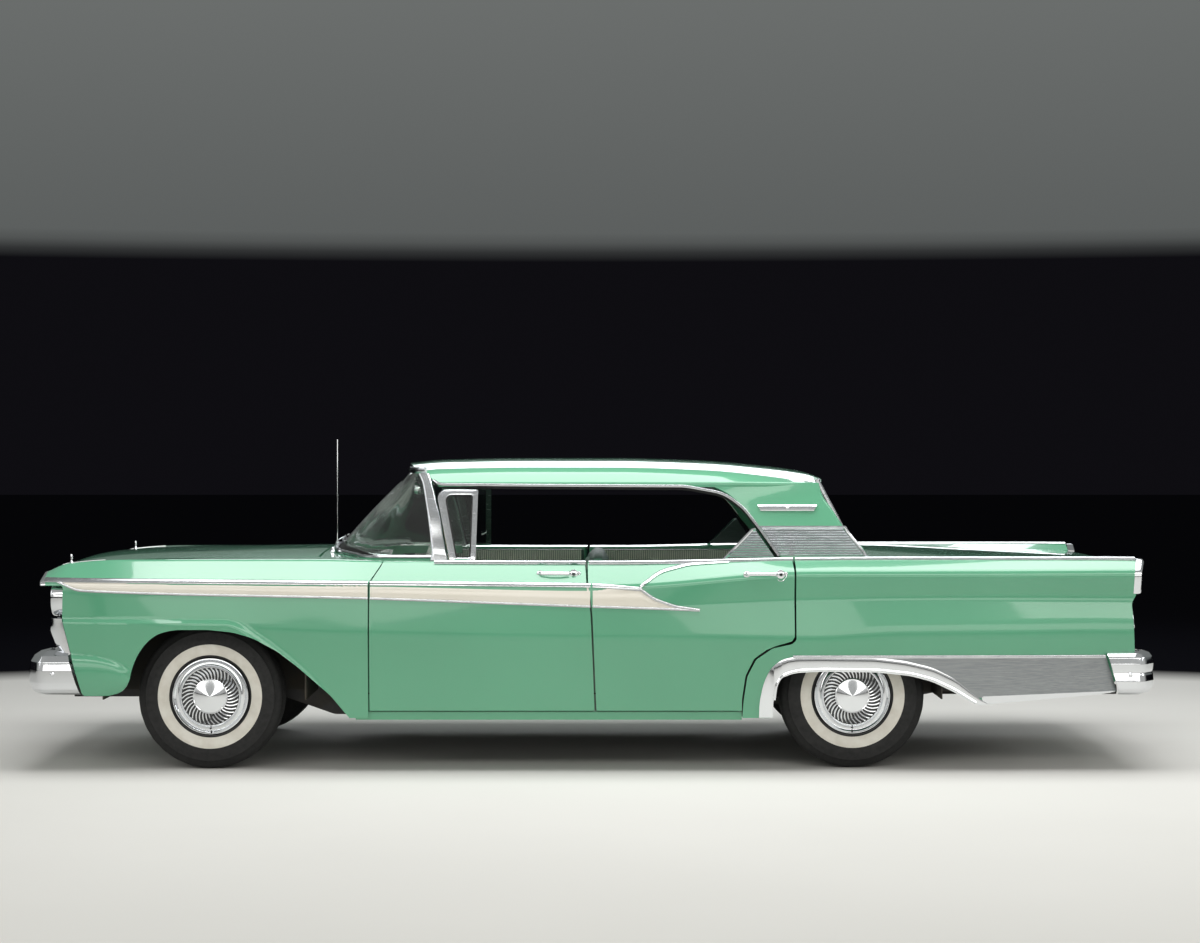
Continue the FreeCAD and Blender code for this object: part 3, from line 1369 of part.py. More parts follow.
def vent_window():
    """Right vent window: a raked frame round a small pane, standing on the door top."""
    corners = [(-636, belt - 3), (-547, belt - 3), (-542, rail_z - 12), (-673, rail_z - 12)]
    outer = [(x + front_x + 1777, z) for x, z in corners]
    # How far each corner of the pane lies inside the frame's: x, z.
    insets = [(15, -7), (-14, -7), (-14, -13), (18, -13)]
    inner = [(x + dx, z + dz) for (x, z), (dx, dz) in zip(outer, insets)]
    lean = math.degrees(math.atan2(135, rail_z - 12 - belt))
    ring = side_prism(outer, -6, 6).cut(side_prism(inner, -7, 7))
    glass = side_prism(inner, -2.5, 2.5)
    window = ring.fuse(glass)
    window.rotate(Vector(0, 0, belt), Vector(1, 0, 0), lean)
    window.translate(Vector(0, wall_y + 40, 0))
    return window.cut(front_door.Shape)


vent = made("vent_window_solid", vent_window())
node("vent_window_right", vent)
node("vent_window_left", mirrored("vent_window_twin", vent))

mast_x, mast_y = cowl_x - 77, half_width - 153
mast = Part.makeCylinder(3, 570, Vector(mast_x, mast_y, belt + 2))
mast_base = Part.makeCone(16, 8, 30, Vector(mast_x, mast_y, belt - 2))
node("antenna", made("antenna", mast.fuse(mast_base).cut(front_wing())))


# ---------------------------------------------------------------- write the pieces
def write_nodes():
    """Checks every object, then writes each piece to its own file."""
    doc.recompute()
    bad = [o.Name for o in doc.Objects if {"Invalid", "Error"} & set(o.State)]
    if bad:
        raise RuntimeError(f"objects that failed: {bad}")
    os.makedirs(OUT, exist_ok=True)
    for piece in NODES:
        shape = piece.Shape
        if shape.isNull() or not shape.isValid() or not shape.Solids:
            raise RuntimeError(f"{piece.Label} is not a sound solid")
    for piece in NODES:
        piece.Shape.exportStep(f"{OUT}/{piece.Label}.step")
        print(f"{piece.Label}: {len(piece.Shape.Solids)} solids, {piece.Shape.Volume / 1e6:.2f} litres")


write_nodes()
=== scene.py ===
"""Looks of a full-size late-1950s four-door hardtop sedan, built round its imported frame.

Lengths are metres: +X runs to the tail, +Y to the car's right and +Z up, from the floor midway between
the bumpers. Each sub-assembly is a class; its sizes are fields, worked out from the frame where it has them.
"""

from __future__ import annotations

import json
import logging
import math
from dataclasses import dataclass, field
from enum import Enum
from typing import Callable, Iterable, Sequence

import bmesh
import bpy
from mathutils import Matrix, Vector

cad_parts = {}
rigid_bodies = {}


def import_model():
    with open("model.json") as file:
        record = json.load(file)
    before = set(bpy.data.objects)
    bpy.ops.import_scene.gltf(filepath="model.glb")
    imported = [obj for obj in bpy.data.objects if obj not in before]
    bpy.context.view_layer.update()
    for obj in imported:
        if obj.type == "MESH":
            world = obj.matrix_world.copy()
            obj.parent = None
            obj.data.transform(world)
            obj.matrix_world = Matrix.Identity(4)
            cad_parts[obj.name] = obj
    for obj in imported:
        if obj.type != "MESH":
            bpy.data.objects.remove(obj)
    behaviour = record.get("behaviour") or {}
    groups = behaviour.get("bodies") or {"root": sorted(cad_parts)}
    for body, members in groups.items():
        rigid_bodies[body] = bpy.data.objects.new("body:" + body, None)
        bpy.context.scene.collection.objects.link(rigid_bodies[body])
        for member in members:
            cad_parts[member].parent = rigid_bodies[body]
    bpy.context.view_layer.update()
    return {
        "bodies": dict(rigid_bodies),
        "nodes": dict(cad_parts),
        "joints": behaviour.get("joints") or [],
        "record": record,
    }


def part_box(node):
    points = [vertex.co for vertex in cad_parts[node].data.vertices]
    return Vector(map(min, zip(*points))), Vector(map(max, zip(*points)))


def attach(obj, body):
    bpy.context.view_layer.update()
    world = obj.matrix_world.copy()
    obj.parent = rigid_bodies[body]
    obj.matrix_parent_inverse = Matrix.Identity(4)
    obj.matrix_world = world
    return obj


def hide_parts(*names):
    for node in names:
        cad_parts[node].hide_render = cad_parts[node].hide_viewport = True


LOG = logging.getLogger("hardtop_sedan")
MM = 0.001
Point2 = tuple[float, float]
Point3 = tuple[float, float, float]
Piece = bpy.types.Object
Socket = bpy.types.NodeSocket


# ------------------------------------------------------------------ numbers
def smooth(share: float) -> float:
    """Eases a share between 0 and 1."""
    share = min(max(share, 0.0), 1.0)
    return share * share * (3 - 2 * share)


def shares(count: int) -> list[float]:
    """Even shares from 0 to 1, in this many steps."""
    return [n / count for n in range(count + 1)]


def pchip(stations: Sequence[float], values: Sequence[float], x: float) -> float:
    """Runs a smooth line through values without overshoot.

    Args:
        stations: Rising places of the values.
        values: One value at each station.
        x: Where to read the line.

    Returns:
        The value at x, held beyond both ends.
    """
    if x <= stations[0]:
        return values[0]
    if x >= stations[-1]:
        return values[-1]
    rises = [(b - a) / (q - p) for p, q, a, b in zip(stations, stations[1:], values, values[1:])]
    n = next(i for i in range(len(rises)) if x <= stations[i + 1])

    def slope(i: int) -> float:
        """Slope of the line at station i."""
        if i in (0, len(rises)) or rises[i - 1] * rises[min(i, len(rises) - 1)] <= 0:
            return 0.0 if 0 < i < len(rises) else rises[0 if i == 0 else -1]
        return 2 * rises[i - 1] * rises[i] / (rises[i - 1] + rises[i])

    width = stations[n + 1] - stations[n]
    u = (x - stations[n]) / width
    a, b = values[n], values[n + 1]
    return (
        (1 + 2 * u) * (1 - u) ** 2 * a
        + u * (1 - u) ** 2 * width * slope(n)
        + u * u * (3 - 2 * u) * b
        + u * u * (u - 1) * width * slope(n + 1)
    )


def rounded(points: Sequence[Sequence[float]], closed: bool = True, steps: int = 6) -> list[Vector]:
    """Rounds the corners of a line.

    Args:
        points: Corners, each as coordinates followed by a corner radius.
        closed: Whether the last corner joins the first.
        steps: Points on each rounded corner.

    Returns:
        The line's points, corners replaced by arcs.
    """
    count = len(points)
    line: list[Vector] = []
    for n, corner in enumerate(points):
        here, radius = Vector(corner[:-1]), corner[-1]
        if radius <= 0 or (not closed and n in (0, count - 1)):
            line.append(here)
            continue
        back = Vector(points[n - 1][:-1]) - here
        ahead = Vector(points[(n + 1) % count][:-1]) - here
        half = max(back.angle(ahead) / 2, 1e-4)
        reach = min(radius / math.tan(half), 0.48 * back.length, 0.48 * ahead.length)
        back.normalize()
        ahead.normalize()
        if half > math.pi / 2 - 1e-3:
            reach = max(reach, 1e-5)
            line.extend(here + back * reach * (1 - 2 * step / steps) for step in range(steps + 1))
            continue
        radius = reach * math.tan(half)
        centre = here + (back + ahead).normalized() * (radius / math.sin(half))
        first, last = here + back * reach - centre, here + ahead * reach - centre
        for step in range(steps + 1):
            share = step / steps
            spoke = first.lerp(last, share)
            line.append(centre + spoke.normalized() * radius)
    return line


def drawn_in(line: Iterable[Vector], centre: Vector, inset: float) -> list[Vector]:
    """Moves the points of a line straight towards a centre.

    Args:
        line: The points.
        centre: Where they head.
        inset: How far, in metres; away from the centre if negative.

    Returns:
        The moved points.
    """
    return [p + (centre - p).normalized() * inset for p in line]


def evenly(line: Sequence[Vector], count: int, closed: bool = False) -> list[Vector]:
    """Spreads count points evenly along a line.

    Args:
        line: The line's points.
        count: How many points to give.
        closed: Whether the line's end joins its start.

    Returns:
        The new points, the first at the line's start.
    """
    points = [Vector(p) for p in line] + ([Vector(line[0])] if closed else [])
    lengths = [0.0]
    for a, b in zip(points, points[1:]):
        lengths.append(lengths[-1] + (b - a).length)
    spread, n = [], 0
    for step in range(count):
        target = lengths[-1] * step / (count if closed else count - 1)
        while n < len(points) - 2 and lengths[n + 1] < target:
            n += 1
        run = lengths[n + 1] - lengths[n]
        spread.append(points[n].lerp(points[n + 1], (target - lengths[n]) / run if run else 0.0))
    return spread


# ------------------------------------------------------------------ meshes
def mesh_object(name: str, points: Iterable[Sequence[float]], faces: Iterable[Sequence[int]]) -> Piece:
    """Makes a mesh object with its faces turned outwards.

    Args:
        name: Name of the object and its mesh.
        points: Places of its points.
        faces: Point numbers of each face.

    Returns:
        The new object, linked to the scene.
    """
    mesh = bpy.data.meshes.new(name)
    mesh.from_pydata([tuple(p) for p in points], [], [tuple(f) for f in faces])
    piece = bpy.data.objects.new(name, mesh)
    bpy.context.scene.collection.objects.link(piece)
    clean(piece)
    return piece


def clean(piece: Piece, merge: float = 1e-6) -> Piece:
    """Merges doubled points and turns the faces outwards.

    Args:
        piece: The piece to mend.
        merge: Points nearer than this become one.

    Returns:
        The same piece.
    """
    form = bmesh.new()
    form.from_mesh(piece.data)
    bmesh.ops.remove_doubles(form, verts=form.verts, dist=merge)
    bmesh.ops.dissolve_degenerate(form, edges=form.edges, dist=merge)
    bmesh.ops.recalc_face_normals(form, faces=form.faces)
    form.to_mesh(piece.data)
    form.free()
    return piece


def loft(
    name: str, rings: Sequence[Sequence[Sequence[float]]], closed: bool = True, caps: bool = True
) -> Piece:
    """Skins a run of rings that all have as many points.

    Args:
        name: Name of the piece.
        rings: The cross-sections in order.
        closed: Whether each ring joins its last point to its first.
        caps: Whether the two end rings are filled.

    Returns:
        The new object.
    """
    size = len(rings[0])
    points = [p for ring in rings for p in ring]
    faces: list[Sequence[int]] = []
    for r in range(len(rings) - 1):
        for n in range(size if closed else size - 1):
            a, b = r * size + n, r * size + (n + 1) % size
            faces.append((a, b, b + size, a + size))
    if caps and closed:
        faces.append(tuple(range(size)))
        faces.append(tuple((len(rings) - 1) * size + n for n in range(size)))
    return mesh_object(name, points, faces)


def lathe(
    name: str,
    profile: Sequence[Point2],
    centre: Sequence[float],
    axis: str = "y",
    steps: int = 96,
    sign: float = 1,
) -> Piece:
    """Turns a profile of (radius, along the axis) about a line through centre.

    Args:
        name: Name of the piece.
        profile: Points of the profile.
        centre: A point on the axis, from which the profile is measured.
        axis: x, y or z.
        steps: Faces round the axis.
        sign: -1 turns the profile end for end.

    Returns:
        The new object.
    """
    order = {"x": (1, 2, 0), "y": (2, 0, 1), "z": (0, 1, 2)}[axis]
    rings = []
    for step in range(steps):
        turn = 2 * math.pi * step / steps
        ring = []
        for radius, along in profile:
            point = [0.0, 0.0, 0.0]
            point[order[0]] = centre[order[0]] + radius * math.cos(turn)
            point[order[1]] = centre[order[1]] + radius * math.sin(turn)
            point[order[2]] = centre[order[2]] + sign * along
            ring.append(point)
        rings.append(ring)
    rings.append(rings[0])
    return loft(name, rings, closed=False, caps=False)


def prism(name: str, outline: Sequence[Point2], start: float, end: float, axis: str = "y") -> Piece:
    """Carries a flat outline along x, y or z.

    Args:
        name: Name of the piece.
        outline: The other two coordinates, in order.
        start: Where it begins along the axis.
        end: Where it ends.
        axis: x, y or z.

    Returns:
        The closed piece.
    """
    slot = "xyz".index(axis)
    rings = []
    for level in (start, end):
        ring = []
        for p in outline:
            point = [p[0], p[1]]
            point.insert(slot, level)
            ring.append(point)
        rings.append(ring)
    return loft(name, rings)


def sweep(
    name: str,
    path: Sequence[Sequence[float]],
    section: Sequence[Point2],
    across: Callable[[int], Vector] | Vector,
    closed: bool = False,
) -> Piece:
    """Carries a section along a path.

    Args:
        name: Name of the piece.
        path: Points of the path.
        section: Points of (outward, sideways).
        across: The outward direction, the same all along or for each point's number.
        closed: Whether the path is a loop.

    Returns:
        The new object.
    """
    points = [Vector(p) for p in path]
    count = len(points)
    rings = []
    for n, here in enumerate(points):
        before = points[n - 1] if closed or n else here
        after = points[(n + 1) % count] if closed or n < count - 1 else here
        along = (after - before).normalized()
        outward = across(n) if callable(across) else across
        outward = (outward - along * outward.dot(along)).normalized()
        aside = along.cross(outward)
        rings.append([here + outward * o + aside * s for o, s in section])
    if closed:
        rings.append(rings[0])
    return loft(name, rings, closed=True, caps=not closed)


def tube(
    name: str, path: Sequence[Sequence[float]], radius: float, sides: int = 12, closed: bool = False
) -> Piece:
    """A round bar along a path, its frame carried on from point to point.

    Args:
        name: Name of the piece.
        path: Points of its middle line.
        radius: Radius of the bar.
        sides: Faces round it.
        closed: Whether the path is a loop.

    Returns:
        The new object.
    """
    points = [Vector(p) for p in path]
    outward = [Vector((0, 0, 1))]
    for n in range(1, len(points)):
        along = (points[n] - points[n - 1]).normalized()
        ahead = outward[-1] - along * outward[-1].dot(along)
        outward.append(ahead.normalized() if ahead.length > 1e-3 else along.orthogonal().normalized())
    section = [
        (radius * math.cos(2 * math.pi * k / sides), radius * math.sin(2 * math.pi * k / sides))
        for k in range(sides)
    ]
    if abs((points[1] - points[0]).normalized().z) > 0.9:
        return sweep(name, points, section, Vector((1, 0, 0)), closed)
    return sweep(name, points, section, lambda n: outward[n], closed)


def boolean(piece: Piece, tool: Piece, kind: str = "INTERSECT", keep_tool: bool = False) -> Piece:
    """Applies an exact boolean and removes the tool.

    Args:
        piece: The piece to cut.
        tool: The shape to cut it with.
        kind: INTERSECT, DIFFERENCE or UNION.
        keep_tool: Whether the tool is kept for another cut.

    Returns:
        The same piece.
    """
    modifier = piece.modifiers.new("trim", "BOOLEAN")
    modifier.operation = kind
    modifier.solver = "EXACT"
    modifier.use_self = True
    modifier.object = tool
    apply_modifiers(piece)
    clean(piece, 2e-5)
    if not keep_tool:
        bpy.data.objects.remove(tool)
    return piece


def apply_modifiers(piece: Piece) -> Piece:
    """Turns a piece with its modifiers into a plain mesh.

    Args:
        piece: The piece with its modifiers.

    Returns:
        The same piece.
    """
    graph = bpy.context.evaluated_depsgraph_get()
    graph.update()
    mesh = bpy.data.meshes.new_from_object(piece.evaluated_get(graph), depsgraph=graph)
    piece.modifiers.clear()
    old = piece.data
    piece.data = mesh
    if old.users == 0:
        bpy.data.meshes.remove(old)
    return piece


def modified(piece: Piece, kind: str, **settings: object) -> Piece:
    """Adds one modifier with its settings and applies it.

    Args:
        piece: The piece to change.
        kind: The modifier's type.
        settings: Its properties by name.

    Returns:
        The same piece.
    """
    modifier = piece.modifiers.new(kind.lower(), kind)
    for name, value in settings.items():
        setattr(modifier, name, value)
    return apply_modifiers(piece)


def mirrored(piece: Piece, name: str) -> Piece:
    """A copy of a piece on the other side of the car.

    Args:
        piece: The piece on one side.
        name: Name of its twin.

    Returns:
        The twin, its faces turned outwards.
    """
    twin = piece.copy()
    twin.data = piece.data.copy()
    twin.name = name
    bpy.context.scene.collection.objects.link(twin)
    twin.data.transform(Matrix.Scale(-1, 4, Vector((0, 1, 0))))
    return clean(twin)


def joined(name: str, pieces: Sequence[Piece]) -> Piece:
    """Joins pieces into one mesh, keeping their materials.

    Args:
        name: Name of the joined piece.
        pieces: The pieces, which it uses up.

    Returns:
        The one piece.
    """
    form = bmesh.new()
    slots: list[bpy.types.Material] = []
    for piece in pieces:
        numbers = []
        for material in piece.data.materials:
            if material not in slots:
                slots.append(material)
            numbers.append(slots.index(material))
        start = len(form.faces)
        form.from_mesh(piece.data)
        form.faces.ensure_lookup_table()
        for face in form.faces[start:]:
            face.material_index = numbers[face.material_index] if numbers else 0
        bpy.data.objects.remove(piece)
    mesh = bpy.data.meshes.new(name)
    form.to_mesh(mesh)
    form.free()
    for material in slots:
        mesh.materials.append(material)
    whole = bpy.data.objects.new(name, mesh)
    bpy.context.scene.collection.objects.link(whole)
    return whole


def shaded(piece: Piece, crease: float = 32) -> Piece:
    """Shades smooth, with edges sharper than crease degrees left crisp.

    Args:
        piece: The piece to shade.
        crease: Angle in degrees past which an edge stays crisp.

    Returns:
        The same piece.
    """
    limit = math.radians(crease)
    form = bmesh.new()
    form.from_mesh(piece.data)
    for face in form.faces:
        face.smooth = True
    for edge in form.edges:
        edge.smooth = not (len(edge.link_faces) == 2 and edge.calc_face_angle(0) > limit)
    form.to_mesh(piece.data)
    form.free()
    return piece


# ------------------------------------------------------------------ finishes
def linear(code: str, alpha: float = 1.0) -> tuple[float, float, float, float]:
    """Turns an sRGB hex colour into linear light.

    Args:
        code: Six hex digits after a hash.
        alpha: The fourth value.

    Returns:
        Red, green, blue and alpha.
    """
    parts = [int(code[n : n + 2], 16) / 255 for n in (1, 3, 5)]
    red, green, blue = (v / 12.92 if v <= 0.04045 else ((v + 0.055) / 1.055) ** 2.4 for v in parts)
    return (red, green, blue, alpha)


def add(
    tree: bpy.types.NodeTree, kind: str, inputs: dict[str | int, object] | None = None, **settings: object
) -> bpy.types.Node:
    """Adds a node with its settings, and with its inputs linked or set.

    Args:
        tree: The tree that the node joins.
        kind: The node's type.
        inputs: A socket to link or a value to set, by the input's name or number.
        settings: Properties of the node.

    Returns:
        The new node.
    """
    node = tree.nodes.new(kind)
    for name, value in settings.items():
        setattr(node, name, value)
    for name, value in (inputs or {}).items():
        if isinstance(value, Socket):
            tree.links.new(value, node.inputs[name])
        else:
            node.inputs[name].default_value = value
    return node


class Painter:
    """The node tree of one material: its shader, its place on the piece, and patterns over it."""

    def __init__(self, name: str, **sockets: object) -> None:
        """Starts a material whose shader has these plain values.

        Args:
            name: Name of the material.
            sockets: Plain values of the shader, by socket name with _ for a space.
        """
        self.material = bpy.data.materials.new(name)
        self.material.use_nodes = True
        self.tree = self.material.node_tree
        self.shader = self.tree.nodes["Principled BSDF"]
        for socket, value in sockets.items():
            self.shader.inputs[socket.replace("_", " ")].default_value = value
        self.place = add(self.tree, "ShaderNodeTexCoord").outputs["Object"]

    def mottle(
        self, size: float, detail: float = 3, stretch: Point3 = (1, 1, 1), roughness: float = 0.5
    ) -> Socket:
        """Draws blotches on the piece.

        Args:
            size: Width of one blotch.
            detail: Finer layers over it.
            stretch: How many times finer it runs along X, Y and Z.
            roughness: Weight of the finer layers.

        Returns:
            The pattern, 0 to 1.
        """
        place = add(self.tree, "ShaderNodeMapping", {"Vector": self.place, "Scale": stretch})
        inputs = {"Vector": place.outputs[0], "Scale": 1 / size, "Detail": detail, "Roughness": roughness}
        return add(self.tree, "ShaderNodeTexNoise", inputs).outputs[0]

    def wear(self, reach: float) -> Socket:
        """Finds worn edges.

        Args:
            reach: How far wear reaches in from an edge.

        Returns:
            1 on worn edges and 0 on open faces.
        """
        bent = add(self.tree, "ShaderNodeBevel", {"Radius": reach}, samples=4).outputs[0]
        flat = add(self.tree, "ShaderNodeNewGeometry").outputs["Normal"]
        sameness = add(self.tree, "ShaderNodeVectorMath", {0: bent, 1: flat}, operation="DOT_PRODUCT")
        inputs = {"Value": sameness.outputs["Value"], 1: 0.86, 2: 0.99, 3: 1, 4: 0}
        return add(self.tree, "ShaderNodeMapRange", inputs).outputs[0]

    def link(self, socket: str, source: Socket) -> None:
        """Feeds one of the shader's inputs."""
        self.tree.links.new(source, self.shader.inputs[socket])

    def tint(self, share: Socket, first: str, second: str) -> None:
        """Colours the surface from a first hex colour, where the share is 0, to a second."""
        inputs = {0: share, 6: linear(first), 7: linear(second)}
        self.link("Base Color", add(self.tree, "ShaderNodeMix", inputs, data_type="RGBA").outputs[2])

    def roughen(
        self, pattern: Socket, low: float, high: float, start: float = 0.3, end: float = 0.7
    ) -> None:
        """Lets the roughness follow a pattern.

        Args:
            pattern: The pattern to follow.
            low: Roughness where the pattern is start or less.
            high: Roughness where it is end or more.
            start: Lower end of the part of the pattern that counts.
            end: Upper end of that part.
        """
        inputs = {"Value": pattern, 1: start, 2: end, 3: low, 4: high}
        self.link("Roughness", add(self.tree, "ShaderNodeMapRange", inputs).outputs[0])

    def emboss(
        self, height: Socket, depth: float, strength: float = 1.0, socket: str = "Normal"
    ) -> None:
        """Raises the surface where a pattern is high.

        Args:
            height: The pattern.
            depth: Rise in metres where it is 1.
            strength: How strongly it shows.
            socket: The shader's input that it bends.
        """
        inputs = {"Height": height, "Distance": depth, "Strength": strength}
        self.link(socket, add(self.tree, "ShaderNodeBump", inputs).outputs[0])


@dataclass(frozen=True)
class Finish:
    """What a surface is made of and how it was finished."""

    name: str
    colour: str = "#808080"

    def material(self) -> bpy.types.Material:
        """The finish's material, made once."""
        return bpy.data.materials.get(self.name) or self.paint()

    def paint(self) -> bpy.types.Material:
        """Paints the finish on a new material."""
        return Painter(self.name, Base_Color=linear(self.colour)).material


@dataclass(frozen=True)
class Enamel(Finish):
    """Stoved and polished enamel: a deep gloss with faint orange peel and a little dust in the film."""

    peel: float = 0.006
    roughness: float = 0.16
    shade: str = ""

    def paint(self) -> bpy.types.Material:
        """Paints the finish on a new material.

        Returns:
            The material.
        """
        painter = Painter(self.name, Coat_Weight=1.0, Coat_Roughness=0.025, Coat_IOR=1.5, IOR=1.45)
        inputs = {"Value": painter.mottle(0.9, 2), 1: 0.3, 2: 0.7}
        cloud = add(painter.tree, "ShaderNodeMapRange", inputs).outputs[0]
        painter.tint(cloud, self.colour, self.shade or self.colour)
        painter.roughen(painter.mottle(0.35, 3), self.roughness, self.roughness + 0.04)
        painter.emboss(painter.mottle(self.peel, 1), 0.00006, 0.35, "Coat Normal")
        return painter.material


@dataclass(frozen=True)
class Chrome(Finish):
    """Bumper chrome over nickel: a mirror with a blue cast, slight buffing waves and pinhole pits."""

    roughness: float = 0.045

    def paint(self) -> bpy.types.Material:
        """Paints the finish on a new material.

        Returns:
            The material.
        """
        painter = Painter(self.name, Base_Color=linear(self.colour), Metallic=1.0)
        dull = self.roughness + 0.07
        inputs = {"Value": painter.mottle(0.12, 6), 1: 0.35, 2: 0.75, 3: self.roughness, 4: dull}
        haze = add(painter.tree, "ShaderNodeMapRange", inputs).outputs[0]
        inputs = {"Value": painter.mottle(0.0035, 2), 1: 0.74, 2: 0.80, 3: 0, 4: 0.35}
        pits = add(painter.tree, "ShaderNodeMapRange", inputs).outputs[0]
        both = add(painter.tree, "ShaderNodeMath", {0: haze, 1: pits}, operation="ADD")
        painter.link("Roughness", both.outputs[0])
        painter.emboss(painter.mottle(0.07, 2), 0.0009, 0.12)
        return painter.material


@dataclass(frozen=True)
class Brushed(Finish):
    """Rolled bright metal, its grain drawn out along one axis, which spreads highlights across the grain."""

    grain: Point3 = (1, 30, 30)
    pitch: float = 0.06
    roughness: float = 0.22
    shade: str = "#8E9296"

    def paint(self) -> bpy.types.Material:
        """Paints the finish on a new material.

        Returns:
            The material.
        """
        painter = Painter(self.name, Metallic=1.0)
        streaks = painter.mottle(self.pitch, 4, self.grain, 0.65)
        share = add(painter.tree, "ShaderNodeMapRange", {"Value": streaks, 1: 0.3, 2: 0.7}).outputs[0]
        painter.tint(share, self.colour, self.shade)
        painter.roughen(streaks, self.roughness, self.roughness + 0.2)
        painter.emboss(streaks, 0.0002, 0.25)
        return painter.material


@dataclass(frozen=True)
class Glass(Finish):
    """Laminated plate glass or a moulded lens: clear through and faintly green or coloured in its depth."""

    roughness: float = 0.0

    def paint(self) -> bpy.types.Material:
        """Paints the finish on a new material.

        Returns:
            The material.
        """
        painter = Painter(self.name, Base_Color=linear(self.colour), Transmission_Weight=1.0, IOR=1.5)
        painter.roughen(painter.mottle(0.2, 5), self.roughness, self.roughness + 0.03, 0.5, 0.8)
        painter.emboss(painter.mottle(0.3, 1), 0.0004, 0.06)
        return painter.material


@dataclass(frozen=True)
class Rubber(Finish):
    """Cured rubber: dull, a little mottled, with a fine mould grain that catches soft light."""

    roughness: float = 0.62
    shade: str = "#2A2A2B"

    def paint(self) -> bpy.types.Material:
        """Paints the finish on a new material.

        Returns:
            The material.
        """
        painter = Painter(self.name, IOR=1.52)
        inputs = {"Value": painter.mottle(0.05, 6), 1: 0.3, 2: 0.7}
        cloud = add(painter.tree, "ShaderNodeMapRange", inputs).outputs[0]
        painter.tint(cloud, self.colour, self.shade)
        painter.roughen(painter.mottle(0.02, 4), self.roughness, self.roughness + 0.18)
        painter.emboss(painter.mottle(0.0022, 3), 0.00025, 0.4)
        return painter.material


@dataclass(frozen=True)
class ChassisPaint(Finish):
    """Black or grey paint over rough metal, with road dust settled on it and its edges rubbed."""

    roughness: float = 0.42
    dust: str = "#5E564C"
    grain: float = 0.004
    metallic: float = 0.0

    def paint(self) -> bpy.types.Material:
        """Paints the finish on a new material.

        Returns:
            The material.
        """
        painter = Painter(self.name, Metallic=self.metallic)
        inputs = {"Value": painter.mottle(0.11, 7, roughness=0.62), 1: 0.46, 2: 0.78, 3: 0, 4: 0.55}
        film = add(painter.tree, "ShaderNodeMapRange", inputs).outputs[0]
        inputs = {0: film, 1: painter.wear(0.002)}
        worn = add(painter.tree, "ShaderNodeMath", inputs, operation="MAXIMUM").outputs[0]
        painter.tint(worn, self.colour, self.dust)
        painter.roughen(film, self.roughness, self.roughness + 0.4, 0, 0.6)
        painter.emboss(painter.mottle(self.grain, 4), 0.0006, 0.35)
        return painter.material


@dataclass(frozen=True)
class Cloth(Finish):
    """Woven seat cloth with a raised thread pattern, drawn coarser than the thread so that it shows."""

    thread: float = 0.0035
    shade: str = "#3E5F50"
    fuzz: float = 0.35

    def paint(self) -> bpy.types.Material:
        """Paints the finish on a new material.

        Returns:
            The material.
        """
        painter = Painter(self.name, Sheen_Weight=self.fuzz, Sheen_Roughness=0.5, Roughness=0.86)
        threads = []
        for direction, wander in (("X", 0.4), ("DIAGONAL", 0.6)):
            inputs = {"Vector": painter.place, "Scale": math.pi / (10 * self.thread), "Distortion": wander}
            thread = add(painter.tree, "ShaderNodeTexWave", inputs, bands_direction=direction)
            threads.append(thread.outputs["Fac"])
        inputs = {0: threads[0], 1: threads[1]}
        weave = add(painter.tree, "ShaderNodeMath", inputs, operation="MULTIPLY").outputs[0]
        inputs = {"Value": painter.mottle(0.02, 6), 1: 0.3, 2: 0.7, 3: 0, 4: 0.6}
        fleck = add(painter.tree, "ShaderNodeMapRange", inputs).outputs[0]
        share = add(painter.tree, "ShaderNodeMath", {0: weave, 1: fleck}, operation="MAXIMUM")
        painter.tint(share.outputs[0], self.colour, self.shade)
        painter.emboss(weave, 0.0008, 0.5)
        return painter.material


@dataclass(frozen=True)
class Vinyl(Finish):
    """Coated fabric with a pressed leather grain: soft sheen on the high spots, and painted shade that
    darkens the grain's creases.
    """

    grain: float = 0.004
    roughness: float = 0.42
    shade: str = "#2F5645"

    def paint(self) -> bpy.types.Material:
        """Paints the finish on a new material.

        Returns:
            The material.
        """
        painter = Painter(self.name, IOR=1.48, Coat_Weight=0.15, Coat_Roughness=0.35)
        inputs = {"Vector": painter.place, "Scale": 1 / self.grain}
        cells = add(painter.tree, "ShaderNodeTexVoronoi", inputs, feature="DISTANCE_TO_EDGE").outputs[0]
        # Painted shade: near the grain's cell edges the colour goes to the darker shade colour; the same
        # pattern also raises the grain.
        grain_and_crease_shade = add(painter.tree, "ShaderNodeMapRange", {"Value": cells, 1: 0, 2: 0.28}).outputs[0]
        inputs = {"Value": painter.mottle(0.08, 4), 1: 0.3, 2: 0.7, 3: 0.5, 4: 1}
        cloud = add(painter.tree, "ShaderNodeMapRange", inputs).outputs[0]
        share = add(painter.tree, "ShaderNodeMath", {0: grain_and_crease_shade, 1: cloud}, operation="MULTIPLY")
        # Creases take the shade colour as painted shade, high spots the main colour, varied at random by the
        # cloud.
        painter.tint(share.outputs[0], self.shade, self.colour)
        painter.roughen(painter.mottle(0.03, 4), self.roughness, self.roughness + 0.16)
        painter.emboss(grain_and_crease_shade, 0.0005, 0.35)
        return painter.material


@dataclass(frozen=True)
class Plastic(Finish):
    """Moulded plastic or hard rubber: an even colour with faint flow clouds and a polished skin."""

    roughness: float = 0.24

    def paint(self) -> bpy.types.Material:
        """Paints the finish on a new material.

        Returns:
            The material.
        """
        tone = linear(self.colour)
        painter = Painter(
            self.name, Base_Color=tone, IOR=1.49, Subsurface_Weight=0.05, Subsurface_Scale=0.004
        )
        painter.roughen(painter.mottle(0.03, 4), self.roughness, self.roughness + 0.12)
        painter.emboss(painter.mottle(0.009, 2), 0.0001, 0.3)
        return painter.material


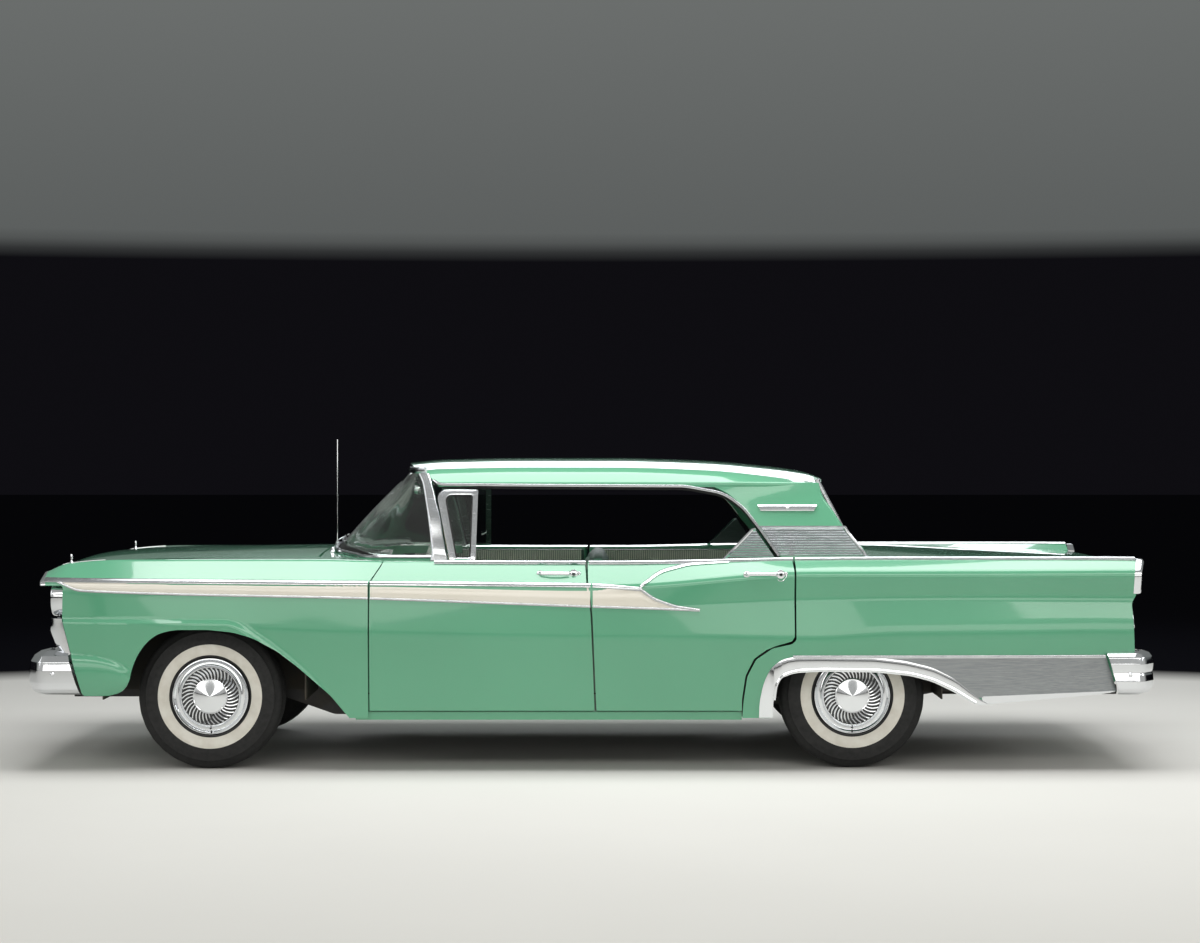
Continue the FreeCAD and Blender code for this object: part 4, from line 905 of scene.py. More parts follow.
SEAFOAM = Enamel("body_enamel_seafoam", "#5BA17E", shade="#579B79")
SEAFOAM_SATIN = Enamel("dash_enamel_seafoam", "#4F8F70", roughness=0.34, shade="#478567")
IVORY = Enamel("ivory_enamel", "#E4DFD4", shade="#DCD6C9")
WHEEL_BLACK = Enamel("wheel_black_enamel", "#141516", roughness=0.3)
CHROME = Chrome("bumper_chrome", "#E9EBEE")
BRIGHT = Brushed("polished_stainless_trim", "#DFE1E3", (1, 14, 14), 0.08, 0.1, "#C2C5C9")
STONE_SHIELD = Brushed("brushed_aluminium_shield", "#A8ABAD", (0.5, 40, 40), 0.12, 0.26, "#8A8E91")
# Darker than the bright ribs: painted shade between the ribs and along the grooves, over the same stainless's
# brushed grain.
GROOVE_SHADE_STEEL = Brushed("ribbed_stainless_panel", "#8E9294", (1, 14, 14), 0.05, 0.3, "#7C8082")
GRILLE_METAL = Brushed("anodised_aluminium_grille", "#BFC2C6", (20, 1, 20), 0.05, 0.3, "#8F9398")
GLASS = Glass("laminated_plate_glass", "#F0F7F2")
RED_LENS = Glass("red_acrylic_lens", "#B3060B", 0.03)
CLEAR_LENS = Glass("fluted_lamp_glass", "#F6F8F8", 0.02)
TYRE = Rubber("black_tyre_rubber", "#0E0E0F", shade="#161616")
WHITEWALL = Rubber("white_sidewall_rubber", "#DEDBD2", 0.5, "#CFCABF")
SEAL = Rubber("black_seal_rubber", "#141414", 0.7, "#1D1D1D")
FRAME_BLACK = ChassisPaint("chassis_black_paint", "#1A1A1B")
UNDERSEAL = ChassisPaint("underseal_coating", "#26241F", 0.7, "#544C40", 0.007)
IRON = ChassisPaint("engine_enamel_on_iron", "#355B4C", 0.4, "#2B2A27", 0.003)
STEEL = ChassisPaint("machined_steel", "#8C8E90", 0.3, "#55504A", 0.002, 1.0)
EXHAUST = ChassisPaint("aluminised_exhaust_steel", "#4A4744", 0.5, "#332821", 0.003, 0.9)
SEAT_CLOTH = Cloth("pattern_seat_cloth", "#5E8D78", 0.0032, "#A9C9B6")
# Each vinyl's shade colour is painted shade, laid in the creases of its grain.
SEAT_VINYL = Vinyl("green_seat_vinyl", "#6FA58B")
TRIM_VINYL = Vinyl("dark_green_trim_vinyl", "#2F5D4A", shade="#1E4033")
PLEATED_VINYL = Vinyl("pale_pleated_vinyl", "#EFF2E4", shade="#D9DFCF")
HEADLINER = Cloth("headliner_cloth", "#C9D3C8", 0.003, "#AEBBB0", 0.2)
CARPET = Cloth("loop_pile_carpet", "#2C4A3D", 0.006, "#1C3128", 0.6)
CREAM = Plastic("cream_hard_rubber", "#DCD3B4")
DIAL = Plastic("dial_black_plastic", "#17191A", 0.4)


def dress(piece: Piece, material: bpy.types.Material) -> Piece:
    """Gives a whole piece one material."""
    piece.data.materials.clear()
    piece.data.materials.append(material)
    return piece


def finish_piece(
    piece: Piece, finish: Finish | None, body: str, *nodes: str, slot: str = "", crease: float = 32
) -> Piece:
    """Shades, dresses and hands over a finished piece.

    Args:
        piece: The mesh, in its place.
        finish: Its finish, or None where its parts already have theirs.
        body: The moving body that it rides on.
        nodes: The frame's pieces that it stands for.
        slot: The record's material slot; not used.
        crease: Angle in degrees past which an edge stays crisp.

    Returns:
        The same piece.
    """
    shaded(piece, crease)
    if finish:
        dress(piece, finish.material())
    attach(piece, body)
    if nodes:
        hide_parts(*nodes)
    LOG.info("%s: %d faces", piece.name, len(piece.data.polygons))
    return piece


# ------------------------------------------------------------------ the car's layout
class Side(Enum):
    """Which side of the car a piece is on, by the sign of its Y."""

    RIGHT = 1
    LEFT = -1

    @property
    def word(self) -> str:
        """The side's name in node names."""
        return self.name.lower()

    def piece(self, right: Piece, name: str) -> Piece:
        """The piece itself on the right, or its mirror image on the left.

        Args:
            right: The right side's piece.
            name: Name of the result.

        Returns:
            The piece for this side.
        """
        if self is Side.RIGHT:
            right.name = name
            return right
        return mirrored(right, name)


@dataclass
class Layout:
    """Where the car's main lines lie. Sections are given in from the side and up from the belt."""

    belt: float = 0.968
    half: float = 0.973
    top: float = 1.445
    skin: float = 0.014
    nose: float = field(init=False)
    tail: float = field(init=False)
    front: float = field(init=False)
    rear: float = field(init=False)
    wing_end: float = field(init=False)
    split: float = field(init=False)
    quarter: float = field(init=False)
    cowl: float = field(init=False)
    rail: float = field(init=False)

    def __post_init__(self) -> None:
        """Reads the frame's boxes."""
        self.nose, self.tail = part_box("front_bumper")[0][0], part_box("rear_bumper")[1][0]
        self.front = sum(corner[0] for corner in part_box("tyre_front_left")) / 2
        self.rear = sum(corner[0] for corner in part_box("tyre_rear_left")) / 2
        self.wing_end = self.front + 0.747
        self.split = self.wing_end + (self.rear - self.front - 1.021) * 0.517
        self.quarter, self.cowl = self.rear - 0.274, self.front + 0.492
        self.rail = self.top - 0.133
        # Body side: x, then how far in from the side and above the belt each corner of the section is,
        # in mm: lid edge, ridge, shoulder, waist, bulge and hem.
        self.stations = [
            (self.nose + 0.092, (263, -62), (173, -50), (62, -88), (58, -130), (62, -262), (70, -520)),
            (self.nose + 0.200, (263, -14), (165, -8), (45, -84), (42, -140), (50, -268), (60, -640)),
            (self.front - 0.423, (268, 4), (163, 8), (28, -84), (25, -150), (20, -275), (40, -718)),
            (self.front, (273, 12), (160, 9), (21, -86), (18, -156), (8, -288), (30, -718)),
            (self.cowl, (278, 16), (157, 8), (18, -90), (13, -162), (3, -318), (30, -718)),
            (self.wing_end + 0.120, (175, 2), (123, 2), (15, -94), (11, -170), (0, -328), (33, -718)),
            (self.split + 0.120, (175, 0), (118, 0), (11, -106), (7, -203), (0, -348), (33, -718)),
            (self.quarter + 0.070, (180, 14), (116, 16), (14, -44), (30, -168), (5, -348), (33, -718)),
            (self.rear + 0.206, (233, 14), (123, 18), (20, -44), (38, -162), (8, -318), (33, -690)),
            (self.rear + 0.668, (228, 2), (123, 18), (26, -45), (50, -160), (14, -308), (42, -650)),
            (self.rear + 1.130, (218, -12), (125, 18), (36, -46), (70, -160), (32, -303), (62, -610)),
            (self.tail - 0.105, (213, -18), (129, 17), (46, -48), (86, -160), (46, -303), (72, -588)),
        ]
        self.crown = [
            (self.nose + 0.092, -58),
            (self.nose + 0.200, 4),
            (self.front - 0.423, 20),
            (self.front, 30),
            (self.cowl, 38),
            (self.cowl + 0.190, 17),
            (self.rear - 0.080, 36),
            (self.rear + 0.206, 30),
            (self.rear + 0.668, 12),
            (self.tail - 0.150, -10),
        ]

    def corners(self, x: float) -> list[Point2]:
        """The six corners (y, z) of the right side's section at x.

        Args:
            x: Place along the car.

        Returns:
            Lid edge, ridge, shoulder, waist, bulge and hem.
        """
        xs = [row[0] for row in self.stations]
        points = []
        for n in range(1, 7):
            inward = pchip(xs, [row[n][0] for row in self.stations], x)
            up = pchip(xs, [row[n][1] for row in self.stations], x)
            points.append((self.half - inward * MM, self.belt + up * MM))
        return points

    def skin_line(self, x: float) -> list[Vector]:
        """The right side's outer section (y, z) at x, from the lid's edge down to the hem."""
        radii = (0, 0.034, 0.044, 0.100, 0.300, 0)
        return rounded([(y, z, r) for (y, z), r in zip(self.corners(x), radii)], closed=False, steps=8)

    def side_y(self, x: float, z: float) -> float:
        """How far out the right side's skin is at x and z, below its ridge.

        Args:
            x: Place along the car.
            z: Height.

        Returns:
            Distance of the skin from the middle.
        """
        line = self.skin_line(x)
        start = max(range(len(line)), key=lambda n: line[n].y)
        for a, b in zip(line[start:], line[start + 1 :]):
            if a.y >= z >= b.y and a.y > b.y:
                return a.x + (b.x - a.x) * (a.y - z) / (a.y - b.y)
        return line[start].x if z > line[start].y else line[-1].x

    def top_z(self, x: float, y: float) -> float:
        """Height of the lids and deck at x and y."""
        centre = self.belt + MM * pchip([row[0] for row in self.crown], [row[1] for row in self.crown], x)
        edge_y, edge_z = self.corners(x)[0]
        return centre + (edge_z - centre) * min(abs(y) / edge_y, 1.0) ** 2


def spans(start: float, end: float, step: float) -> list[float]:
    """Even places from start to end about step apart."""
    count = max(2, round(abs(end - start) / step) + 1)
    return [start + (end - start) * n / (count - 1) for n in range(count)]


def reader(line: Sequence[Sequence[float]]) -> Callable[[float], float]:
    """Gives a function that reads a rounded rising line's x at a height.

    Args:
        line: Corners (x, z, radius), rising.

    Returns:
        The function from height to x.
    """
    points = rounded(line, closed=False)

    def read(z: float) -> float:
        """The line's x at height z.

        Args:
            z: A height.

        Returns:
            The line's x there, held beyond its ends.
        """
        for a, b in zip(points, points[1:]):
            if min(a.y, b.y) <= z <= max(a.y, b.y) and a.y != b.y:
                return a.x + (b.x - a.x) * (z - a.y) / (b.y - a.y)
        return points[0].x if abs(z - points[0].y) < abs(z - points[-1].y) else points[-1].x

    return read


# ------------------------------------------------------------------ body panels
@dataclass
class Bodywork:
    """The painted panels built here: wings, quarters, doors, bonnet, boot lid with its rear drop, and roof
    with its rear pillars; the deck, cowl and tail panel keep the frame's shape.
    """

    lay: Layout
    step: float = 0.02
    lid_gap: float = 0.006

    def slab(
        self,
        start: float,
        end: float,
        inner: float | None = None,
        relief: Callable[[float, float], float] | None = None,
    ) -> Piece:
        """The right side's skin between two stations, as a solid.

        Args:
            start: Forward end.
            end: Rear end.
            inner: Y of a flat inner face, or None for a skin of even thickness.
            relief: How far the skin is pressed out at x and z, or None.

        Returns:
            The closed slab.
        """
        rings = []
        for x in spans(start, end, self.step):
            outer = self.lay.skin_line(x)
            if relief:
                outer = evenly(outer, 110)
                outer = [Vector((p.x + relief(x, p.y), p.y)) if n > 30 else p for n, p in enumerate(outer)]
            if inner is None:
                inside = []
                for n, point in enumerate(outer):
                    along = outer[min(n + 4, len(outer) - 1)] - outer[max(n - 4, 0)]
                    normal = Vector((along.y, -along.x)).normalized()
                    inside.append(point + normal * self.lay.skin)
            else:
                outer = [
                    Vector((max(p.x, inner + 0.002 + 0.0001 * (40 - n)), p.y)) for n, p in enumerate(outer)
                ]
                inside = [Vector((inner, outer[0].y)), Vector((inner, outer[-1].y))]
            rings.append([(x, p.x, p.y) for p in list(outer) + inside[::-1]])
        return loft("slab", rings)

    def outline(self, points: Sequence[Sequence[float]]) -> list[Point2]:
        """Rounds a panel's outline (x, z, radius)."""
        return [(p.x, p.y) for p in rounded([tuple(p) if len(p) == 3 else (*p, 0) for p in points], steps=10)]

    def wing_relief(self, x: float, z: float) -> float:
        """How far the wing is pressed out: a flare round the wheel opening and a pod behind the bumper.

        Args:
            x: Station.
            z: Height.

        Returns:
            Metres outwards.
        """
        front = self.lay.front
        crest = pchip(
            [front - 0.70, front + 0.088, front + 0.227, front + 0.365, front + 0.503, front + 0.641],
            [0.711, 0.707, 0.656, 0.559, 0.435, 0.273],
            x,
        )
        steep = 1 + 1.2 * smooth((x - front - 0.1) / 0.15)
        under = (crest - z) / steep
        flare = 0.013 * smooth(under / 0.022) * (
            1 - 0.55 * smooth((under - 0.03) / 0.25)
        ) if x < front + 0.641 else 0.0
        along = max(x - (front - 0.60), 0) / 0.245
        up = (z - 0.435) / 0.104
        pod = 0.026 * math.sqrt(max(1 - along**2 - up**2, 0)) if x < front - 0.30 else 0.0
        return flare + pod

    def wing(self) -> Piece:
        """Makes the right front wing.

        Returns:
            The closed panel.
        """
        lay, belt = self.lay, self.lay.belt
        nose, front, end = lay.nose, lay.front, lay.wing_end
        line = [
            (nose + 0.092, belt - 0.066, 0.012),
            (nose + 0.110, belt + 0.060),
            (end + 0.056, belt + 0.060),
            (end + 0.056, belt - 0.006, 0.030),
            (end, belt - 0.096, 0.060),
            (end, 0.240),
            (front + 0.668, 0.240),
            (front + 0.572, 0.356, 0.300),
            (front + 0.419, 0.491, 0.300),
            (front + 0.328, 0.561, 0.300),
            (front + 0.219, 0.621, 0.300),
            (front + 0.128, 0.648, 0.300),
            (front + 0.009, 0.660, 0.300),
            (front - 0.146, 0.659, 0.300),
            (front - 0.219, 0.642, 0.300),
            (front - 0.273, 0.602, 0.300),
            (front - 0.319, 0.538, 0.300),
            (front - 0.346, 0.470, 0.300),
            (front - 0.358, 0.410, 0.100),
            (front - 0.392, 0.368, 0.100),
            (front - 0.450, 0.353, 0.100),
            (nose + 0.292, 0.352, 0.020),
            (nose + 0.234, 0.548, 0.030),
            (nose + 0.192, 0.712),
            (nose + 0.196, belt - 0.108, 0.012),
            (nose + 0.100, belt - 0.108, 0.012),
        ]
        slab = self.slab(nose + 0.090, end + 0.058, relief=self.wing_relief)
        return boolean(slab, prism("cutter", self.outline(line), 0.5, 1.1))

    def rear_quarter(self) -> Piece:
        """Makes the right rear quarter, with its fin.

        Returns:
            The closed panel.
        """
        lay, belt = self.lay, self.lay.belt
        tail, rear, start = lay.tail, lay.rear, lay.quarter
        line = [
            (start, belt + 0.060),
            (tail - 0.112, belt + 0.060),
            (tail - 0.112, belt - 0.150, 0.040),
            (tail - 0.135, belt - 0.190, 0.040),
            (tail - 0.125, belt - 0.430),
            (tail - 0.240, 0.385, 0.060),
            (rear + 0.690, 0.325, 0.040),
            (rear + 0.585, 0.310, 0.020),
            (rear + 0.452, 0.392, 0.300),
            (rear + 0.350, 0.436, 0.300),
            (rear + 0.250, 0.462, 0.300),
            (rear + 0.097, 0.474, 0.300),
            (rear - 0.155, 0.476, 0.300),
            (rear - 0.290, 0.470, 0.300),
            (rear - 0.352, 0.446, 0.300),
            (rear - 0.384, 0.400, 0.300),
            (rear - 0.392, 0.322, 0.120),
            (rear - 0.394, 0.240),
            (start - 0.250, 0.240),
            (start - 0.242, 0.336, 0.040),
            (start - 0.226, 0.443, 0.030),
            (start - 0.186, 0.521, 0.030),
            (start - 0.110, 0.573, 0.030),
            (start - 0.020, 0.593, 0.020),
            (start, 0.611, 0.020),
        ]
        slab = self.slab(start - 0.252, tail - 0.106)
        return boolean(slab, prism("cutter", self.outline(line), 0.5, 1.1))

    def door_cutter(
        self, front_line: Callable[[float], float], latch: Callable[[float], float], hinge: Point2, low: float
    ) -> Piece:
        """Room that one right door fills: straight at its hinges, and swept about them at its latch.

        Args:
            front_line: Leading edge's x at a height.
            latch: Shut line's x at a height.
            hinge: X and Y of the hinge axis.
            low: Lowest edge of the door.

        Returns:
            The cutter.
        """
        depths = [0.76, 0.80, 0.84, 0.88, 0.92, 0.96, 1.0]
        rings = []
        for z in spans(low, self.lay.belt + 0.08, 0.02):
            lead, reach = front_line(z), latch(z) - hinge[0]
            arc = [(hinge[0] + math.sqrt(max(reach**2 - (y - hinge[1]) ** 2, 0)), y, z) for y in depths]
            rings.append([(lead, depths[-1], z), (lead, depths[0], z)] + arc)
        return loft("cutter", rings)

    def doors(self) -> tuple[Piece, Piece]:
        """Makes the right doors.

        Returns:
            The front and the rear door.
        """
        lay, belt, end, split = self.lay, self.lay.belt, self.lay.wing_end, self.lay.split
        inner, latch_gap, low = 0.798, 0.008, 0.284
        lead = reader([
            (end + 0.006, low, 0), (end + 0.006, belt - 0.096, 0.06), (end + 0.062, belt - 0.006, 0.03),
            (end + 0.062, belt + 0.1, 0),
        ])
        middle = reader([
            (split + 0.034, 0.238, 0), (split + 0.014, belt - 0.25, 0.06), (split + 0.008, belt - 0.19, 0.06),
            (split - 0.006, belt - 0.11, 0.04), (split - 0.010, belt + 0.1, 0),
        ])
        back = reader([(p[0], p[1], 0.02) for p in (
            (lay.quarter - 0.242, 0.238), (lay.quarter - 0.242, 0.338), (lay.quarter - 0.226, 0.448),
            (lay.quarter - 0.186, 0.528), (lay.quarter - 0.110, 0.580), (lay.quarter - 0.020, 0.600),
            (lay.quarter, 0.618), (lay.quarter, belt + 0.1),
        )])
        hinges = (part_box("front_door_right")[0][0], split - 0.010)
        front_hinge = (end + 0.006, lay.half + 0.002)
        rear_hinge = (hinges[1], lay.half + 0.002)
        front = boolean(
            self.slab(end + 0.004, split + 0.06, inner),
            self.door_cutter(lead, lambda z: middle(z) - latch_gap, front_hinge, low),
        )
        rear = boolean(
            self.slab(split - 0.02, lay.quarter + 0.01, inner),
            self.door_cutter(middle, lambda z: back(z) - latch_gap, rear_hinge, low),
        )
        return front, rear

    def panel(
        self,
        name: str,
        start: float,
        end: float,
        edge: Callable[[float], float],
        depth: float,
        step: float = 0.03,
    ) -> Piece:
        """A crowned panel from side to side.

        Args:
            name: Name of the piece.
            start: Forward end.
            end: Rear end.
            edge: Half width at x.
            depth: Thickness.
            step: Distance between stations.

        Returns:
            The closed panel.
        """
        rings = []
        for x in spans(start, end, step):
            ys = [edge(x) * n / 14 for n in range(-14, 15)]
            over = [(x, y, self.lay.top_z(x, y)) for y in ys]
            rings.append(over + [(x, y, z - depth) for x, y, z in over[::-1]])
        return loft(name, rings)

    def lid_edge(self, x: float) -> float:
        """Half width of the bonnet and boot lid at x."""
        return self.lay.corners(x)[0][0] - self.lid_gap

    def tail_face(self) -> Piece:
        """Makes the boot lid's rear drop, from its top edge down to the bumper.

        Returns:
            The closed panel.
        """
        lay = self.lay
        x, width, low = lay.tail - 0.150, 0.560, 0.703
        rings = []
        for n in range(15):
            y = -width + 2 * width * n / 14
            high = lay.top_z(x, y) - 0.002
            line = [
                (x - 0.020, high, 0), (x + 0.004, high, 0.02), (x + 0.012, high - 0.06, 0.1),
                (x - 0.004, low + 0.08, 0.1), (x - 0.004, low, 0), (x - 0.020, low, 0),
            ]
            rings.append([(p.x, y, p.y) for p in rounded(line, steps=5)])
        return loft("boot_face", rings)

    def roof(self) -> Piece:
        """Makes the flat-topped roof with its turned-down drip rails.

        Returns:
            The closed panel.
        """
        lay = self.lay
        front, rear = lay.front, lay.rear
        table = [
            (front + 0.860, 0.640, -24),
            (front + 1.060, 0.672, -7),
            (front + 1.477, 0.692, 0),
            (rear - 1.120, 0.702, 0),
            (rear - 0.680, 0.702, -12),
            (rear - 0.430, 0.700, -32),
            (rear - 0.180, 0.692, -64),
            (rear - 0.100, 0.686, -92),
        ]
        xs = [row[0] for row in table]
        rings = []
        for x in spans(xs[0], xs[-1], 0.025):
            drip = pchip(xs, [row[1] for row in table], x)
            top = lay.top + MM * pchip(xs, [row[2] for row in table], x)
            half = [
                (0, top, 0), (0.35 * drip, top - 0.004, 0), (0.60 * drip, top - 0.012, 0.5),
                (0.90 * drip, top - 0.046, 0.20), (drip, lay.rail + 0.022, 0.012),
            ]
            under = top - 0.034
            half += [
                (drip, lay.rail, 0.004), (drip - 0.048, lay.rail, 0.004), (0.86 * drip, under - 0.052, 0.03),
                (0.56 * drip, under - 0.012, 0.5), (0, under, 0),
            ]
            ring = [(-y, z, r) for y, z, r in half[:0:-1]] + half[:-1]
            rings.append([(x, p.x, p.y) for p in rounded(ring, steps=8)])
        roof = loft("roof_panel", rings)
        shells = []
        for z in (lay.rail - 0.05, lay.top + 0.05):
            lean = 0.85 * (lay.top - 0.025 - z)
            ys = spans(-0.80, 0.80, 0.04)
            fore = [(front + 0.882 + 0.085 * min(abs(y) / 0.66, 1.0) ** 2.5 + lean, y, z) for y in ys]
            aft = [(rear - 0.098 - 0.058 * min(abs(y) / 0.69, 1.0) ** 3, y, z) for y in ys]
            shells.append(fore + aft[::-1])
        return boolean(roof, loft("roof_outline", shells), "INTERSECT")

    def rear_pillar(self) -> Piece:
        """Makes the right rear pillar: a broad blade that leans in and back under the roof.

        Returns:
            The closed panel.
        """
        lay, height = self.lay, self.lay.rail - self.lay.belt
        levels = [
            (-0.02, -346, 67, 0.818),
            (0.07, -346, 67, 0.812),
            (0.44, -433, -31, 0.768),
            (0.712, -508, -90, 0.735),
            (0.907, -583, -134, 0.712),
            (1.06, -690, -145, 0.696),
        ]
        shares = [row[0] for row in levels]
        rings = []
        for share in spans(shares[0], shares[-1], 0.05):
            fore = lay.rear + MM * pchip(shares, [row[1] for row in levels], share)
            aft = lay.rear + MM * pchip(shares, [row[2] for row in levels], share)
            out = pchip(shares, [row[3] for row in levels], share)
            ring = rounded([
                (fore, out, 0.012), (aft, out - 0.004, 0.014), (aft, out - 0.046, 0.014),
                (fore, out - 0.046, 0.012),
            ], steps=4)
            rings.append([(p.x, p.y, lay.belt + share * height) for p in ring])
        return loft("pillar", rings)

    def build(self) -> None:
        """Makes and dresses the wings, quarters, doors, bonnet, boot lid and roof."""
        lay = self.lay
        wing, quarter = self.wing(), self.rear_quarter()
        for name, right in (("front_wings", wing), ("rear_quarters", quarter)):
            left = mirrored(right, name + "_left")
            finish_piece(
                joined(name + "_panels", [right, left]), SEAFOAM, "body", name, slot="paint", crease=28
            )
        for end, right in zip(("front", "rear"), self.doors()):
            twin = mirrored(right, "twin")
            for side, piece in ((Side.RIGHT, right), (Side.LEFT, twin)):
                piece.name = f"{end}_door_{side.word}_shell"
                finish_piece(
                    piece,
                    SEAFOAM,
                    f"{end}_door_{side.word}",
                    f"{end}_door_{side.word}",
                    slot="paint",
                    crease=28,
                )
        bonnet = self.panel("bonnet_panel", lay.nose + 0.098, lay.cowl - 0.006, self.lid_edge, 0.014)
        finish_piece(bonnet, SEAFOAM, "bonnet", "bonnet", slot="paint")
        lid_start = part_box("boot_lid")[0][0]
        lid = self.panel("boot_lid_panel", lid_start, lay.tail - 0.150, self.lid_edge, 0.014)
        finish_piece(
            joined("boot_lid_panels", [lid, self.tail_face()]), SEAFOAM, "boot_lid", "boot_lid", slot="paint"
        )
        roof = self.roof()
        pillar = self.rear_pillar()
        twin = mirrored(pillar, "pillar_left")
        finish_piece(
            joined("roof_panels", [roof, pillar, twin]), SEAFOAM, "body", "roof", slot="paint", crease=30
        )


# ------------------------------------------------------------------ bright trim
Line = Callable[[float], float]


def course(*points: Point2) -> Line:
    """A smooth line through (x, z) points, read by x."""
    return lambda x: pchip([p[0] for p in points], [p[1] for p in points], x)


@dataclass
class SideTrim:
    """Mouldings, ivory insert, stone shield and handles on the body sides."""

    lay: Layout
    moulding: float = 0.013
    proud: float = 0.006

    def band(
        self,
        name: str,
        start: float,
        end: float,
        low: Line,
        high: Line,
        proud: float,
        step: float = 0.02,
        flat: bool = False,
    ) -> Piece:
        """A strip that lies on the right side's skin between two lines.

        Args:
            name: Name of the strip.
            start: Forward end.
            end: Rear end.
            low: Lower edge's height at x.
            high: Upper edge's height at x.
            proud: How far its middle stands off the skin.
            step: Distance between sections.
            flat: Whether it is flat across, and not crowned.

        Returns:
            The closed strip.
        """
        shape = (
            (0, 0.25), (0.12, 0.8), (0.5, 1.0), (0.88, 0.8), (1, 0.25)
        ) if not flat else ((0, 0.6), (0.03, 1), (0.5, 1), (0.97, 1), (1, 0.6))
        rings = []
        for x in spans(start, end, step):
            ring = []
            bottom, rise = low(x), high(x) - low(x)
            for share, lift in shape:
                z = bottom + share * rise
                ring.append((x, self.lay.side_y(x, z) + lift * proud, z))
            for share, _ in shape[::-1]:
                z = bottom + share * rise
                ring.append((x, self.lay.side_y(x, z) - 0.004, z))
            rings.append(ring)
        return loft(name, rings)

    def moulded(
        self, name: str, path: Sequence[Point2], width: float, proud: float, closed: bool = False
    ) -> Piece:
        """A half-round strip that runs along any line on the right side's skin.

        Args:
            name: Name of the strip.
            path: Its centre line as (x, z) points.
            width: Width of the strip.
            proud: How far it stands off the skin.
            closed: Whether the line is a loop.

        Returns:
            The closed strip.
        """
        section = [(-0.5, -0.5), (-0.5, 0.25), (-0.36, 0.8), (0, 1.0), (0.36, 0.8), (0.5, 0.25), (0.5, -0.5)]
        count = len(path)
        rings = []
        for n, (x, z) in enumerate(path):
            back = Vector(path[n - 1]) if closed or n else Vector(path[0])
            ahead = Vector(path[(n + 1) % count]) if closed or n < count - 1 else Vector(path[-1])
            along = (ahead - back).normalized()
            aside = Vector((-along.y, along.x))
            ring = []
            for share, lift in section:
                px, pz = x + aside.x * share * width, z + aside.y * share * width
                ring.append((px, self.lay.side_y(px, pz) + lift * proud, pz))
            rings.append(ring)
        if closed:
            rings.append(rings[0])
        return loft(name, rings, closed=True, caps=not closed)

    def applique(
        self, name: str, outline: Sequence[Sequence[float]], proud: float, start: float, end: float
    ) -> Piece:
        """A sheet pressed to the right side's skin inside an outline.

        Args:
            name: Name of the sheet.
            outline: Its edge as (x, z, radius).
            proud: How far it stands off the skin.
            start: Forward end.
            end: Rear end.

        Returns:
            The closed sheet.
        """
        rings = []
        for x in spans(start - 0.01, end + 0.01, 0.02):
            line = [p for p in self.lay.skin_line(x)]
            outer = [(x, p.x + proud, p.y) for p in line[9:]]
            inner = [(x, p.x - 0.003, p.y) for p in line[9:]]
            rings.append(outer + inner[::-1])
        shape = [(p.x, p.y) for p in rounded(outline, steps=8)]
        return boolean(loft(name, rings), prism("cutter", shape, 0.5, 1.1))

    def both(
        self, right: Piece, name: str, finish: Finish, body: str, slot: str = "chrome", crease: float = 40
    ) -> None:
        """Hands over a strip and its twin.

        Args:
            right: The right side's strip.
            name: Name of the pair.
            finish: Their finish.
            body: The body that they ride on, with {} where a door's side stands.
            slot: The record's material slot.
            crease: Angle in degrees past which an edge stays crisp.
        """
        left = mirrored(right, f"{name}_left")
        if "{}" in body:
            right.name = f"{name}_right"
            for side, piece in ((Side.RIGHT, right), (Side.LEFT, left)):
                finish_piece(piece, finish, body.format(side.word), slot=slot, crease=crease)
        else:
            finish_piece(joined(name, [right, left]), finish, body, slot=slot, crease=crease)

    def build(self) -> None:
        """Makes and dresses the trim of both sides."""
        self.flash()
        self.belt_line()
        self.wheel_arch()
        self.shield()
        self.handles()

    def flash(self) -> None:
        """The two long mouldings that open rearwards, with ivory between them, ending in an arrow."""
        lay = self.lay
        upper = course((-2.505, 0.891), (-1.3, 0.880), (-0.006, 0.868), (0.224, 0.850))
        lower = course(
            (-2.470, 0.880), (-2.357, 0.838), (-1.02, 0.8035), (-0.006, 0.7666), (0.30, 0.757), (0.519, 0.748)
        )
        arrow = course((0.224, 0.850), (0.262, 0.822), (0.303, 0.794), (0.386, 0.7666), (0.519, 0.752))
        gap = 0.005
        lead, split = lay.wing_end, lay.split
        runs = (
            ("wing", -2.470, lead - 0.001, "body"),
            ("front_door", lead + gap + 0.004, split + 0.004, "front_door_{}"),
            ("rear_door", split + 0.014, 0.500, "rear_door_{}"),
        )
        half = self.moulding / 2
        for part, start, end, body in runs:
            top_end = min(end, 0.224)
            strip = self.band(
                f"{part}_upper",
                -2.535 if part == "wing" else start,
                top_end,
                lambda x: upper(x) - half - 0.008,
                lambda x: upper(x) + half,
                self.proud,
            )
            self.both(strip, f"{part}_upper_moulding", BRIGHT, body)
            strip = self.band(
                f"{part}_lower", start, end, lambda x: lower(x) - half, lambda x: lower(x) + half, self.proud
            )
            self.both(strip, f"{part}_lower_moulding", BRIGHT, body)
            ceiling: Line = (lambda x: upper(x) if x < 0.224 else arrow(x)) if part == "rear_door" else upper
            insert = self.band(
                f"{part}_ivory",
                start + 0.001,
                end - (0.02 if part == "rear_door" else 0.001),
                lambda x: lower(x),
                lambda x: max(ceiling(x), lower(x) + 0.002),
                0.0022,
                flat=True,
            )
            self.both(insert, f"{part}_ivory_insert", IVORY, body, slot="paint")
        rise = [(p.x, p.y) for p in evenly(rounded([
            (0.500, 0.750, 0), (0.386, 0.7666, 0.2), (0.290, 0.800, 0.2), (0.218, 0.852, 0.012),
            (0.317, 0.926, 0.20), (0.455, 0.960, 0.3), (0.640, 0.972, 0),
        ], closed=False, steps=8), 60)]
        self.both(
            self.moulded("arrow", rise, 0.015, 0.008), "rear_door_arrow_moulding", BRIGHT, "rear_door_{}"
        )

    def ridge_path(self, start: float, end: float) -> list[Vector]:
        """The line along the top of the right side between two stations."""
        return [
            Vector((x, self.lay.corners(x)[1][0], self.lay.corners(x)[1][1])) for x in spans(start, end, 0.03)
        ]

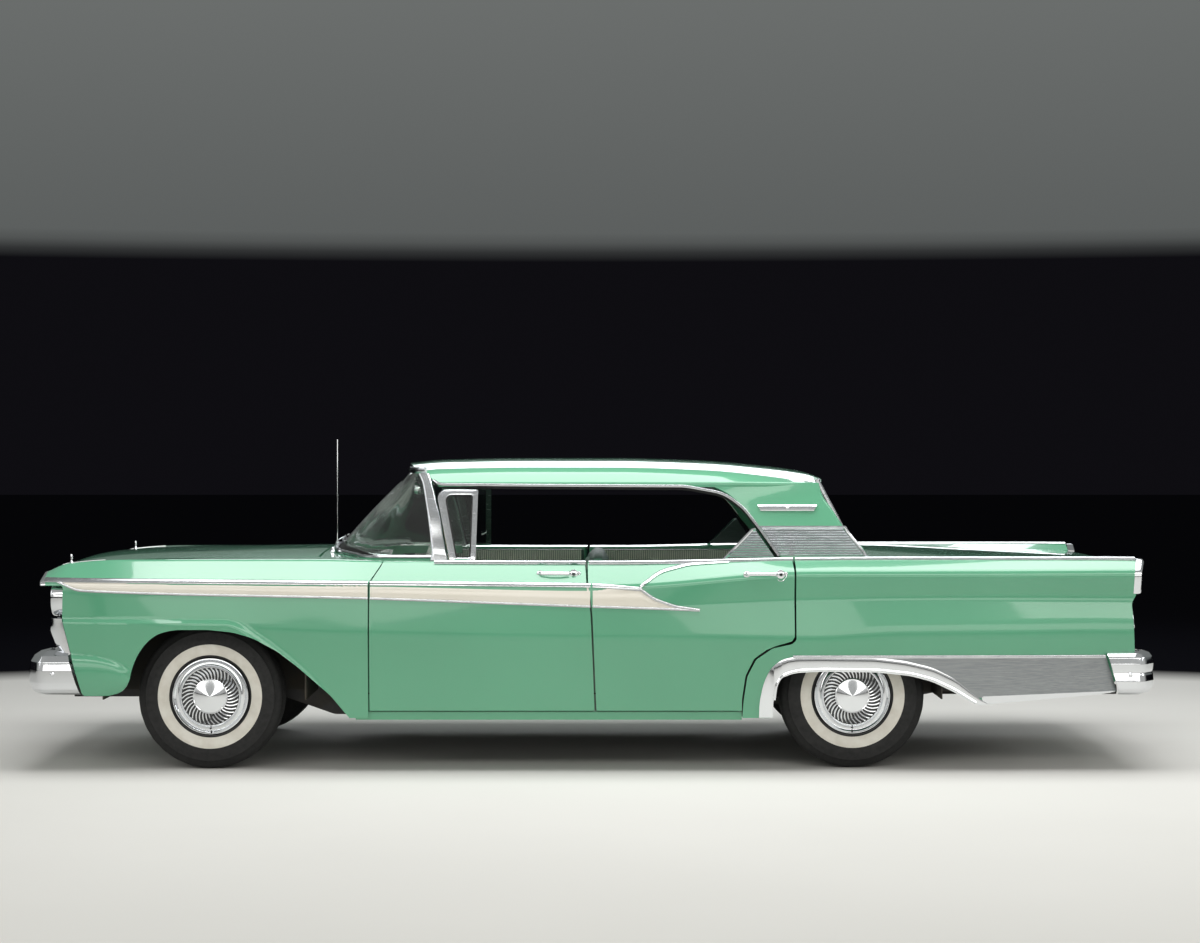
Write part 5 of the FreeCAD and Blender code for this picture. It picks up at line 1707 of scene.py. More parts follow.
    def belt_line(self) -> None:
        """Bright mouldings along the door tops and the fins."""
        lay = self.lay
        section = [
            (-0.004, -0.012), (0.003, -0.011), (0.008, -0.005), (0.009, 0), (0.008, 0.005), (0.003, 0.011),
            (-0.004, 0.012),
        ]
        runs = (
            ("front_door", lay.wing_end + 0.30, lay.split - 0.018, "front_door_{}"),
            ("rear_door", lay.split - 0.004, lay.quarter - 0.010, "rear_door_{}"),
            ("fin", lay.quarter + 0.001, lay.tail - 0.112, "body"),
        )
        for part, start, end, body in runs:
            path = [p + Vector((0, 0.006, -0.003)) for p in self.ridge_path(start, end)]
            out = Vector((0, 0.55, 1)).normalized()
            self.both(sweep("belt", path, section, out), f"{part}_belt_moulding", BRIGHT, body)

    def wheel_arch(self) -> None:
        """The wide bright band round the rear wheel opening, running on along the foot of the shield."""
        rear = self.lay.rear
        outer = [
            (-0.446, 0.252), (-0.444, 0.322), (-0.427, 0.410), (-0.395, 0.480), (-0.345, 0.522),
            (-0.282, 0.536), (0.080, 0.534), (0.224, 0.516), (0.350, 0.486), (0.451, 0.435),
            (0.540, 0.362), (0.606, 0.316), (0.690, 0.302),
        ]
        inner = [
            (0.690, 0.297), (0.552, 0.309), (0.451, 0.372), (0.350, 0.420), (0.249, 0.446),
            (0.097, 0.462), (-0.155, 0.466), (-0.282, 0.460), (-0.345, 0.437), (-0.371, 0.396),
            (-0.380, 0.322), (-0.382, 0.252),
        ]
        corners = (outer[0], outer[-1], inner[0], inner[-1])
        edge = [(rear + x, z, 0 if (x, z) in corners else 0.3) for x, z in outer + inner]
        sheet = self.applique("arch", edge, 0.007, rear - 0.47, rear + 0.70)
        modified(sheet, "BEVEL", width=0.003, segments=2, limit_method="ANGLE", angle_limit=math.radians(50))
        bead = evenly(rounded([(rear + x + 0.004, z + 0.012, 0.3) for x, z in inner[1:-1]], closed=False), 70)
        rib = self.moulded("rib", [(p.x, p.y) for p in bead], 0.016, 0.012)
        foot = [
            (0.572, 0.349, 0.01), (1.212, 0.373, 0), (1.147, 0.354, 0.3), (0.982, 0.322, 0.3),
            (0.698, 0.299, 0.05), (0.615, 0.300, 0.01),
        ]
        toe = self.applique("foot", [(rear + x, z, r) for x, z, r in foot], 0.006, rear + 0.57, rear + 1.212)
        self.both(joined("arch", [sheet, rib, toe]), "rear_arch_moulding", CHROME, "body")
        strip = self.band("strip", rear - 0.29, rear + 1.158, lambda x: 0.525, lambda x: 0.543, 0.010)
        self.both(strip, "shield_top_moulding", BRIGHT, "body")

    def shield(self) -> None:
        """The brushed stone shield behind the rear wheel."""
        rear = self.lay.rear
        outline = [
            (0.10, 0.534), (1.160, 0.534), (1.214, 0.368), (0.640, 0.340), (0.560, 0.344), (0.50, 0.385),
            (0.35, 0.450), (0.20, 0.480),
        ]
        sheet = self.applique(
            "shield", [(rear + x, z, 0.01) for x, z in outline], 0.0045, rear + 0.09, rear + 1.216
        )
        self.both(sheet, "stone_shield", STONE_SHIELD, "body")

    def handles(self) -> None:
        """Pull handles with round push buttons, each over a dished escutcheon."""
        for part, centre in (("front_door", self.lay.split - 0.135), ("rear_door", self.lay.quarter - 0.134)):
            z = 0.914
            skin = self.lay.side_y(centre, z)
            grip = [
                (centre - 0.100, skin - 0.004, z), (centre - 0.092, skin + 0.012, z + 0.001),
                (centre - 0.050, skin + 0.019, z + 0.002), (centre, skin + 0.019, z + 0.002),
                (centre + 0.040, skin + 0.015, z + 0.001),
            ]
            path = evenly(rounded([(*p, 0.02) for p in grip], closed=False), 24)
            oval = [
                (0.0045 * math.cos(t * math.tau / 12), 0.0085 * math.sin(t * math.tau / 12))
                for t in range(12)
            ]
            bar = sweep("grip", path, oval, Vector((0, 1, 0)))
            profile = [
                (0, 0.017), (0.007, 0.017), (0.0085, 0.015), (0.009, 0.010), (0.014, 0.009), (0.019, 0.006),
                (0.021, 0.0), (0.021, -0.006), (0, -0.006),
            ]
            button = lathe("button", profile, (centre + 0.062, skin, z), "y", 40)
            plate = lathe("plate", [
                (0, 0.003), (0.012, 0.004), (0.016, 0.002), (0.016, -0.006), (0, -0.006)
            ], (centre - 0.094, skin, z), "y", 32)
            shape = [
                (-0.036, 0.012, 0.008), (0.034, 0.012, 0.010), (0.030, -0.010, 0.02), (0.012, -0.034, 0.012),
                (-0.012, -0.034, 0.014),
            ]
            line = rounded([(centre + 0.062 + x, z + dz, r) for x, dz, r in shape], steps=6)
            middle = Vector((centre + 0.062, z - 0.008))
            rings = []
            for out, inset in ((-0.006, 0.0), (0.002, 0.0), (0.005, 0.003), (0.003, 0.007)):
                rings.append([(q.x, skin + out, q.y) for q in drawn_in(line, middle, inset)])
            self.both(
                joined("handle", [bar, button, plate, loft("escutcheon", rings)]),
                f"{part}_handle",
                CHROME,
                part + "_{}",
            )


# ------------------------------------------------------------------ what repeats
class Repeater:
    """One Geometry Nodes tree that lays copies of a small mesh in a row, a ring or a helix."""

    NAME = "row_or_ring"

    @classmethod
    def tree(cls) -> bpy.types.NodeTree:
        """Makes the tree once: copy i stands at Base + i * Step, turned by i * Turn.

        Returns:
            The tree.
        """
        if cls.NAME in bpy.data.node_groups:
            return bpy.data.node_groups[cls.NAME]
        tree = bpy.data.node_groups.new(cls.NAME, "GeometryNodeTree")
        tree.interface.new_socket("Geometry", in_out="OUTPUT", socket_type="NodeSocketGeometry")
        for name, kind in (
            ("Geometry", "Geometry"), ("Count", "Int"), ("Base", "Vector"), ("Step", "Vector"),
            ("Turn", "Vector"), ("Finish", "Material"),
        ):
            tree.interface.new_socket(name, in_out="INPUT", socket_type=f"NodeSocket{kind}")
        given = add(tree, "NodeGroupInput").outputs
        number = add(tree, "GeometryNodeInputIndex").outputs[0]
        steps = add(
            tree, "ShaderNodeVectorMath", {0: given["Step"], "Scale": number}, operation="SCALE"
        ).outputs[0]
        turns = add(
            tree, "ShaderNodeVectorMath", {0: given["Turn"], "Scale": number}, operation="SCALE"
        ).outputs[0]
        place = add(tree, "ShaderNodeVectorMath", {0: given["Base"], 1: steps}).outputs[0]
        points = add(tree, "GeometryNodePoints", {"Count": given["Count"]}).outputs[0]
        placed = add(tree, "GeometryNodeSetPosition", {"Geometry": points, "Position": place}).outputs[0]
        copies = add(tree, "GeometryNodeInstanceOnPoints", {
            "Points": placed, "Instance": given["Geometry"], "Rotation": turns
        }).outputs[0]
        solid = add(tree, "GeometryNodeRealizeInstances", {"Geometry": copies}).outputs[0]
        dressed = add(
            tree, "GeometryNodeSetMaterial", {"Geometry": solid, "Material": given["Finish"]}
        ).outputs[0]
        add(tree, "NodeGroupOutput", {0: dressed})
        return tree

    @classmethod
    def lay(
        cls,
        unit: Piece,
        count: int,
        finish: Finish,
        base: Sequence[float] = (0, 0, 0),
        step: Sequence[float] = (0, 0, 0),
        turn: Sequence[float] = (0, 0, 0),
    ) -> Piece:
        """Lays copies of a unit mesh, drawn about the origin.

        Args:
            unit: The mesh to copy.
            count: How many copies.
            finish: Their finish.
            base: Place of the first copy.
            step: Move from one copy to the next.
            turn: Turn from one copy to the next, in radians about X, Y and Z.

        Returns:
            One plain mesh with every copy.
        """
        tree = cls.tree()
        keys = {item.name: item.identifier for item in tree.interface.items_tree if item.in_out == "INPUT"}
        modifier = unit.modifiers.new("copies", "NODES")
        modifier.node_group = tree
        for name, value in (
            ("Count", count), ("Base", tuple(base)), ("Step", tuple(step)), ("Turn", tuple(turn))
        ):
            modifier[keys[name]] = value
        modifier[keys["Finish"]] = finish.material()
        return apply_modifiers(unit)


def block(name: str, low: Sequence[float], high: Sequence[float], ease: float = 0.0) -> Piece:
    """A bar between two corners with its long edges eased.

    Args:
        name: Name of the piece.
        low: Its lowest corner.
        high: Its highest corner.
        ease: Radius of its long edges.

    Returns:
        The new object.
    """
    size = [b - a for a, b in zip(low, high)]
    along = size.index(max(size))
    first, second = [n for n in range(3) if n != along]
    ease = min(ease, 0.45 * min(size[first], size[second]))
    corners = [
        (low[first], low[second]), (high[first], low[second]),
        (high[first], high[second]), (low[first], high[second]),
    ]
    ring = rounded([(*p, ease) for p in corners], steps=3) if ease else [Vector(p) for p in corners]
    rings = []
    levels = [(low[along], 0), (high[along], 0)]
    if ease:
        levels = [
            (low[along], ease / 2), (low[along] + ease / 2, 0),
            (high[along] - ease / 2, 0), (high[along], ease / 2),
        ]
    middle = Vector(((low[first] + high[first]) / 2, (low[second] + high[second]) / 2))
    for level, shrink in levels:
        rows = []
        for flat in drawn_in(ring, middle, shrink):
            point = [0.0, 0.0, 0.0]
            point[along], point[first], point[second] = level, flat.x, flat.y
            rows.append(point)
        rings.append(rows)
    return loft(name, rings)


# ------------------------------------------------------------------ wheels
@dataclass
class RoadWheel:
    """A whitewall tyre on a painted steel wheel under a full bright cover."""

    end: str
    side: Side
    rim_radius: float = 0.190
    white_outer: float = 0.243
    cover_radius: float = 0.179
    vane_inner: float = 0.082
    vane_outer: float = 0.131
    vanes: int = 38
    swirl: float = 0.30

    def build(self) -> None:
        """Makes and dresses the tyre, the wheel and its cover."""
        corner = f"{self.end}_{self.side.word}"
        low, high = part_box(f"tyre_{corner}")
        self.centre = Vector(((low[0] + high[0]) / 2, (low[1] + high[1]) / 2, (low[2] + high[2]) / 2))
        self.radius, self.half = (high[2] - low[2]) / 2, (high[1] - low[1]) / 2
        self.body = f"{self.end}_{self.side.word}_wheel"
        out = self.side.value
        tyre = dress(self.tyre(out), TYRE.material())
        white = dress(self.sidewall(out), WHITEWALL.material())
        finish_piece(
            joined(f"tyre_{corner}_rubber", [tyre, white]),
            None,
            self.body,
            f"tyre_{corner}",
            slot="tyre",
            crease=38,
        )
        parts = [
            dress(self.rim(out), WHEEL_BLACK.material()), dress(self.cover(out), CHROME.material()),
            self.vane_ring(out), dress(self.hub_cone(out), CHROME.material()),
        ]
        parts += [dress(self.valve(out), DIAL.material())]
        finish_piece(
            joined(f"wheel_{corner}_with_cover", parts),
            None,
            self.body,
            f"wheel_{corner}",
            slot="chrome",
            crease=30,
        )

    def tyre(self, out: int) -> Piece:
        """Makes the cross-ply tyre: bulged walls and a ribbed tread with zigzag grooves.

        Args:
            out: 1 or -1, the side that faces outwards.

        Returns:
            The tyre.
        """
        top, half = self.radius, self.half
        wall = [
            (0.186, 0.074), (0.190, 0.080), (0.205, 0.088), (0.225, 0.0935), (0.250, half), (0.272, 0.0935),
            (0.292, 0.089), (0.300, 0.0885), (0.303, 0.0845), (0.318, 0.079), (0.331, 0.070), (0.335, 0.064),
        ]
        tread = [
            (0.3365, 0.0585), (0.3285, 0.0555), (0.3285, 0.0525), (0.3375, 0.0495), (0.3385, 0.0335),
            (0.3295, 0.0305), (0.3295, 0.0275), (top, 0.0245), (top, 0.0085), (0.330, 0.0055),
            (0.330, 0.0025),
        ]
        half_line = wall + tread
        outline = [(r, t) for r, t in half_line] + [(r, -t) for r, t in half_line[::-1]]
        steps = 120
        rings = []
        for step in range(steps):
            turn = math.tau * step / steps
            wave = 0.0022 if step % 4 in (0, 1) else -0.0022
            ring = []
            for r, t in outline:
                shift = wave if r > 0.3275 and abs(t) < 0.0595 else 0.0
                ring.append((
                    self.centre.x + r * math.cos(turn), self.centre.y + out * (t + shift),
                    self.centre.z + r * math.sin(turn),
                ))
            rings.append(ring)
        rings.append(rings[0])
        return loft("tyre", rings, caps=False)

    def ring_about(self, name: str, profile: Sequence[Point2], out: int, steps: int = 120) -> Piece:
        """Turns a closed profile (radius, outward) about the axle."""
        return lathe(name, [*profile, profile[0]], self.centre, "y", steps, out)

    def sidewall(self, out: int) -> Piece:
        """The white band, standing a millimetre off the wall between two fine ribs.

        Args:
            out: -1 for a left wheel, 1 for a right one.

        Returns:
            The band.
        """
        profile = [
            (0.1915, 0.0800), (0.193, 0.0835), (0.205, 0.0893), (0.225, 0.0947),
            (self.white_outer - 0.002, 0.0958), (self.white_outer, 0.0950), (self.white_outer, 0.0925),
            (0.225, 0.0915), (0.205, 0.086), (0.1935, 0.079),
        ]
        return self.ring_about("white", profile, out)

    def rim(self, out: int) -> Piece:
        """Makes the pressed steel rim with its well and its dished disc.

        Args:
            out: 1 or -1, the side that faces outwards.

        Returns:
            The rim.
        """
        edge = self.rim_radius
        profile = [
            (edge, 0.074), (edge, 0.066), (0.182, 0.063), (0.180, 0.040), (0.160, 0.030), (0.160, -0.020),
            (0.180, -0.050), (0.182, -0.063), (edge, -0.066), (edge, -0.073),
        ]
        profile += [
            (0.186, -0.072), (0.178, -0.066), (0.174, -0.050), (0.152, -0.022), (0.150, 0.008),
            (0.120, 0.036), (0.080, 0.030), (0.030, 0.046), (0.030, 0.050), (0.080, 0.036), (0.121, 0.042),
            (0.150, 0.032), (0.172, 0.044), (0.176, 0.066), (0.184, 0.073),
        ]
        return self.ring_about("rim", profile, out, 96)

    def cover(self, out: int) -> Piece:
        """Makes the bright cover: rolled lip, stepped dish and a bead each side of the vanes.

        Args:
            out: 1 or -1, the side that faces outwards.

        Returns:
            The cover.
        """
        lip = self.cover_radius
        profile = [
            (self.vane_outer + 0.001, 0.0675), (self.vane_outer + 0.002, 0.0815), (0.1345, 0.0845),
            (0.1375, 0.0845), (0.1400, 0.0805), (0.1450, 0.0745), (0.1520, 0.0705), (0.1600, 0.0705),
            (0.1630, 0.0735),
        ]
        profile += [
            (0.1670, 0.0755), (0.1700, 0.0790), (0.1735, 0.0825), (0.1765, 0.0820), (lip, 0.0780),
            (lip, 0.0735), (0.176, 0.0700), (0.150, 0.0660),
        ]
        return self.ring_about("cover", profile, out, 128)

    def hub_cone(self, out: int) -> Piece:
        """The shallow pointed centre with its bead, closed behind by the black slot ground.

        Args:
            out: -1 for a left wheel, 1 for a right one.

        Returns:
            The cone.
        """
        profile = [
            (0.0, 0.1010), (0.0006, 0.1008), (0.076, 0.0868), (0.0785, 0.0880), (0.0810, 0.0870),
            (0.0825, 0.0830), (0.0825, 0.0670), (0.0, 0.0670),
        ]
        return lathe("cone", profile, self.centre, "y", 96, out)

    def vane_ring(self, out: int) -> Piece:
        """Makes swept vanes over a black ground, so that dark slots swirl between them.

        Args:
            out: 1 or -1, the side that faces outwards.

        Returns:
            The dressed ring.
        """
        ground = [
            (0.0815, 0.0690), (self.vane_outer + 0.0015, 0.0690), (self.vane_outer + 0.0015, 0.0655),
            (0.0815, 0.0655),
        ]
        back = dress(self.ring_about("ground", ground, out, 96), WHEEL_BLACK.material())
        pitch = math.tau / self.vanes
        rings = []
        for share in shares(8):
            r = self.vane_inner - 0.0005 + (self.vane_outer + 0.0012 - self.vane_inner) * share
            angle = math.pi / 2 + self.swirl * (share - 0.5) * (0.6 + 0.4 * share)
            wide = pitch * (0.25 + 0.06 * (1 - 4 * (share - 0.5) ** 2)) if share < 1 else pitch * 0.28
            corners = (
                (-wide, 0.0692), (-wide, 0.0772), (-wide * 0.55, 0.0806), (wide * 0.55, 0.0800),
                (wide, 0.0758), (wide, 0.0692),
            )
            rings.append([(r * math.cos(angle + a), out * t, r * math.sin(angle + a)) for a, t in corners])
        unit = loft("vane", rings)
        vanes = Repeater.lay(unit, self.vanes, CHROME, self.centre, turn=(0, pitch, 0))
        return joined("vanes", [back, vanes])

    def valve(self, out: int) -> Piece:
        """Makes the tyre valve, standing in its hole in the cover's dish.

        Args:
            out: 1 or -1, the side that faces outwards.

        Returns:
            The valve.
        """
        place = (self.centre.x, self.centre.y, self.centre.z - 0.1475)
        hole = lathe("hole", [
            (0, 0.0724), (0.0062, 0.0722), (0.0068, 0.0700), (0, 0.0700)
        ], place, "y", 24, out)
        stem = lathe("stem", [
            (0, 0.086), (0.0026, 0.0855), (0.0031, 0.084), (0.0031, 0.079), (0.0024, 0.078), (0.0024, 0.070),
            (0, 0.070),
        ], (place[0] + 0.001, place[1], place[2] - 0.004), "y", 16, out)
        return joined("valve", [hole, stem])


# ------------------------------------------------------------------ glass and its frames
@dataclass
class Glazing:
    """Windscreen, rear window, vent windows and the bright frames, gutters and panels round them."""

    lay: Layout
    glass_depth: float = 0.006
    pillar_ribs: int = 11

    def rim(self, corners: Sequence[Point3], count: int) -> list[Vector]:
        """A pane's edge in plan, from left to right, evenly spread."""
        right = rounded(corners, closed=False, steps=16)
        left = [Vector((p.x, -p.y)) for p in right[:0:-1]]
        return evenly(left + right, count)

    def pane(
        self,
        name: str,
        base: Sequence[Vector],
        top: Sequence[Vector],
        base_z: Callable[[Vector], float],
        top_z: float,
        bow: float,
    ) -> Piece:
        """A curved pane between two edges in plan.

        Args:
            name: Name of the pane.
            base: Its lower edge.
            top: Its upper edge, with as many points.
            base_z: Height of the lower edge at a place in plan.
            top_z: Height of the upper edge.
            bow: How far its middle stands forward of a straight line from edge to edge.

        Returns:
            The closed pane.
        """
        rows, backs = [], []
        sign = -1 if base[len(base) // 2].x < top[len(top) // 2].x else 1
        for share in shares(10):
            row, back = [], []
            swell = bow * 4 * share * (1 - share)
            for n in range(len(base)):
                here = base[n].lerp(top[n], share)
                ahead, before = base[min(n + 1, len(base) - 1)], base[max(n - 1, 0)]
                outward = Vector((ahead.y - before.y, before.x - ahead.x)).normalized() * -1
                if outward.x * sign < 0 and abs(outward.x) > 0.3:
                    outward = -outward
                if abs(outward.x) <= 0.3 and outward.y * here.y < 0:
                    outward = -outward
                z = base_z(base[n]) * (1 - share) + top_z * share
                row.append((*(here + outward * swell), z))
                back.append((*(here + outward * (swell - self.glass_depth)), z))
            rows.append(row)
            backs.append(back)
        return loft(name, [front + rear[::-1] for front, rear in zip(rows, backs)])

    def build(self) -> None:
        """Makes and dresses the glass and its frames."""
        self.windscreen()
        self.rear_window()
        self.gutters()
        self.pillar_panels()
        for side in Side:
            self.vent_window(side)

    def windscreen(self) -> None:
        """The wrapped screen in its bright surround, with its raked posts."""
        lay, front = self.lay, self.lay.front
        base = self.rim([
            (front + 0.517, 0, 0), (front + 0.545, 0.430, 0.3), (front + 0.740, 0.745, 0.15),
            (front + 1.060, 0.766, 0),
        ], 61)
        top = self.rim([
            (front + 0.890, 0, 0), (front + 0.905, 0.400, 0.3), (front + 0.945, 0.572, 0.06),
            (front + 0.992, 0.612, 0),
        ], 61)
        base_z = (
            lambda p: lay.top_z(min(p.x, lay.cowl + 0.19), p.y) + 0.006
            if p.x < lay.cowl + 0.19 else lay.belt + 0.012
        )
        top_z = lay.rail + 0.080
        glass = self.pane("windscreen_glass", base, top, base_z, top_z, 0.012)
        finish_piece(glass, GLASS, "body", "windscreen", slot="glass", crease=60)
        section = [
            (-0.003, -0.006), (0.006, -0.008), (0.012, -0.002), (0.012, 0.004), (0.007, 0.010),
            (-0.003, 0.010),
        ]
        lower = [Vector((p.x, p.y, base_z(p) + 0.004)) for p in base]
        upper = [Vector((p.x, p.y, top_z - 0.002)) for p in top]
        fore = [Vector((p.x - lay.cowl - 0.35, p.y * 1.2, 0)) for p in base]
        strips = [
            sweep("foot", lower, section, lambda n: fore[n]),
            sweep("header", upper, [
                (-0.004, -0.016), (0.008, -0.014), (0.013, 0.0), (0.010, 0.014), (-0.004, 0.016)
            ], lambda n: fore[n]),
        ]
        parts = [dress(joined("strips", strips), BRIGHT.material())]
        for side in Side:
            parts.append(dress(self.post(side), BRIGHT.material()))
        finish_piece(
            joined("windscreen_surround", parts), None, "body", "windscreen_frame", slot="chrome", crease=35
        )
        for side in Side:
            self.wiper(side, base, top, base_z, top_z)

    def wiper(
        self,
        side: Side,
        base: Sequence[Vector],
        top: Sequence[Vector],
        base_z: Callable[[Vector], float],
        top_z: float,
    ) -> None:
        """A wiper parked along the foot of the screen, with its pivot on the cowl.

        Args:
            side: Side of the car.
            base: The glass's lower edge in plan, from left to right.
            top: Its upper edge.
            base_z: Height of the lower edge at a place in plan.
            top_z: Height of the upper edge.
        """
        off_glass = Vector((-0.75, 0, 0.66))

        def on_glass(y: float, lift: float, out: float) -> Vector:
            """Finds a place on the glass.

            Args:
                y: How far it is from the middle.
                lift: Its height above the glass's foot.
                out: How far it stands off the face.

            Returns:
                The place.
            """
            y = side.value * y
            spot = next(n for n in range(len(base) - 1) if base[n + 1].y > y)
            share = (y - base[spot].y) / (base[spot + 1].y - base[spot].y)
            low = base[spot].lerp(base[spot + 1], share)
            high = top[spot].lerp(top[spot + 1], share)
            place = low.lerp(high, lift / (top_z - base_z(low)))
            return Vector((place.x, place.y, base_z(low) + lift)) + off_glass * out

        line = [on_glass(y, 0.040, 0.004) for y in spans(0.07, 0.45, 0.02)]
        lip = sweep("lip", line, [(0, -0.003), (0, 0.003), (0.009, 0.002), (0.009, -0.002)], off_glass)
        holder = sweep("holder", line, [
            (0.009, -0.004), (0.009, 0.004), (0.013, 0.003), (0.013, -0.003)
        ], off_glass)
        foot = on_glass(0.455, 0, 0)
        pivot = Vector((foot.x - 0.036, foot.y, self.lay.top_z(foot.x - 0.036, foot.y)))
        dome = [
            (0, -0.008), (0.016, -0.008), (0.016, 0.004), (0.011, 0.010), (0.009, 0.020), (0.005, 0.024),
            (0, 0.025),
        ]
        boss = lathe("boss", dome, pivot, axis="z", steps=32)
        rise = [
            pivot + Vector((0, 0, 0.016)),
            pivot + Vector((0.006, -side.value * 0.03, 0.021)),
            on_glass(0.36, 0.024, 0.026),
            on_glass(0.30, 0.036, 0.021),
            on_glass(0.25, 0.040, 0.016),
        ]
        arm = sweep("arm", rise, [(0, -0.0045), (0, 0.0045), (0.003, 0.003), (0.003, -0.003)], off_glass)
        bright = dress(joined("bright", [holder, boss, arm]), BRIGHT.material())
        wiper = joined(f"wiper_{side.word}", [bright, dress(lip, SEAL.material())])
        finish_piece(wiper, None, "body", slot="chrome", crease=35)

    def post(self, side: Side) -> Piece:
        """Makes a windscreen post: a broad foot, then a narrower limb raked forward up to the header.

        Args:
            side: Side of the car.

        Returns:
            The post.
        """
        lay = self.lay
        rake = [
            (lay.belt + 0.004, -0.756, -0.668, 0.792),
            (lay.belt + 0.035, -0.750, -0.676, 0.788),
            (lay.belt + 0.110, -0.758, -0.692, 0.762),
            (lay.belt + 0.197, -0.770, -0.708, 0.735),
            (lay.belt + 0.290, -0.787, -0.734, 0.695),
            (lay.belt + 0.365, -0.803, -0.754, 0.662),
            (lay.belt + 0.408, -0.824, -0.770, 0.642),
        ]
        heights = [row[0] for row in rake]
        rings = []
        for z in spans(heights[0], heights[-1], 0.02):
            fore, aft, out = (pchip(heights, [row[n] for row in rake], z) for n in (1, 2, 3))
            ring = rounded([
                (fore, out - 0.004, 0.01), (fore + 0.012, out + 0.004, 0.008), (aft, out + 0.002, 0.01),
                (aft, out - 0.04, 0.01), (fore, out - 0.045, 0.01),
            ], steps=4)
            rings.append([(p.x, side.value * p.y, z) for p in ring])
        return loft("post", rings)

    def rear_window(self) -> None:
        """The rear window and its bright surround."""
        lay, rear = self.lay, self.lay.rear
        base = self.rim([(rear + 0.052, 0, 0), (rear + 0.042, 0.420, 0.5), (rear + 0.020, 0.706, 0)], 41)
        top = self.rim([(rear - 0.120, 0, 0), (rear - 0.126, 0.400, 0.5), (rear - 0.158, 0.656, 0)], 41)
        foot = lambda p: lay.top_z(p.x, p.y) + 0.004
        high = lay.rail + 0.034
        glass = self.pane("rear_window_glass", base, top, foot, high, 0.008)
        finish_piece(glass, GLASS, "body", "rear_window", slot="glass", crease=60)
        section = [
            (-0.004, -0.008), (0.006, -0.008), (0.012, -0.002), (0.012, 0.004), (0.006, 0.010),
            (-0.004, 0.010),
        ]
        out = Vector((1, 0, 0.3))
        lower = [Vector((p.x + 0.003, p.y, foot(p) + 0.006)) for p in base]
        upper = [Vector((p.x + 0.003, p.y, high - 0.006)) for p in top]
        strips = [sweep("foot", lower, section, out), sweep("head", upper, section, out)]
        for y in (-1, 1):
            side = [
                Vector((a.x, a.y, 0)).lerp(Vector((b.x, b.y, 0)), share)
                for share in (0, 0.5, 1)
                for a, b in ((base[-1 if y > 0 else 0], top[-1 if y > 0 else 0]),)
            ]
            rise = [
                Vector((p.x + 0.006, p.y, foot(base[-1]) + 0.004 + share * (high - foot(base[-1]) - 0.01)))
                for p, share in zip(side, (0, 0.5, 1))
            ]
            strips.append(sweep("side", rise, section, out))
        finish_piece(joined("rear_window_surround", strips), BRIGHT, "body", slot="chrome", crease=35)

    def gutter_path(self) -> list[Vector]:
        """Runs the right drip rail from the windscreen post, along the roof, then down the pillar.

        Returns:
            Evenly spread points.
        """
        lay = self.lay
        line = [
            (-0.745, 0.655, lay.belt + 0.372, 0),
            (-0.715, 0.676, lay.rail + 0.012, 0.05),
            (-0.300, 0.702, lay.rail + 0.008, 0.3),
            (lay.rear - 0.780, 0.704, lay.rail + 0.004, 0.3),
            (lay.rear - 0.592, 0.716, lay.rail - 0.030, 0.25),
            (lay.rear - 0.505, 0.744, lay.belt + 0.245, 0.2),
            (lay.rear - 0.432, 0.775, lay.belt + 0.151, 0.2),
            (lay.rear - 0.344, 0.818, lay.belt + 0.024, 0),
        ]
        return evenly(rounded(line, closed=False, steps=10), 120)

    def gutters(self) -> None:
        """Bright drip rails with a black seal under each."""
        bright, seals = [], []
        path = self.gutter_path()
        for side in Side:
            run = [Vector((p.x, side.value * p.y, p.z)) for p in path]
            out = Vector((0, side.value, 0.15))
            bright.append(sweep("rail", run, [
                (-0.004, -0.006), (0.009, -0.0065), (0.013, -0.003), (0.014, 0.002), (0.012, 0.006),
                (-0.004, 0.007),
            ], out))
            low = [p + Vector((0.004, -side.value * 0.012, -0.010)) for p in run]
            seals.append(sweep("seal", low, [
                (-0.008, -0.007), (0.006, -0.007), (0.008, 0.0), (0.006, 0.007), (-0.008, 0.007)
            ], out))
        finish_piece(joined("drip_rails", bright), BRIGHT, "body", slot="chrome", crease=35)
        finish_piece(joined("window_seals", seals), SEAL, "body", crease=35)

    def pillar_face(self, share: float) -> float:
        """Y of the right rear pillar's outer face at a share of its height."""
        shares, outs = (-0.02, 0.07, 0.44, 0.712, 0.907, 1.06), (0.818, 0.812, 0.768, 0.735, 0.712, 0.696)
        return pchip(shares, outs, share)

    def pillar_panels(self) -> None:
        """Ribbed bright panels at the pillars' feet and a winged dart above each."""
        lay = self.lay
        height = lay.rail - lay.belt
        ribs, borders, darts = [], [], []
        for side in Side:
            flip = side.value
            low, high = lay.belt + 0.026, lay.belt + 0.154

            def at(x: float, z: float, lift: float) -> Point3:
                """A point on the pillar's outer face, lifted off it."""
                return (x, flip * (self.pillar_face((z - lay.belt) / height) + lift), z)

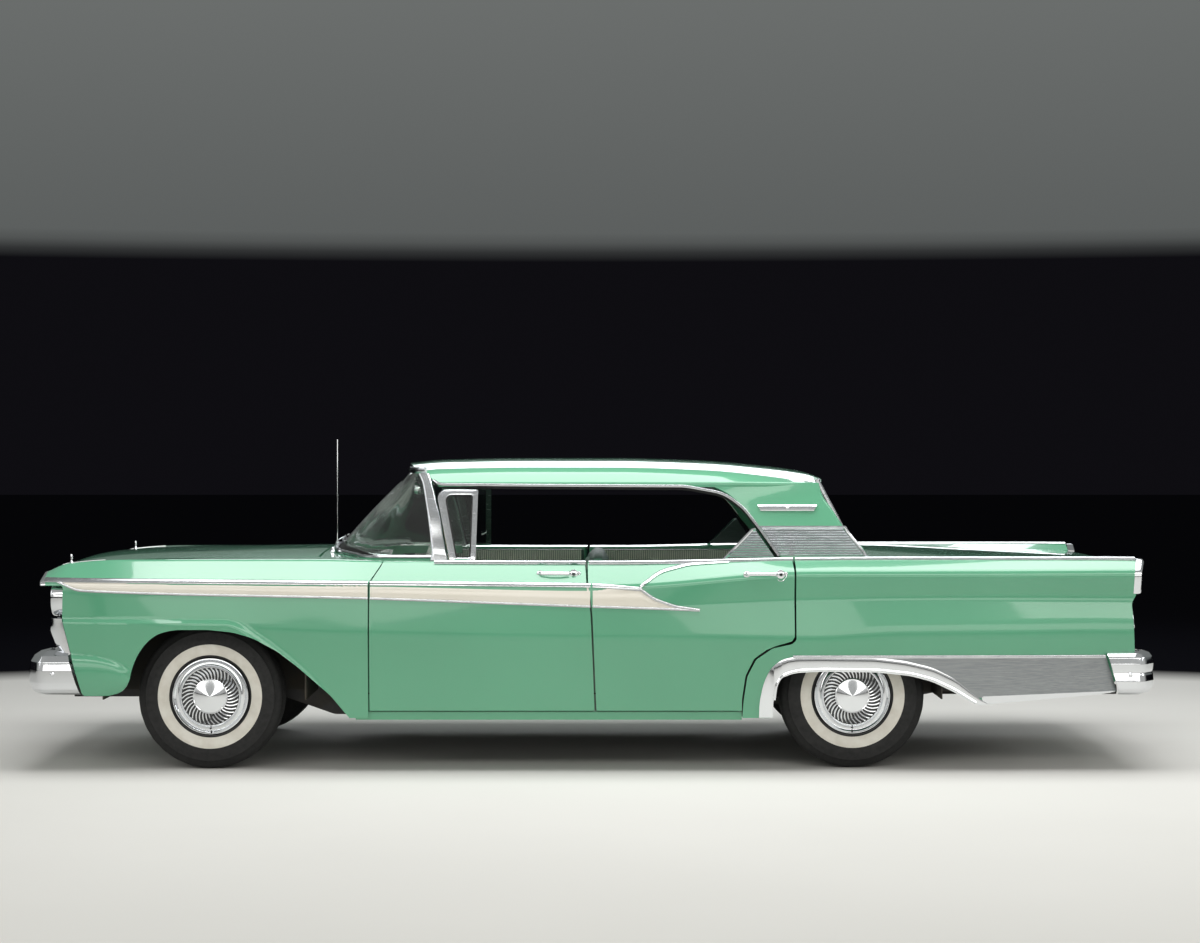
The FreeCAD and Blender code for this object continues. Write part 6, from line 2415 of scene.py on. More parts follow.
            fore = lambda z: lay.rear + MM * pchip((lay.belt + 0.024, lay.belt + 0.151), (-346, -433), z)
            aft = lambda z: lay.rear + MM * pchip((lay.belt + 0.024, lay.belt + 0.151), (67, -31), z)
            sheet = []
            for z in spans(low, high, 0.012):
                start, end = fore(z) + 0.008, aft(z) - 0.010
                face = [at(x, z, 0.002) for x in (*spans(start, end, 0.03)[:2], end)]
                sheet.append(face + [at(end, z, -0.004), at(start, z, -0.004)])
            # The ground between the bright ribs is the darker steel: painted shade between the ribs.
            ribs.append(dress(loft("panel", sheet), GROOVE_SHADE_STEEL.material()))
            for n in range(self.pillar_ribs):
                z = low + (high - low) * (n + 0.5) / self.pillar_ribs
                run = [
                    Vector(at(fore(z) + 0.012, z, 0.002)), Vector(at((fore(z) + aft(z)) / 2, z, 0.002)),
                    Vector(at(aft(z) - 0.014, z, 0.002)),
                ]
                rib = sweep("rib", run, [
                    (-0.002, -0.0045), (0.0034, -0.0030), (0.0052, 0), (0.0034, 0.0030), (-0.002, 0.0045)
                ], Vector((0, flip, 0)))
                ribs.append(dress(rib, BRIGHT.material()))
            edge = [
                Vector(at(fore(high) - 0.002, high + 0.004, 0.001)),
                Vector(at(aft(high) + 0.002, high + 0.004, 0.001)),
            ]
            rear_edge = [Vector(at(aft(z), z, 0.001)) for z in spans(high + 0.004, low - 0.004, 0.02)]
            strip = [(-0.004, -0.006), (0.003, -0.006), (0.006, 0), (0.003, 0.006), (-0.004, 0.006)]
            borders.append(sweep("top_edge", evenly(edge, 6), strip, Vector((0, flip, 0))))
            borders.append(sweep("rear_edge", rear_edge, strip, Vector((0.2, flip, 0))))
            z = lay.belt + 0.248
            start, end = lay.rear - 0.440, lay.rear - 0.159
            levels = (
                (0.0145, -0.003), (0.0140, 0.005), (0.0080, 0.009), (0.0020, 0.009), (0.0, 0.006),
                (-0.0020, 0.009), (-0.0090, 0.009), (-0.0140, 0.005), (-0.0145, -0.003),
            )
            rings = []
            for share in shares(12):
                x = start + (end - start) * share
                rings.append(
                    [at(x + (0.0145 - rise) * 0.55 * (1 - 2 * share), z + rise, out) for rise, out in levels]
                )
            darts.append(loft("dart", rings))
            boss = lathe("boss", [
                (0, 0.013), (0.006, 0.0125), (0.010, 0.009), (0.011, -0.004), (0, -0.004)
            ], at((start + end) / 2, z, 0), "y", 24, flip)
            darts.append(boss)
            self.door_corner(side, at)
        finish_piece(joined("pillar_ribbed_panels", ribs), None, "body", slot="chrome", crease=35)
        finish_piece(joined("pillar_borders", borders), BRIGHT, "body", slot="chrome", crease=35)
        finish_piece(joined("pillar_darts", darts), CHROME, "body", slot="chrome", crease=40)

    def door_corner(self, side: Side, at: Callable[[float, float, float], Point3]) -> None:
        """The ribbed three-cornered plate in the rear door's window corner, with its bright edge.

        Args:
            side: Which side.
            at: Gives a point on the pillar's leaning plane at x and z, lifted off it.
        """
        lay, flip = self.lay, side.value
        low, high = lay.belt + 0.018, lay.belt + 0.143
        fore = lambda z: lay.rear + MM * pchip((low, high), (-592, -466), z)
        aft = lambda z: lay.rear + MM * pchip((low, high), (-356, -442), z) - 0.008
        sheet = []
        for z in spans(low, high, 0.012):
            sheet.append([
                at(fore(z), z, 0.0), at(aft(z), z, 0.0), at(aft(z), z, -0.006), at(fore(z), z, -0.006)
            ])
        # The plate between the bright ribs is the darker steel: painted shade between the ribs.
        parts = [dress(loft("plate", sheet), GROOVE_SHADE_STEEL.material())]
        section = [(-0.002, -0.0045), (0.0030, -0.0030), (0.0045, 0), (0.0030, 0.0030), (-0.002, 0.0045)]
        for n in range(11):
            z = low + (high - low) * (n + 0.5) / 11
            run = [
                Vector(at(fore(z) + 0.006, z, 0)), Vector(at((fore(z) + aft(z)) / 2, z, 0)),
                Vector(at(aft(z), z, 0)),
            ]
            parts.append(dress(sweep("rib", run, section, Vector((0, flip, 0))), BRIGHT.material()))
        edge = [
            Vector(at(fore(low) - 0.012, low - 0.010, 0.008)), Vector(at(fore(high), high + 0.004, 0.008)),
            Vector(at(aft(high), high + 0.005, 0.008)),
        ]
        strip = [(-0.006, -0.006), (0.003, -0.006), (0.006, 0), (0.003, 0.006), (-0.006, 0.006)]
        path = evenly(rounded([(*p, r) for p, r in zip(edge, (0, 0.008, 0))], closed=False), 24)
        parts.append(dress(sweep("edge", path, strip, Vector((0, flip, 0))), CHROME.material()))
        body = f"rear_door_{side.word}"
        finish_piece(joined(f"{body}_corner_plate", parts), None, body, slot="chrome", crease=35)

    def vent_window(self, side: Side) -> None:
        """Makes a swinging quarter light: a thick bright frame, its pane and its catch.

        Args:
            side: Side of the car.
        """
        lay = self.lay
        top = lay.rail - 0.012
        low = lay.belt + 0.006
        lean = 0.135 / (top - lay.belt)
        flip = side.value
        base_y = 0.823

        def at(x: float, z: float, lift: float) -> Point3:
            """A point on the window's leaning plane, lifted off it."""
            return (x, flip * (base_y - (z - lay.belt) * lean + lift), z)

        outer = [(p.x, p.y) for p in evenly(rounded([
            (-0.662, low, 0.004), (-0.541, low, 0.004), (-0.535, top, 0.004), (-0.735, top, 0.040)
        ], steps=8), 80, True)]
        inner = [(p.x, p.y) for p in evenly(rounded([
            (-0.630, low + 0.012, 0.012), (-0.567, low + 0.012, 0.006), (-0.562, top - 0.026, 0.006),
            (-0.690, top - 0.026, 0.024),
        ], steps=8), 80, True)]
        rings = []
        for a, b in zip(outer, inner):
            middle = ((a[0] + b[0]) / 2, (a[1] + b[1]) / 2)
            rings.append([at(*a, -0.007), at(*a, 0.003), at(*middle, 0.0075), at(*b, 0.004), at(*b, -0.007)])
        rings.append(rings[0])
        frame = dress(loft("frame", rings, caps=False), BRIGHT.material())
        faces = [[at(x, z, lift) for x, z in inner] for lift in (0.002, -0.003)]
        glass = loft(f"vent_window_{side.word}_glass", faces)
        bead = sweep(
            "bead",
            [at(x, z, 0.003) for x, z in inner],
            [(-0.003, -0.003), (0.003, -0.003), (0.003, 0.003), (-0.003, 0.003)],
            Vector((0, flip, 0)),
            closed=True,
        )
        catch = tube("catch", [
            at(-0.566, low + 0.070, -0.006), at(-0.566, low + 0.070, -0.020), at(-0.590, low + 0.060, -0.022)
        ], 0.004, 10)
        name = f"vent_window_{side.word}"
        parts = [frame, dress(bead, SEAL.material()), dress(catch, CHROME.material())]
        finish_piece(
            joined(f"{name}_frame", parts), None, f"front_door_{side.word}", name, slot="chrome", crease=35
        )
        finish_piece(glass, GLASS, f"front_door_{side.word}", slot="glass", crease=60)


# ------------------------------------------------------------------ bumpers, grille and lamps
@dataclass
class Bumper:
    """A pressed chrome bar wrapped round one end of the car, with its dome bolts."""

    lay: Layout
    rear: bool
    tip_y: float
    low: float
    high: float
    reach_top: float
    reach_low: float
    faces: Sequence[Point2]
    bow: float = 0.024
    turn: float = 0.092
    wall: float = 0.004
    dip: float = 0.034

    def plan(self) -> list[Vector]:
        """Draws the right half's outer line in plan, from the middle to its tip.

        Returns:
            The line, as (back from the end, y).
        """
        corners = [
            (0.0, 0.0, 0), (0.008, 0.55, 0.8), (self.bow, 0.870, 0.10), (self.turn, self.tip_y, 0.07),
            (0.200, self.tip_y, 0),
        ]
        return rounded(corners, closed=False, steps=10)

    def build(self) -> None:
        """Makes and dresses the bar."""
        tip = -1 if not self.rear else 1
        end = self.lay.tail if self.rear else self.lay.nose
        half = self.plan()
        turn = self.turn
        line = [Vector((p.x, -p.y)) for p in half[:0:-1]] + half
        line = [p for n, p in enumerate(line) if n == 0 or (p - line[n - 1]).length > 1e-4]
        normals = []
        for n, p in enumerate(line):
            along = line[min(n + 1, len(line) - 1)] - line[max(n - 1, 0)]
            normals.append(Vector((-along.y, along.x)).normalized())
        rings = []
        shape = list(self.faces)
        profile = rounded([(o, z, 0.012) for z, o in shape], closed=False, steps=3)
        for n, p in enumerate(line):
            ring = []
            for deeper, points in ((0.0, profile), (self.wall, profile[::-1])):
                for q in points:
                    share = (q.y - self.low) / (self.high - self.low)
                    reach = self.reach_low + (self.reach_top - self.reach_low) * share
                    back = p.x
                    if back > turn:
                        back = turn + (back - turn) * (reach - turn) / (0.200 - turn)
                    place = Vector((back, p.y)) + normals[n] * (q.x - deeper)
                    sunk = self.dip * (1 - smooth((abs(p.y) - 0.35) / 0.45)) * max(share, 0)
                    ring.append((end - tip * place.x, place.y, q.y - sunk))
            rings.append(ring)
        bar = loft("bar", rings)
        bolts = []
        dome = [(0, 0.010), (0.004, 0.0095), (0.009, 0.006), (0.011, 0.001), (0.0112, -0.006), (0, -0.006)]
        for side in Side:
            flip = side.value
            place = (end - tip * 0.155, flip * (self.tip_y - 0.004), self.low + 0.47 * (self.high - self.low))
            bolts.append(lathe("bolt", dome, place, "y", 24, flip))
            for y in (0.30, 0.62):
                back = next(a.x for a in half if a.y >= y)
                bolts.append(lathe("bolt", dome, (
                    end - tip * (back + 0.004), flip * y, place[2] + 0.01
                ), "x", 24, tip))
        name = "rear_bumper" if self.rear else "front_bumper"
        finish_piece(joined(f"{name}_bar", [bar, *bolts]), CHROME, "body", name, slot="chrome", crease=45)


@dataclass
class FrontEnd:
    """Headlights, bezels, grille, nose trim, valance and wing ornaments."""

    lay: Layout
    lamp_radius: float = 0.072
    lamp_z: float = 0.803

    def build(self) -> None:
        """Makes and dresses the front."""
        faces = (
            (0.356, -0.044), (0.364, -0.024), (0.384, -0.009), (0.398, -0.006), (0.410, 0.0), (0.470, 0.0),
            (0.508, -0.006), (0.536, -0.024), (0.556, -0.055), (0.566, -0.098),
        )
        Bumper(self.lay, False, 0.965, 0.354, 0.566, 0.214, 0.280, faces).build()
        self.lamps()
        self.bezels()
        self.grille()
        self.nose_trim()
        self.ornaments()

    def face_x(self, y: float, z: float) -> float:
        """X of the front face at y and z: bowed in plan and sloped back at its foot."""
        return self.lay.nose + 0.118 + 0.050 * (abs(y) / 0.9) ** 3 + 0.30 * max(0.70 - z, 0)

    def lamps(self) -> None:
        """Four sealed-beam lamps: bright bowl, fluted lens and retaining ring."""
        parts = []
        for side in Side:
            for y in (0.652, 0.822):
                place = (self.lay.nose + 0.158, side.value * y, self.lamp_z)
                r = self.lamp_radius
                lens = [
                    (0, 0.016), (0.2 * r, 0.0155), (0.45 * r, 0.0125), (0.7 * r, 0.0085), (0.92 * r, 0.002),
                    (0.96 * r, -0.002), (0.96 * r, -0.006), (0.9 * r, -0.003), (0.7 * r, 0.0035),
                    (0.45 * r, 0.0075), (0, 0.010),
                ]
                bowl = [
                    (0, -0.032), (0.30 * r, -0.030), (0.62 * r, -0.022), (0.86 * r, -0.010),
                    (0.95 * r, -0.004), (0.99 * r, -0.004), (0.99 * r, -0.012), (0.66 * r, -0.030),
                    (0, -0.038),
                ]
                ring = [
                    (0.93 * r, -0.002), (0.935 * r, 0.005), (0.965 * r, 0.008), (1.0 * r, 0.006),
                    (1.01 * r, -0.010), (0.97 * r, -0.012), (0.93 * r, -0.002),
                ]
                parts.append(dress(lathe("lens", lens, place, "x", 72, -1), CLEAR_LENS.material()))
                parts.append(dress(lathe("bowl", bowl, place, "x", 48, -1), CHROME.material()))
                parts.append(dress(lathe("ring", ring, place, "x", 72, -1), CHROME.material()))
                flute = loft(
                    "flute",
                    [
                        [(-0.0012, -0.0022, z), (0.0, -0.0030, z), (0.0012, -0.0022, z), (0.0, 0.001, z)]
                        for z in (-0.62 * r, -0.3 * r, 0, 0.3 * r, 0.62 * r)
                    ],
                )
                first = (place[0] - 0.006, place[1] - 0.6 * r, place[2])
                parts.append(Repeater.lay(flute, 12, CLEAR_LENS, first, (0, 1.2 * r / 11, 0)))
        finish_piece(
            joined("headlight_units", parts), None, "body", "headlights", slot="lamp_glass", crease=40
        )

    def bezels(self) -> None:
        """Oval twin bezels with a raised lip round each lamp."""
        parts = []
        for side in Side:
            flip = side.value
            outline = [(flip * y, z, r) for y, z, r in (
                (0.566, 0.716, 0.070), (0.918, 0.716, 0.075), (0.926, 0.866, 0.060), (0.566, 0.886, 0.060)
            )]
            ring = [Vector((p.x, p.y)) for p in evenly(rounded(outline, steps=10), 72, True)]
            middle = Vector((flip * 0.737, self.lamp_z))
            rings = []
            for back, shrink in (
                (0.062, 0.0), (0.006, 0.0), (0.000, 0.004), (0.002, 0.010), (0.014, 0.018), (0.018, 0.024),
                (0.020, 0.030),
            ):
                rings.append([(self.lay.nose + 0.138 + back, *q) for q in drawn_in(ring, middle, shrink)])
            shell = loft("bezel", rings)
            for y in (0.652, 0.822):
                hole = lathe("hole", [
                    (0, -0.08), (self.lamp_radius - 0.001, -0.08), (self.lamp_radius - 0.001, 0.08), (0, 0.08)
                ], (self.lay.nose + 0.15, flip * y, self.lamp_z), "x", 64)
                boolean(shell, hole, "DIFFERENCE")
            parts.append(dress(shell, CHROME.material()))
        finish_piece(joined("twin_bezels", parts), None, "body", "headlight_bezels", slot="chrome", crease=35)

    def grille(self) -> None:
        """Fine bars with small pointed studs over a black sheet that paints the opening's shade, inside a
        bright surround, with the parking lamps.
        """
        parts = []
        dark = []
        # Black sheet behind the bars stands for the dark opening: partly the black radiator behind it, partly
        # painted shade.
        for low, high, reach in ((0.560, 0.700, 0.885), (0.700, 0.856, 0.548)):
            rows = [
                [(self.face_x(y, z) + 0.030, y, z) for y in spans(-reach, reach, 0.07)] for z in (low, high)
            ]
            back = [[(x + 0.006, y, z) for x, y, z in row] for row in rows]
            dark.append(loft("ground", [a + b[::-1] for a, b in zip(rows, back)]))
        parts.append(dress(joined("ground", dark), WHEEL_BLACK.material()))
        for z in [0.575 + 0.0175 * n for n in range(16)]:
            reach = 0.880 if z < 0.70 else 0.546
            path = [(self.face_x(y, z) + 0.022, y, z) for y in spans(-reach, reach, 0.05)]
            parts.append(
                dress(sweep("bar", path, [
                    (-0.006, -0.0014), (0.003, -0.0014), (0.005, 0), (0.003, 0.0014), (-0.006, 0.0014)
                ], Vector((-1, 0, 0))), GRILLE_METAL.material())
            )
        for row, z in enumerate([0.592 + 0.0525 * n for n in range(5)]):
            reach = 0.800 if z < 0.69 else 0.480
            count = 2 * int(reach / 0.080) + 1 - row % 2
            start = -0.040 * (count - 1)
            for n in range(count):
                y = start + 0.080 * n
                parts.append(self.stud((self.face_x(y, z) + 0.008, y, z)))
        studs = [piece for piece in parts if piece.name.startswith("stud")]
        parts = [piece for piece in parts if not piece.name.startswith("stud")]
        parts.append(dress(joined("studs", studs), CHROME.material()))
        frame = [
            (0, 0.862, 0), (
                0.540, 0.860, 0.02
            ), (0.556, 0.706, 0.02), (0.905, 0.700, 0.03), (0.900, 0.556, 0.03), (0, 0.548, 0),
        ]
        right = rounded(frame, closed=False, steps=6)
        loop = [Vector((-p.x, p.y)) for p in right[-2:0:-1]]
        loop = right + loop
        path = [Vector((self.face_x(p.x, p.y) + 0.006, p.x, p.y)) for p in evenly(loop, 160, True)]
        surround = sweep("surround", path, [
            (-0.020, -0.009), (0.008, -0.009), (0.014, -0.004), (0.014, 0.004), (0.008, 0.009),
            (-0.020, 0.009),
        ], Vector((-1, 0, 0)), closed=True)
        parts.append(dress(surround, CHROME.material()))
        for side in Side:
            parts.append(dress(self.end_piece(side), CHROME.material()))
            place = (self.face_x(0.815, 0.628) + 0.006, side.value * 0.815, 0.628)
            lens = [(0, 0.012), (0.018, 0.011), (0.032, 0.006), (0.036, 0.0), (0.036, -0.01), (0, -0.01)]
            parts.append(dress(lathe("parking", lens, place, "x", 48, -1), CLEAR_LENS.material()))
            ring = [
                (0.035, -0.006), (0.036, 0.006), (0.041, 0.009), (0.047, 0.004), (0.047, -0.008),
                (0.035, -0.006),
            ]
            parts.append(dress(lathe("parking_ring", ring, place, "x", 48, -1), CHROME.material()))
        finish_piece(joined("grille_assembly", parts), None, "body", "grille", slot="chrome", crease=35)
        self.valance()

    def stud(self, place: Point3) -> Piece:
        """Makes a four-pointed stud on a short stalk.

        Args:
            place: Its foot.

        Returns:
            The stud.
        """
        x, y, z = place
        points = [(x - 0.006, y, z), (x + 0.014, y, z)]
        for n in range(8):
            r = 0.021 if n % 2 == 0 else 0.0075
            points.append((x + 0.003, y + r * math.sin(n * math.pi / 4), z + r * math.cos(n * math.pi / 4)))
        faces = [
            (0, 2 + n, 2 + (n + 1) % 8) for n in range(8)
        ] + [(1, 2 + (n + 1) % 8, 2 + n) for n in range(8)]
        return mesh_object("stud", points, faces)

    def end_piece(self, side: Side) -> Piece:
        """Makes the slanting bright pressing that carries the grille round the corner of the wing.

        Args:
            side: Side of the car.

        Returns:
            The pressing.
        """
        flip = side.value
        rings = []
        for share in shares(14):
            z = 0.708 - 0.160 * share
            front = self.lay.nose + pchip(
                (0.545, 0.570, 0.616, 0.662, 0.708), (0.182, 0.160, 0.138, 0.124, 0.126), z
            )
            back = self.lay.nose + 0.188 + 0.262 * (0.712 - z)
            out = self.lay.side_y(back, z) + 0.002
            ring = rounded([
                (front + 0.016, 0.862, 0.004), (front, 0.890, 0.02), ((front + back) / 2, out - 0.004, 0.02),
                (back, out, 0.002), (back, out - 0.030, 0.004),
            ], steps=4)
            rings.append([(p.x, flip * p.y, z) for p in ring])
        return loft("end_piece", rings)

    def valance(self) -> None:
        """The painted pan behind the bumper, closing the front below the grille."""
        rings = []
        for y in spans(-0.905, 0.905, 0.06):
            base = self.face_x(y, 0.56)
            line = rounded([
                (base + 0.030, 0.552, 0), (base + 0.012, 0.545, 0.02), (base + 0.040, 0.430, 0.10),
                (base + 0.150, 0.362, 0.06), (base + 0.230, 0.360, 0), (base + 0.230, 0.372, 0),
                (base + 0.052, 0.440, 0.05),
            ], steps=5)
            rings.append([(p.x, y, p.y) for p in line])
        finish_piece(loft("front_valance", rings), SEAFOAM, "body", slot="paint")

    def nose_trim(self) -> None:
        """Bright caps on the wing tips and a bright lip along the front of the bonnet."""
        lay = self.lay
        path = [
            Vector((lay.nose + 0.100, y, lay.top_z(lay.nose + 0.104, y) - 0.010))
            for y in spans(-0.690, 0.690, 0.05)
        ]
        section = [
            (-0.006, -0.012), (0.006, -0.012), (0.012, -0.005), (0.012, 0.005), (0.006, 0.011),
            (-0.006, 0.011),
        ]
        lip = sweep("bonnet_lip_moulding", path, section, Vector((-1, 0, 0)))
        finish_piece(lip, CHROME, "bonnet", slot="chrome", crease=35)
        caps = []
        for side in Side:
            rings = []
            x0 = lay.nose + 0.092
            line = [p for p in lay.skin_line(x0) if p.y > lay.belt - 0.110]
            middle = Vector((0.80, lay.belt - 0.10))
            for back, grow in (
                (0.020, 0.003), (0.006, 0.004), (-0.004, 0.000), (-0.010, -0.012), (-0.012, -0.03)
            ):
                outer = [(x0 + back, side.value * q.x, q.y) for q in drawn_in(line, middle, -grow)]
                hollow = drawn_in(line, middle, 0.012 - min(grow, 0))
                inner = [(x0 + back, side.value * q.x, q.y) for q in hollow]
                rings.append(outer + inner[::-1])
            caps.append(loft("cap", rings))
        finish_piece(joined("wing_tip_caps", caps), CHROME, "body", slot="chrome", crease=40)

    def ornaments(self) -> None:
        """Small pegs on a bright strip along the top of each wing."""
        lay = self.lay
        parts = []
        for side in Side:
            flip = side.value
            y = 0.790
            path = []
            for x in spans(lay.nose + 0.167, lay.nose + 0.367, 0.02):
                line = lay.skin_line(x)
                z = next(
                    (
                        b.y + (a.y - b.y) * (b.x - y) / (b.x - a.x)
                        for a, b in zip(line, line[1:])
                        if a.x <= y <= b.x
                    ),
                    line[0].y,
                )
                path.append(Vector((x, flip * y, z)))
            section = [(-0.003, -0.004), (0.0015, -0.0035), (0.0028, 0), (0.0015, 0.0035), (-0.003, 0.004)]
            parts.append(sweep("strip", path, section, Vector((0, 0, 1))))
            foot = path[2]
            peg = [
                (0.0, 0.040), (0.0048, 0.0396), (0.0058, 0.036), (0.0056, 0.022), (0.0042, 0.012),
                (0.0058, 0.006), (0.010, 0.002), (0.012, -0.003), (0, -0.003),
            ]
            parts.append(lathe("peg", peg, foot, "z", 32))
        finish_piece(joined("wing_ornaments", parts), CHROME, "body", slot="chrome", crease=40)


@dataclass
class RearEnd:
    """Tail lamps, reversing lamps, fin caps, boot trim and the rear bumper."""

    lay: Layout
    lamp_y: float = 0.775
    lamp_z: float = 0.663
    lamp_radius: float = 0.126

    def build(self) -> None:
        """Makes and dresses the rear."""
        faces = (
            (0.358, -0.040), (0.366, -0.020), (0.388, -0.005), (0.420, 0.0), (0.448, -0.003), (0.460, -0.007),
            (0.472, -0.003), (0.500, 0.0), (0.530, -0.006), (0.548, -0.020), (0.557, -0.046),
        )
        Bumper(self.lay, True, 0.969, 0.358, 0.557, 0.262, 0.204, faces).build()
        self.lamps()
        self.fin_caps()
        self.boot_trim()

    def lamps(self) -> None:
        """Round red lamps with stepped lenses and bright rings, under oval reversing lamps."""
        parts = []
        r = self.lamp_radius
        x = self.lay.tail - 0.150
        for side in Side:
            place = (x, side.value * self.lamp_y, self.lamp_z)
            lens = [(0, 0.050), (0.012, 0.049), (0.024, 0.045), (0.030, 0.038), (0.033, 0.036)]
            for n in range(6):
                start = 0.036 + 0.0115 * n
                lens += [
                    (start, 0.036 - 0.0028 * n), (start + 0.004, 0.0385 - 0.0030 * n),
                    (start + 0.009, 0.0350 - 0.0032 * n),
                ]
            lens += [(0.108, 0.014), (0.110, 0.0), (0, 0.0)]
            ring = [
                (0.107, 0.0), (0.107, 0.020), (0.111, 0.026), (0.117, 0.027), (0.122, 0.021), (r, 0.008),
                (r, -0.012), (0.107, -0.012), (0.107, 0.0),
            ]
            hub = [(0, 0.056), (0.007, 0.0555), (0.012, 0.052), (0.0135, 0.046), (0.0135, 0.040), (0, 0.040)]
            parts.append(dress(lathe("lens", lens, place, "x", 96), RED_LENS.material()))
            parts.append(dress(lathe("ring", ring, place, "x", 96), CHROME.material()))
            parts.append(dress(lathe("hub", hub, place, "x", 32), CHROME.material()))
            back = (x + 0.006, side.value * 0.836, 0.876)
            parts.append(dress(lathe("reverse", [
                (0, 0.034), (0.012, 0.033), (0.026, 0.028), (0.036, 0.018), (0.039, 0.006), (0.039, 0.0),
                (0, 0.0),
            ], back, "x", 56), CLEAR_LENS.material()))
            parts.append(dress(lathe("reverse_ring", [
                (0.038, -0.004), (0.038, 0.012), (0.041, 0.017), (0.046, 0.014), (0.050, 0.004),
                (0.050, -0.012), (0.038, -0.012), (0.038, -0.004),
            ], back, "x", 56), CHROME.material()))
        finish_piece(
            joined("tail_lamp_units", parts), None, "body", "tail_lights", slot="lamp_red", crease=40
        )

    def fin_caps(self) -> None:
        """Bright caps that close the ends of the fins."""
        lay = self.lay
        caps = []
        for side in Side:
            x0 = lay.tail - 0.114
            line = [p for p in lay.skin_line(x0) if p.y > lay.belt - 0.150]
            hub = Vector((0.852, lay.belt - 0.075))
            rings = []
            for back, grow, hollow in (
                (-0.012, 0.002, 0.014), (0.006, 0.003, 0.016), (0.020, 0.000, 0.018), (0.024, -0.006, 0.018)
            ):
                outer = drawn_in(line, hub, -grow)
                inner = drawn_in(line, hub, hollow)
                slant = [0.020 * smooth((p.y - (lay.belt - 0.06)) / 0.07) for p in line]
                rings.append(
                    [(x0 + back + s, side.value * p.x, p.y) for p, s in zip(outer, slant)]
                    + [(x0 + back + s, side.value * p.x, p.y) for p, s in list(zip(inner, slant))[::-1]]
                )
            caps.append(loft("cap", rings))
        finish_piece(joined("fin_caps", caps), CHROME, "body", slot="chrome", crease=35)

    def boot_trim(self) -> None:
        """A bright bar across the foot of the lid, its lock, and a grooved panel between the lamps."""
        lay = self.lay
        x = lay.tail - 0.146
        section = [(-0.004, -0.010), (0.006, -0.009), (0.010, 0), (0.006, 0.009), (-0.004, 0.010)]
        path = [Vector((x, y, 0.722)) for y in spans(-0.545, 0.545, 0.1)]
        parts = [sweep("bar", path, section, Vector((1, 0, 0)))]
        parts.append(lathe("lock", [
            (0, 0.014), (0.006, 0.014), (0.007, 0.011), (0.016, 0.010), (0.020, 0.004), (0.020, -0.006),
            (0, -0.006),
        ], (x, 0, 0.760), "x", 40))
        finish_piece(joined("boot_lid_trim", parts), CHROME, "boot_lid", slot="chrome", crease=40)
        rail = [Vector((lay.tail - 0.155, y, 0)) for y in spans(-0.60, 0.60, 0.1)]
        groove = sweep("groove", rail, [
            (-0.002, -0.0035), (0.002, -0.003), (0.0035, 0), (0.002, 0.003), (-0.002, 0.0035)
        ], Vector((1, 0, 0)))
        # The grooved lines are in the darker steel: painted shade for the grooves.
        grooves = Repeater.lay(groove, 14, GROOVE_SHADE_STEEL, (0.0, 0.0, 0.572), (0, 0, 0.0085))
        grooves.name = "tail_grooved_panel"
        finish_piece(grooves, None, "body", slot="chrome", crease=40)


# ------------------------------------------------------------------ frame pieces that keep their shape
CARRIED: dict[str, Finish] = {
    "cowl": SEAFOAM,
    "dashboard": SEAFOAM_SATIN,
    "floor_pan": UNDERSEAL,
    "rocker_panels": SEAFOAM,
    "door_posts": SEAFOAM,
    "rear_deck": SEAFOAM,
    "tail_panel": SEAFOAM,
    "inner_wings": UNDERSEAL,
    "radiator": FRAME_BLACK,
    "plate_brackets": FRAME_BLACK,
    "chassis_frame": FRAME_BLACK,
    "engine": IRON,
    "driveshaft": STEEL,
    "fuel_tank": UNDERSEAL,
    "front_suspension": FRAME_BLACK,
    "knuckle_left": STEEL,
    "knuckle_right": STEEL,
    "rear_axle": FRAME_BLACK,
    "leaf_springs": FRAME_BLACK,
    "steering_column": SEAFOAM_SATIN,
    "antenna": CHROME,
}


def copied(node: Piece, name: str) -> Piece:
    """A mesh of the same shape as a frame piece."""
    points = [vertex.co[:] for vertex in node.data.vertices]
    return mesh_object(name, points, [tuple(face.vertices) for face in node.data.polygons])


def dress_carried(frame: dict, lay: Layout) -> None:
    """Gives every frame piece that stays its finish, and closes the gaps beside them; black blocks behind the
    rear doors' shut lines are painted shade in those gaps.

    Args:
        frame: The loaded frame.
        lay: The car's main lines.
    """
    for name, finish in CARRIED.items():
        node = frame["nodes"][name]
        for slot in node.material_slots:
            slot.material = finish.material()
        LOG.info("%s keeps its shape, in %s", name, finish.name)
    pipe = copied(frame["nodes"]["exhaust"], "exhaust_pipe")
    for vertex in pipe.data.vertices:
        vertex.co.z += 0.058 * smooth((vertex.co.x - 1.42) / 0.25)
    finish_piece(pipe, EXHAUST, "body", "exhaust", slot="frame_black")
    # Black blocks just inside the rear doors' rear edges: painted shade in the shut gaps.
    gap_shade_blocks = [
        block(
            "flange",
            (0.62, side.value * 0.778 - 0.010, 0.240),
            (0.79, side.value * 0.778 + 0.010, 0.600),
            0.003,
        )
        for side in Side
    ]
    finish_piece(joined("rear_door_rebates", gap_shade_blocks), FRAME_BLACK, "body")
    along = spans(lay.rear + 0.330, lay.tail - 0.235, 0.04)
    wells = []
    for side in Side:
        plan = [(along[0], 0.548)] + [(x, lay.side_y(x, 0.49) - 0.010) for x in along] + [(along[-1], 0.548)]
        rings = [[(x, side.value * y, z) for x, y in plan] for z in (0.486, 0.500)]
        wells.append(loft("well", rings))
    finish_piece(joined("boot_side_wells", wells), UNDERSEAL, "body")
    pan = block("tail_splash_pan", (lay.tail - 0.195, -0.800, 0.494), (lay.tail - 0.085, 0.800, 0.499), 0.002)
    finish_piece(pan, SEAFOAM, "body", slot="paint")
    arches = copied(frame["nodes"]["rear_wheelhouses"], "wheelhouse_liners")
    clean(arches, 1e-5)
    boolean(arches, block("trim", (0.70, -0.918, 0.20), (1.80, 0.918, 1.00), 0.001), "INTERSECT")
    finish_piece(arches, UNDERSEAL, "body", "rear_wheelhouses", slot="frame_black")


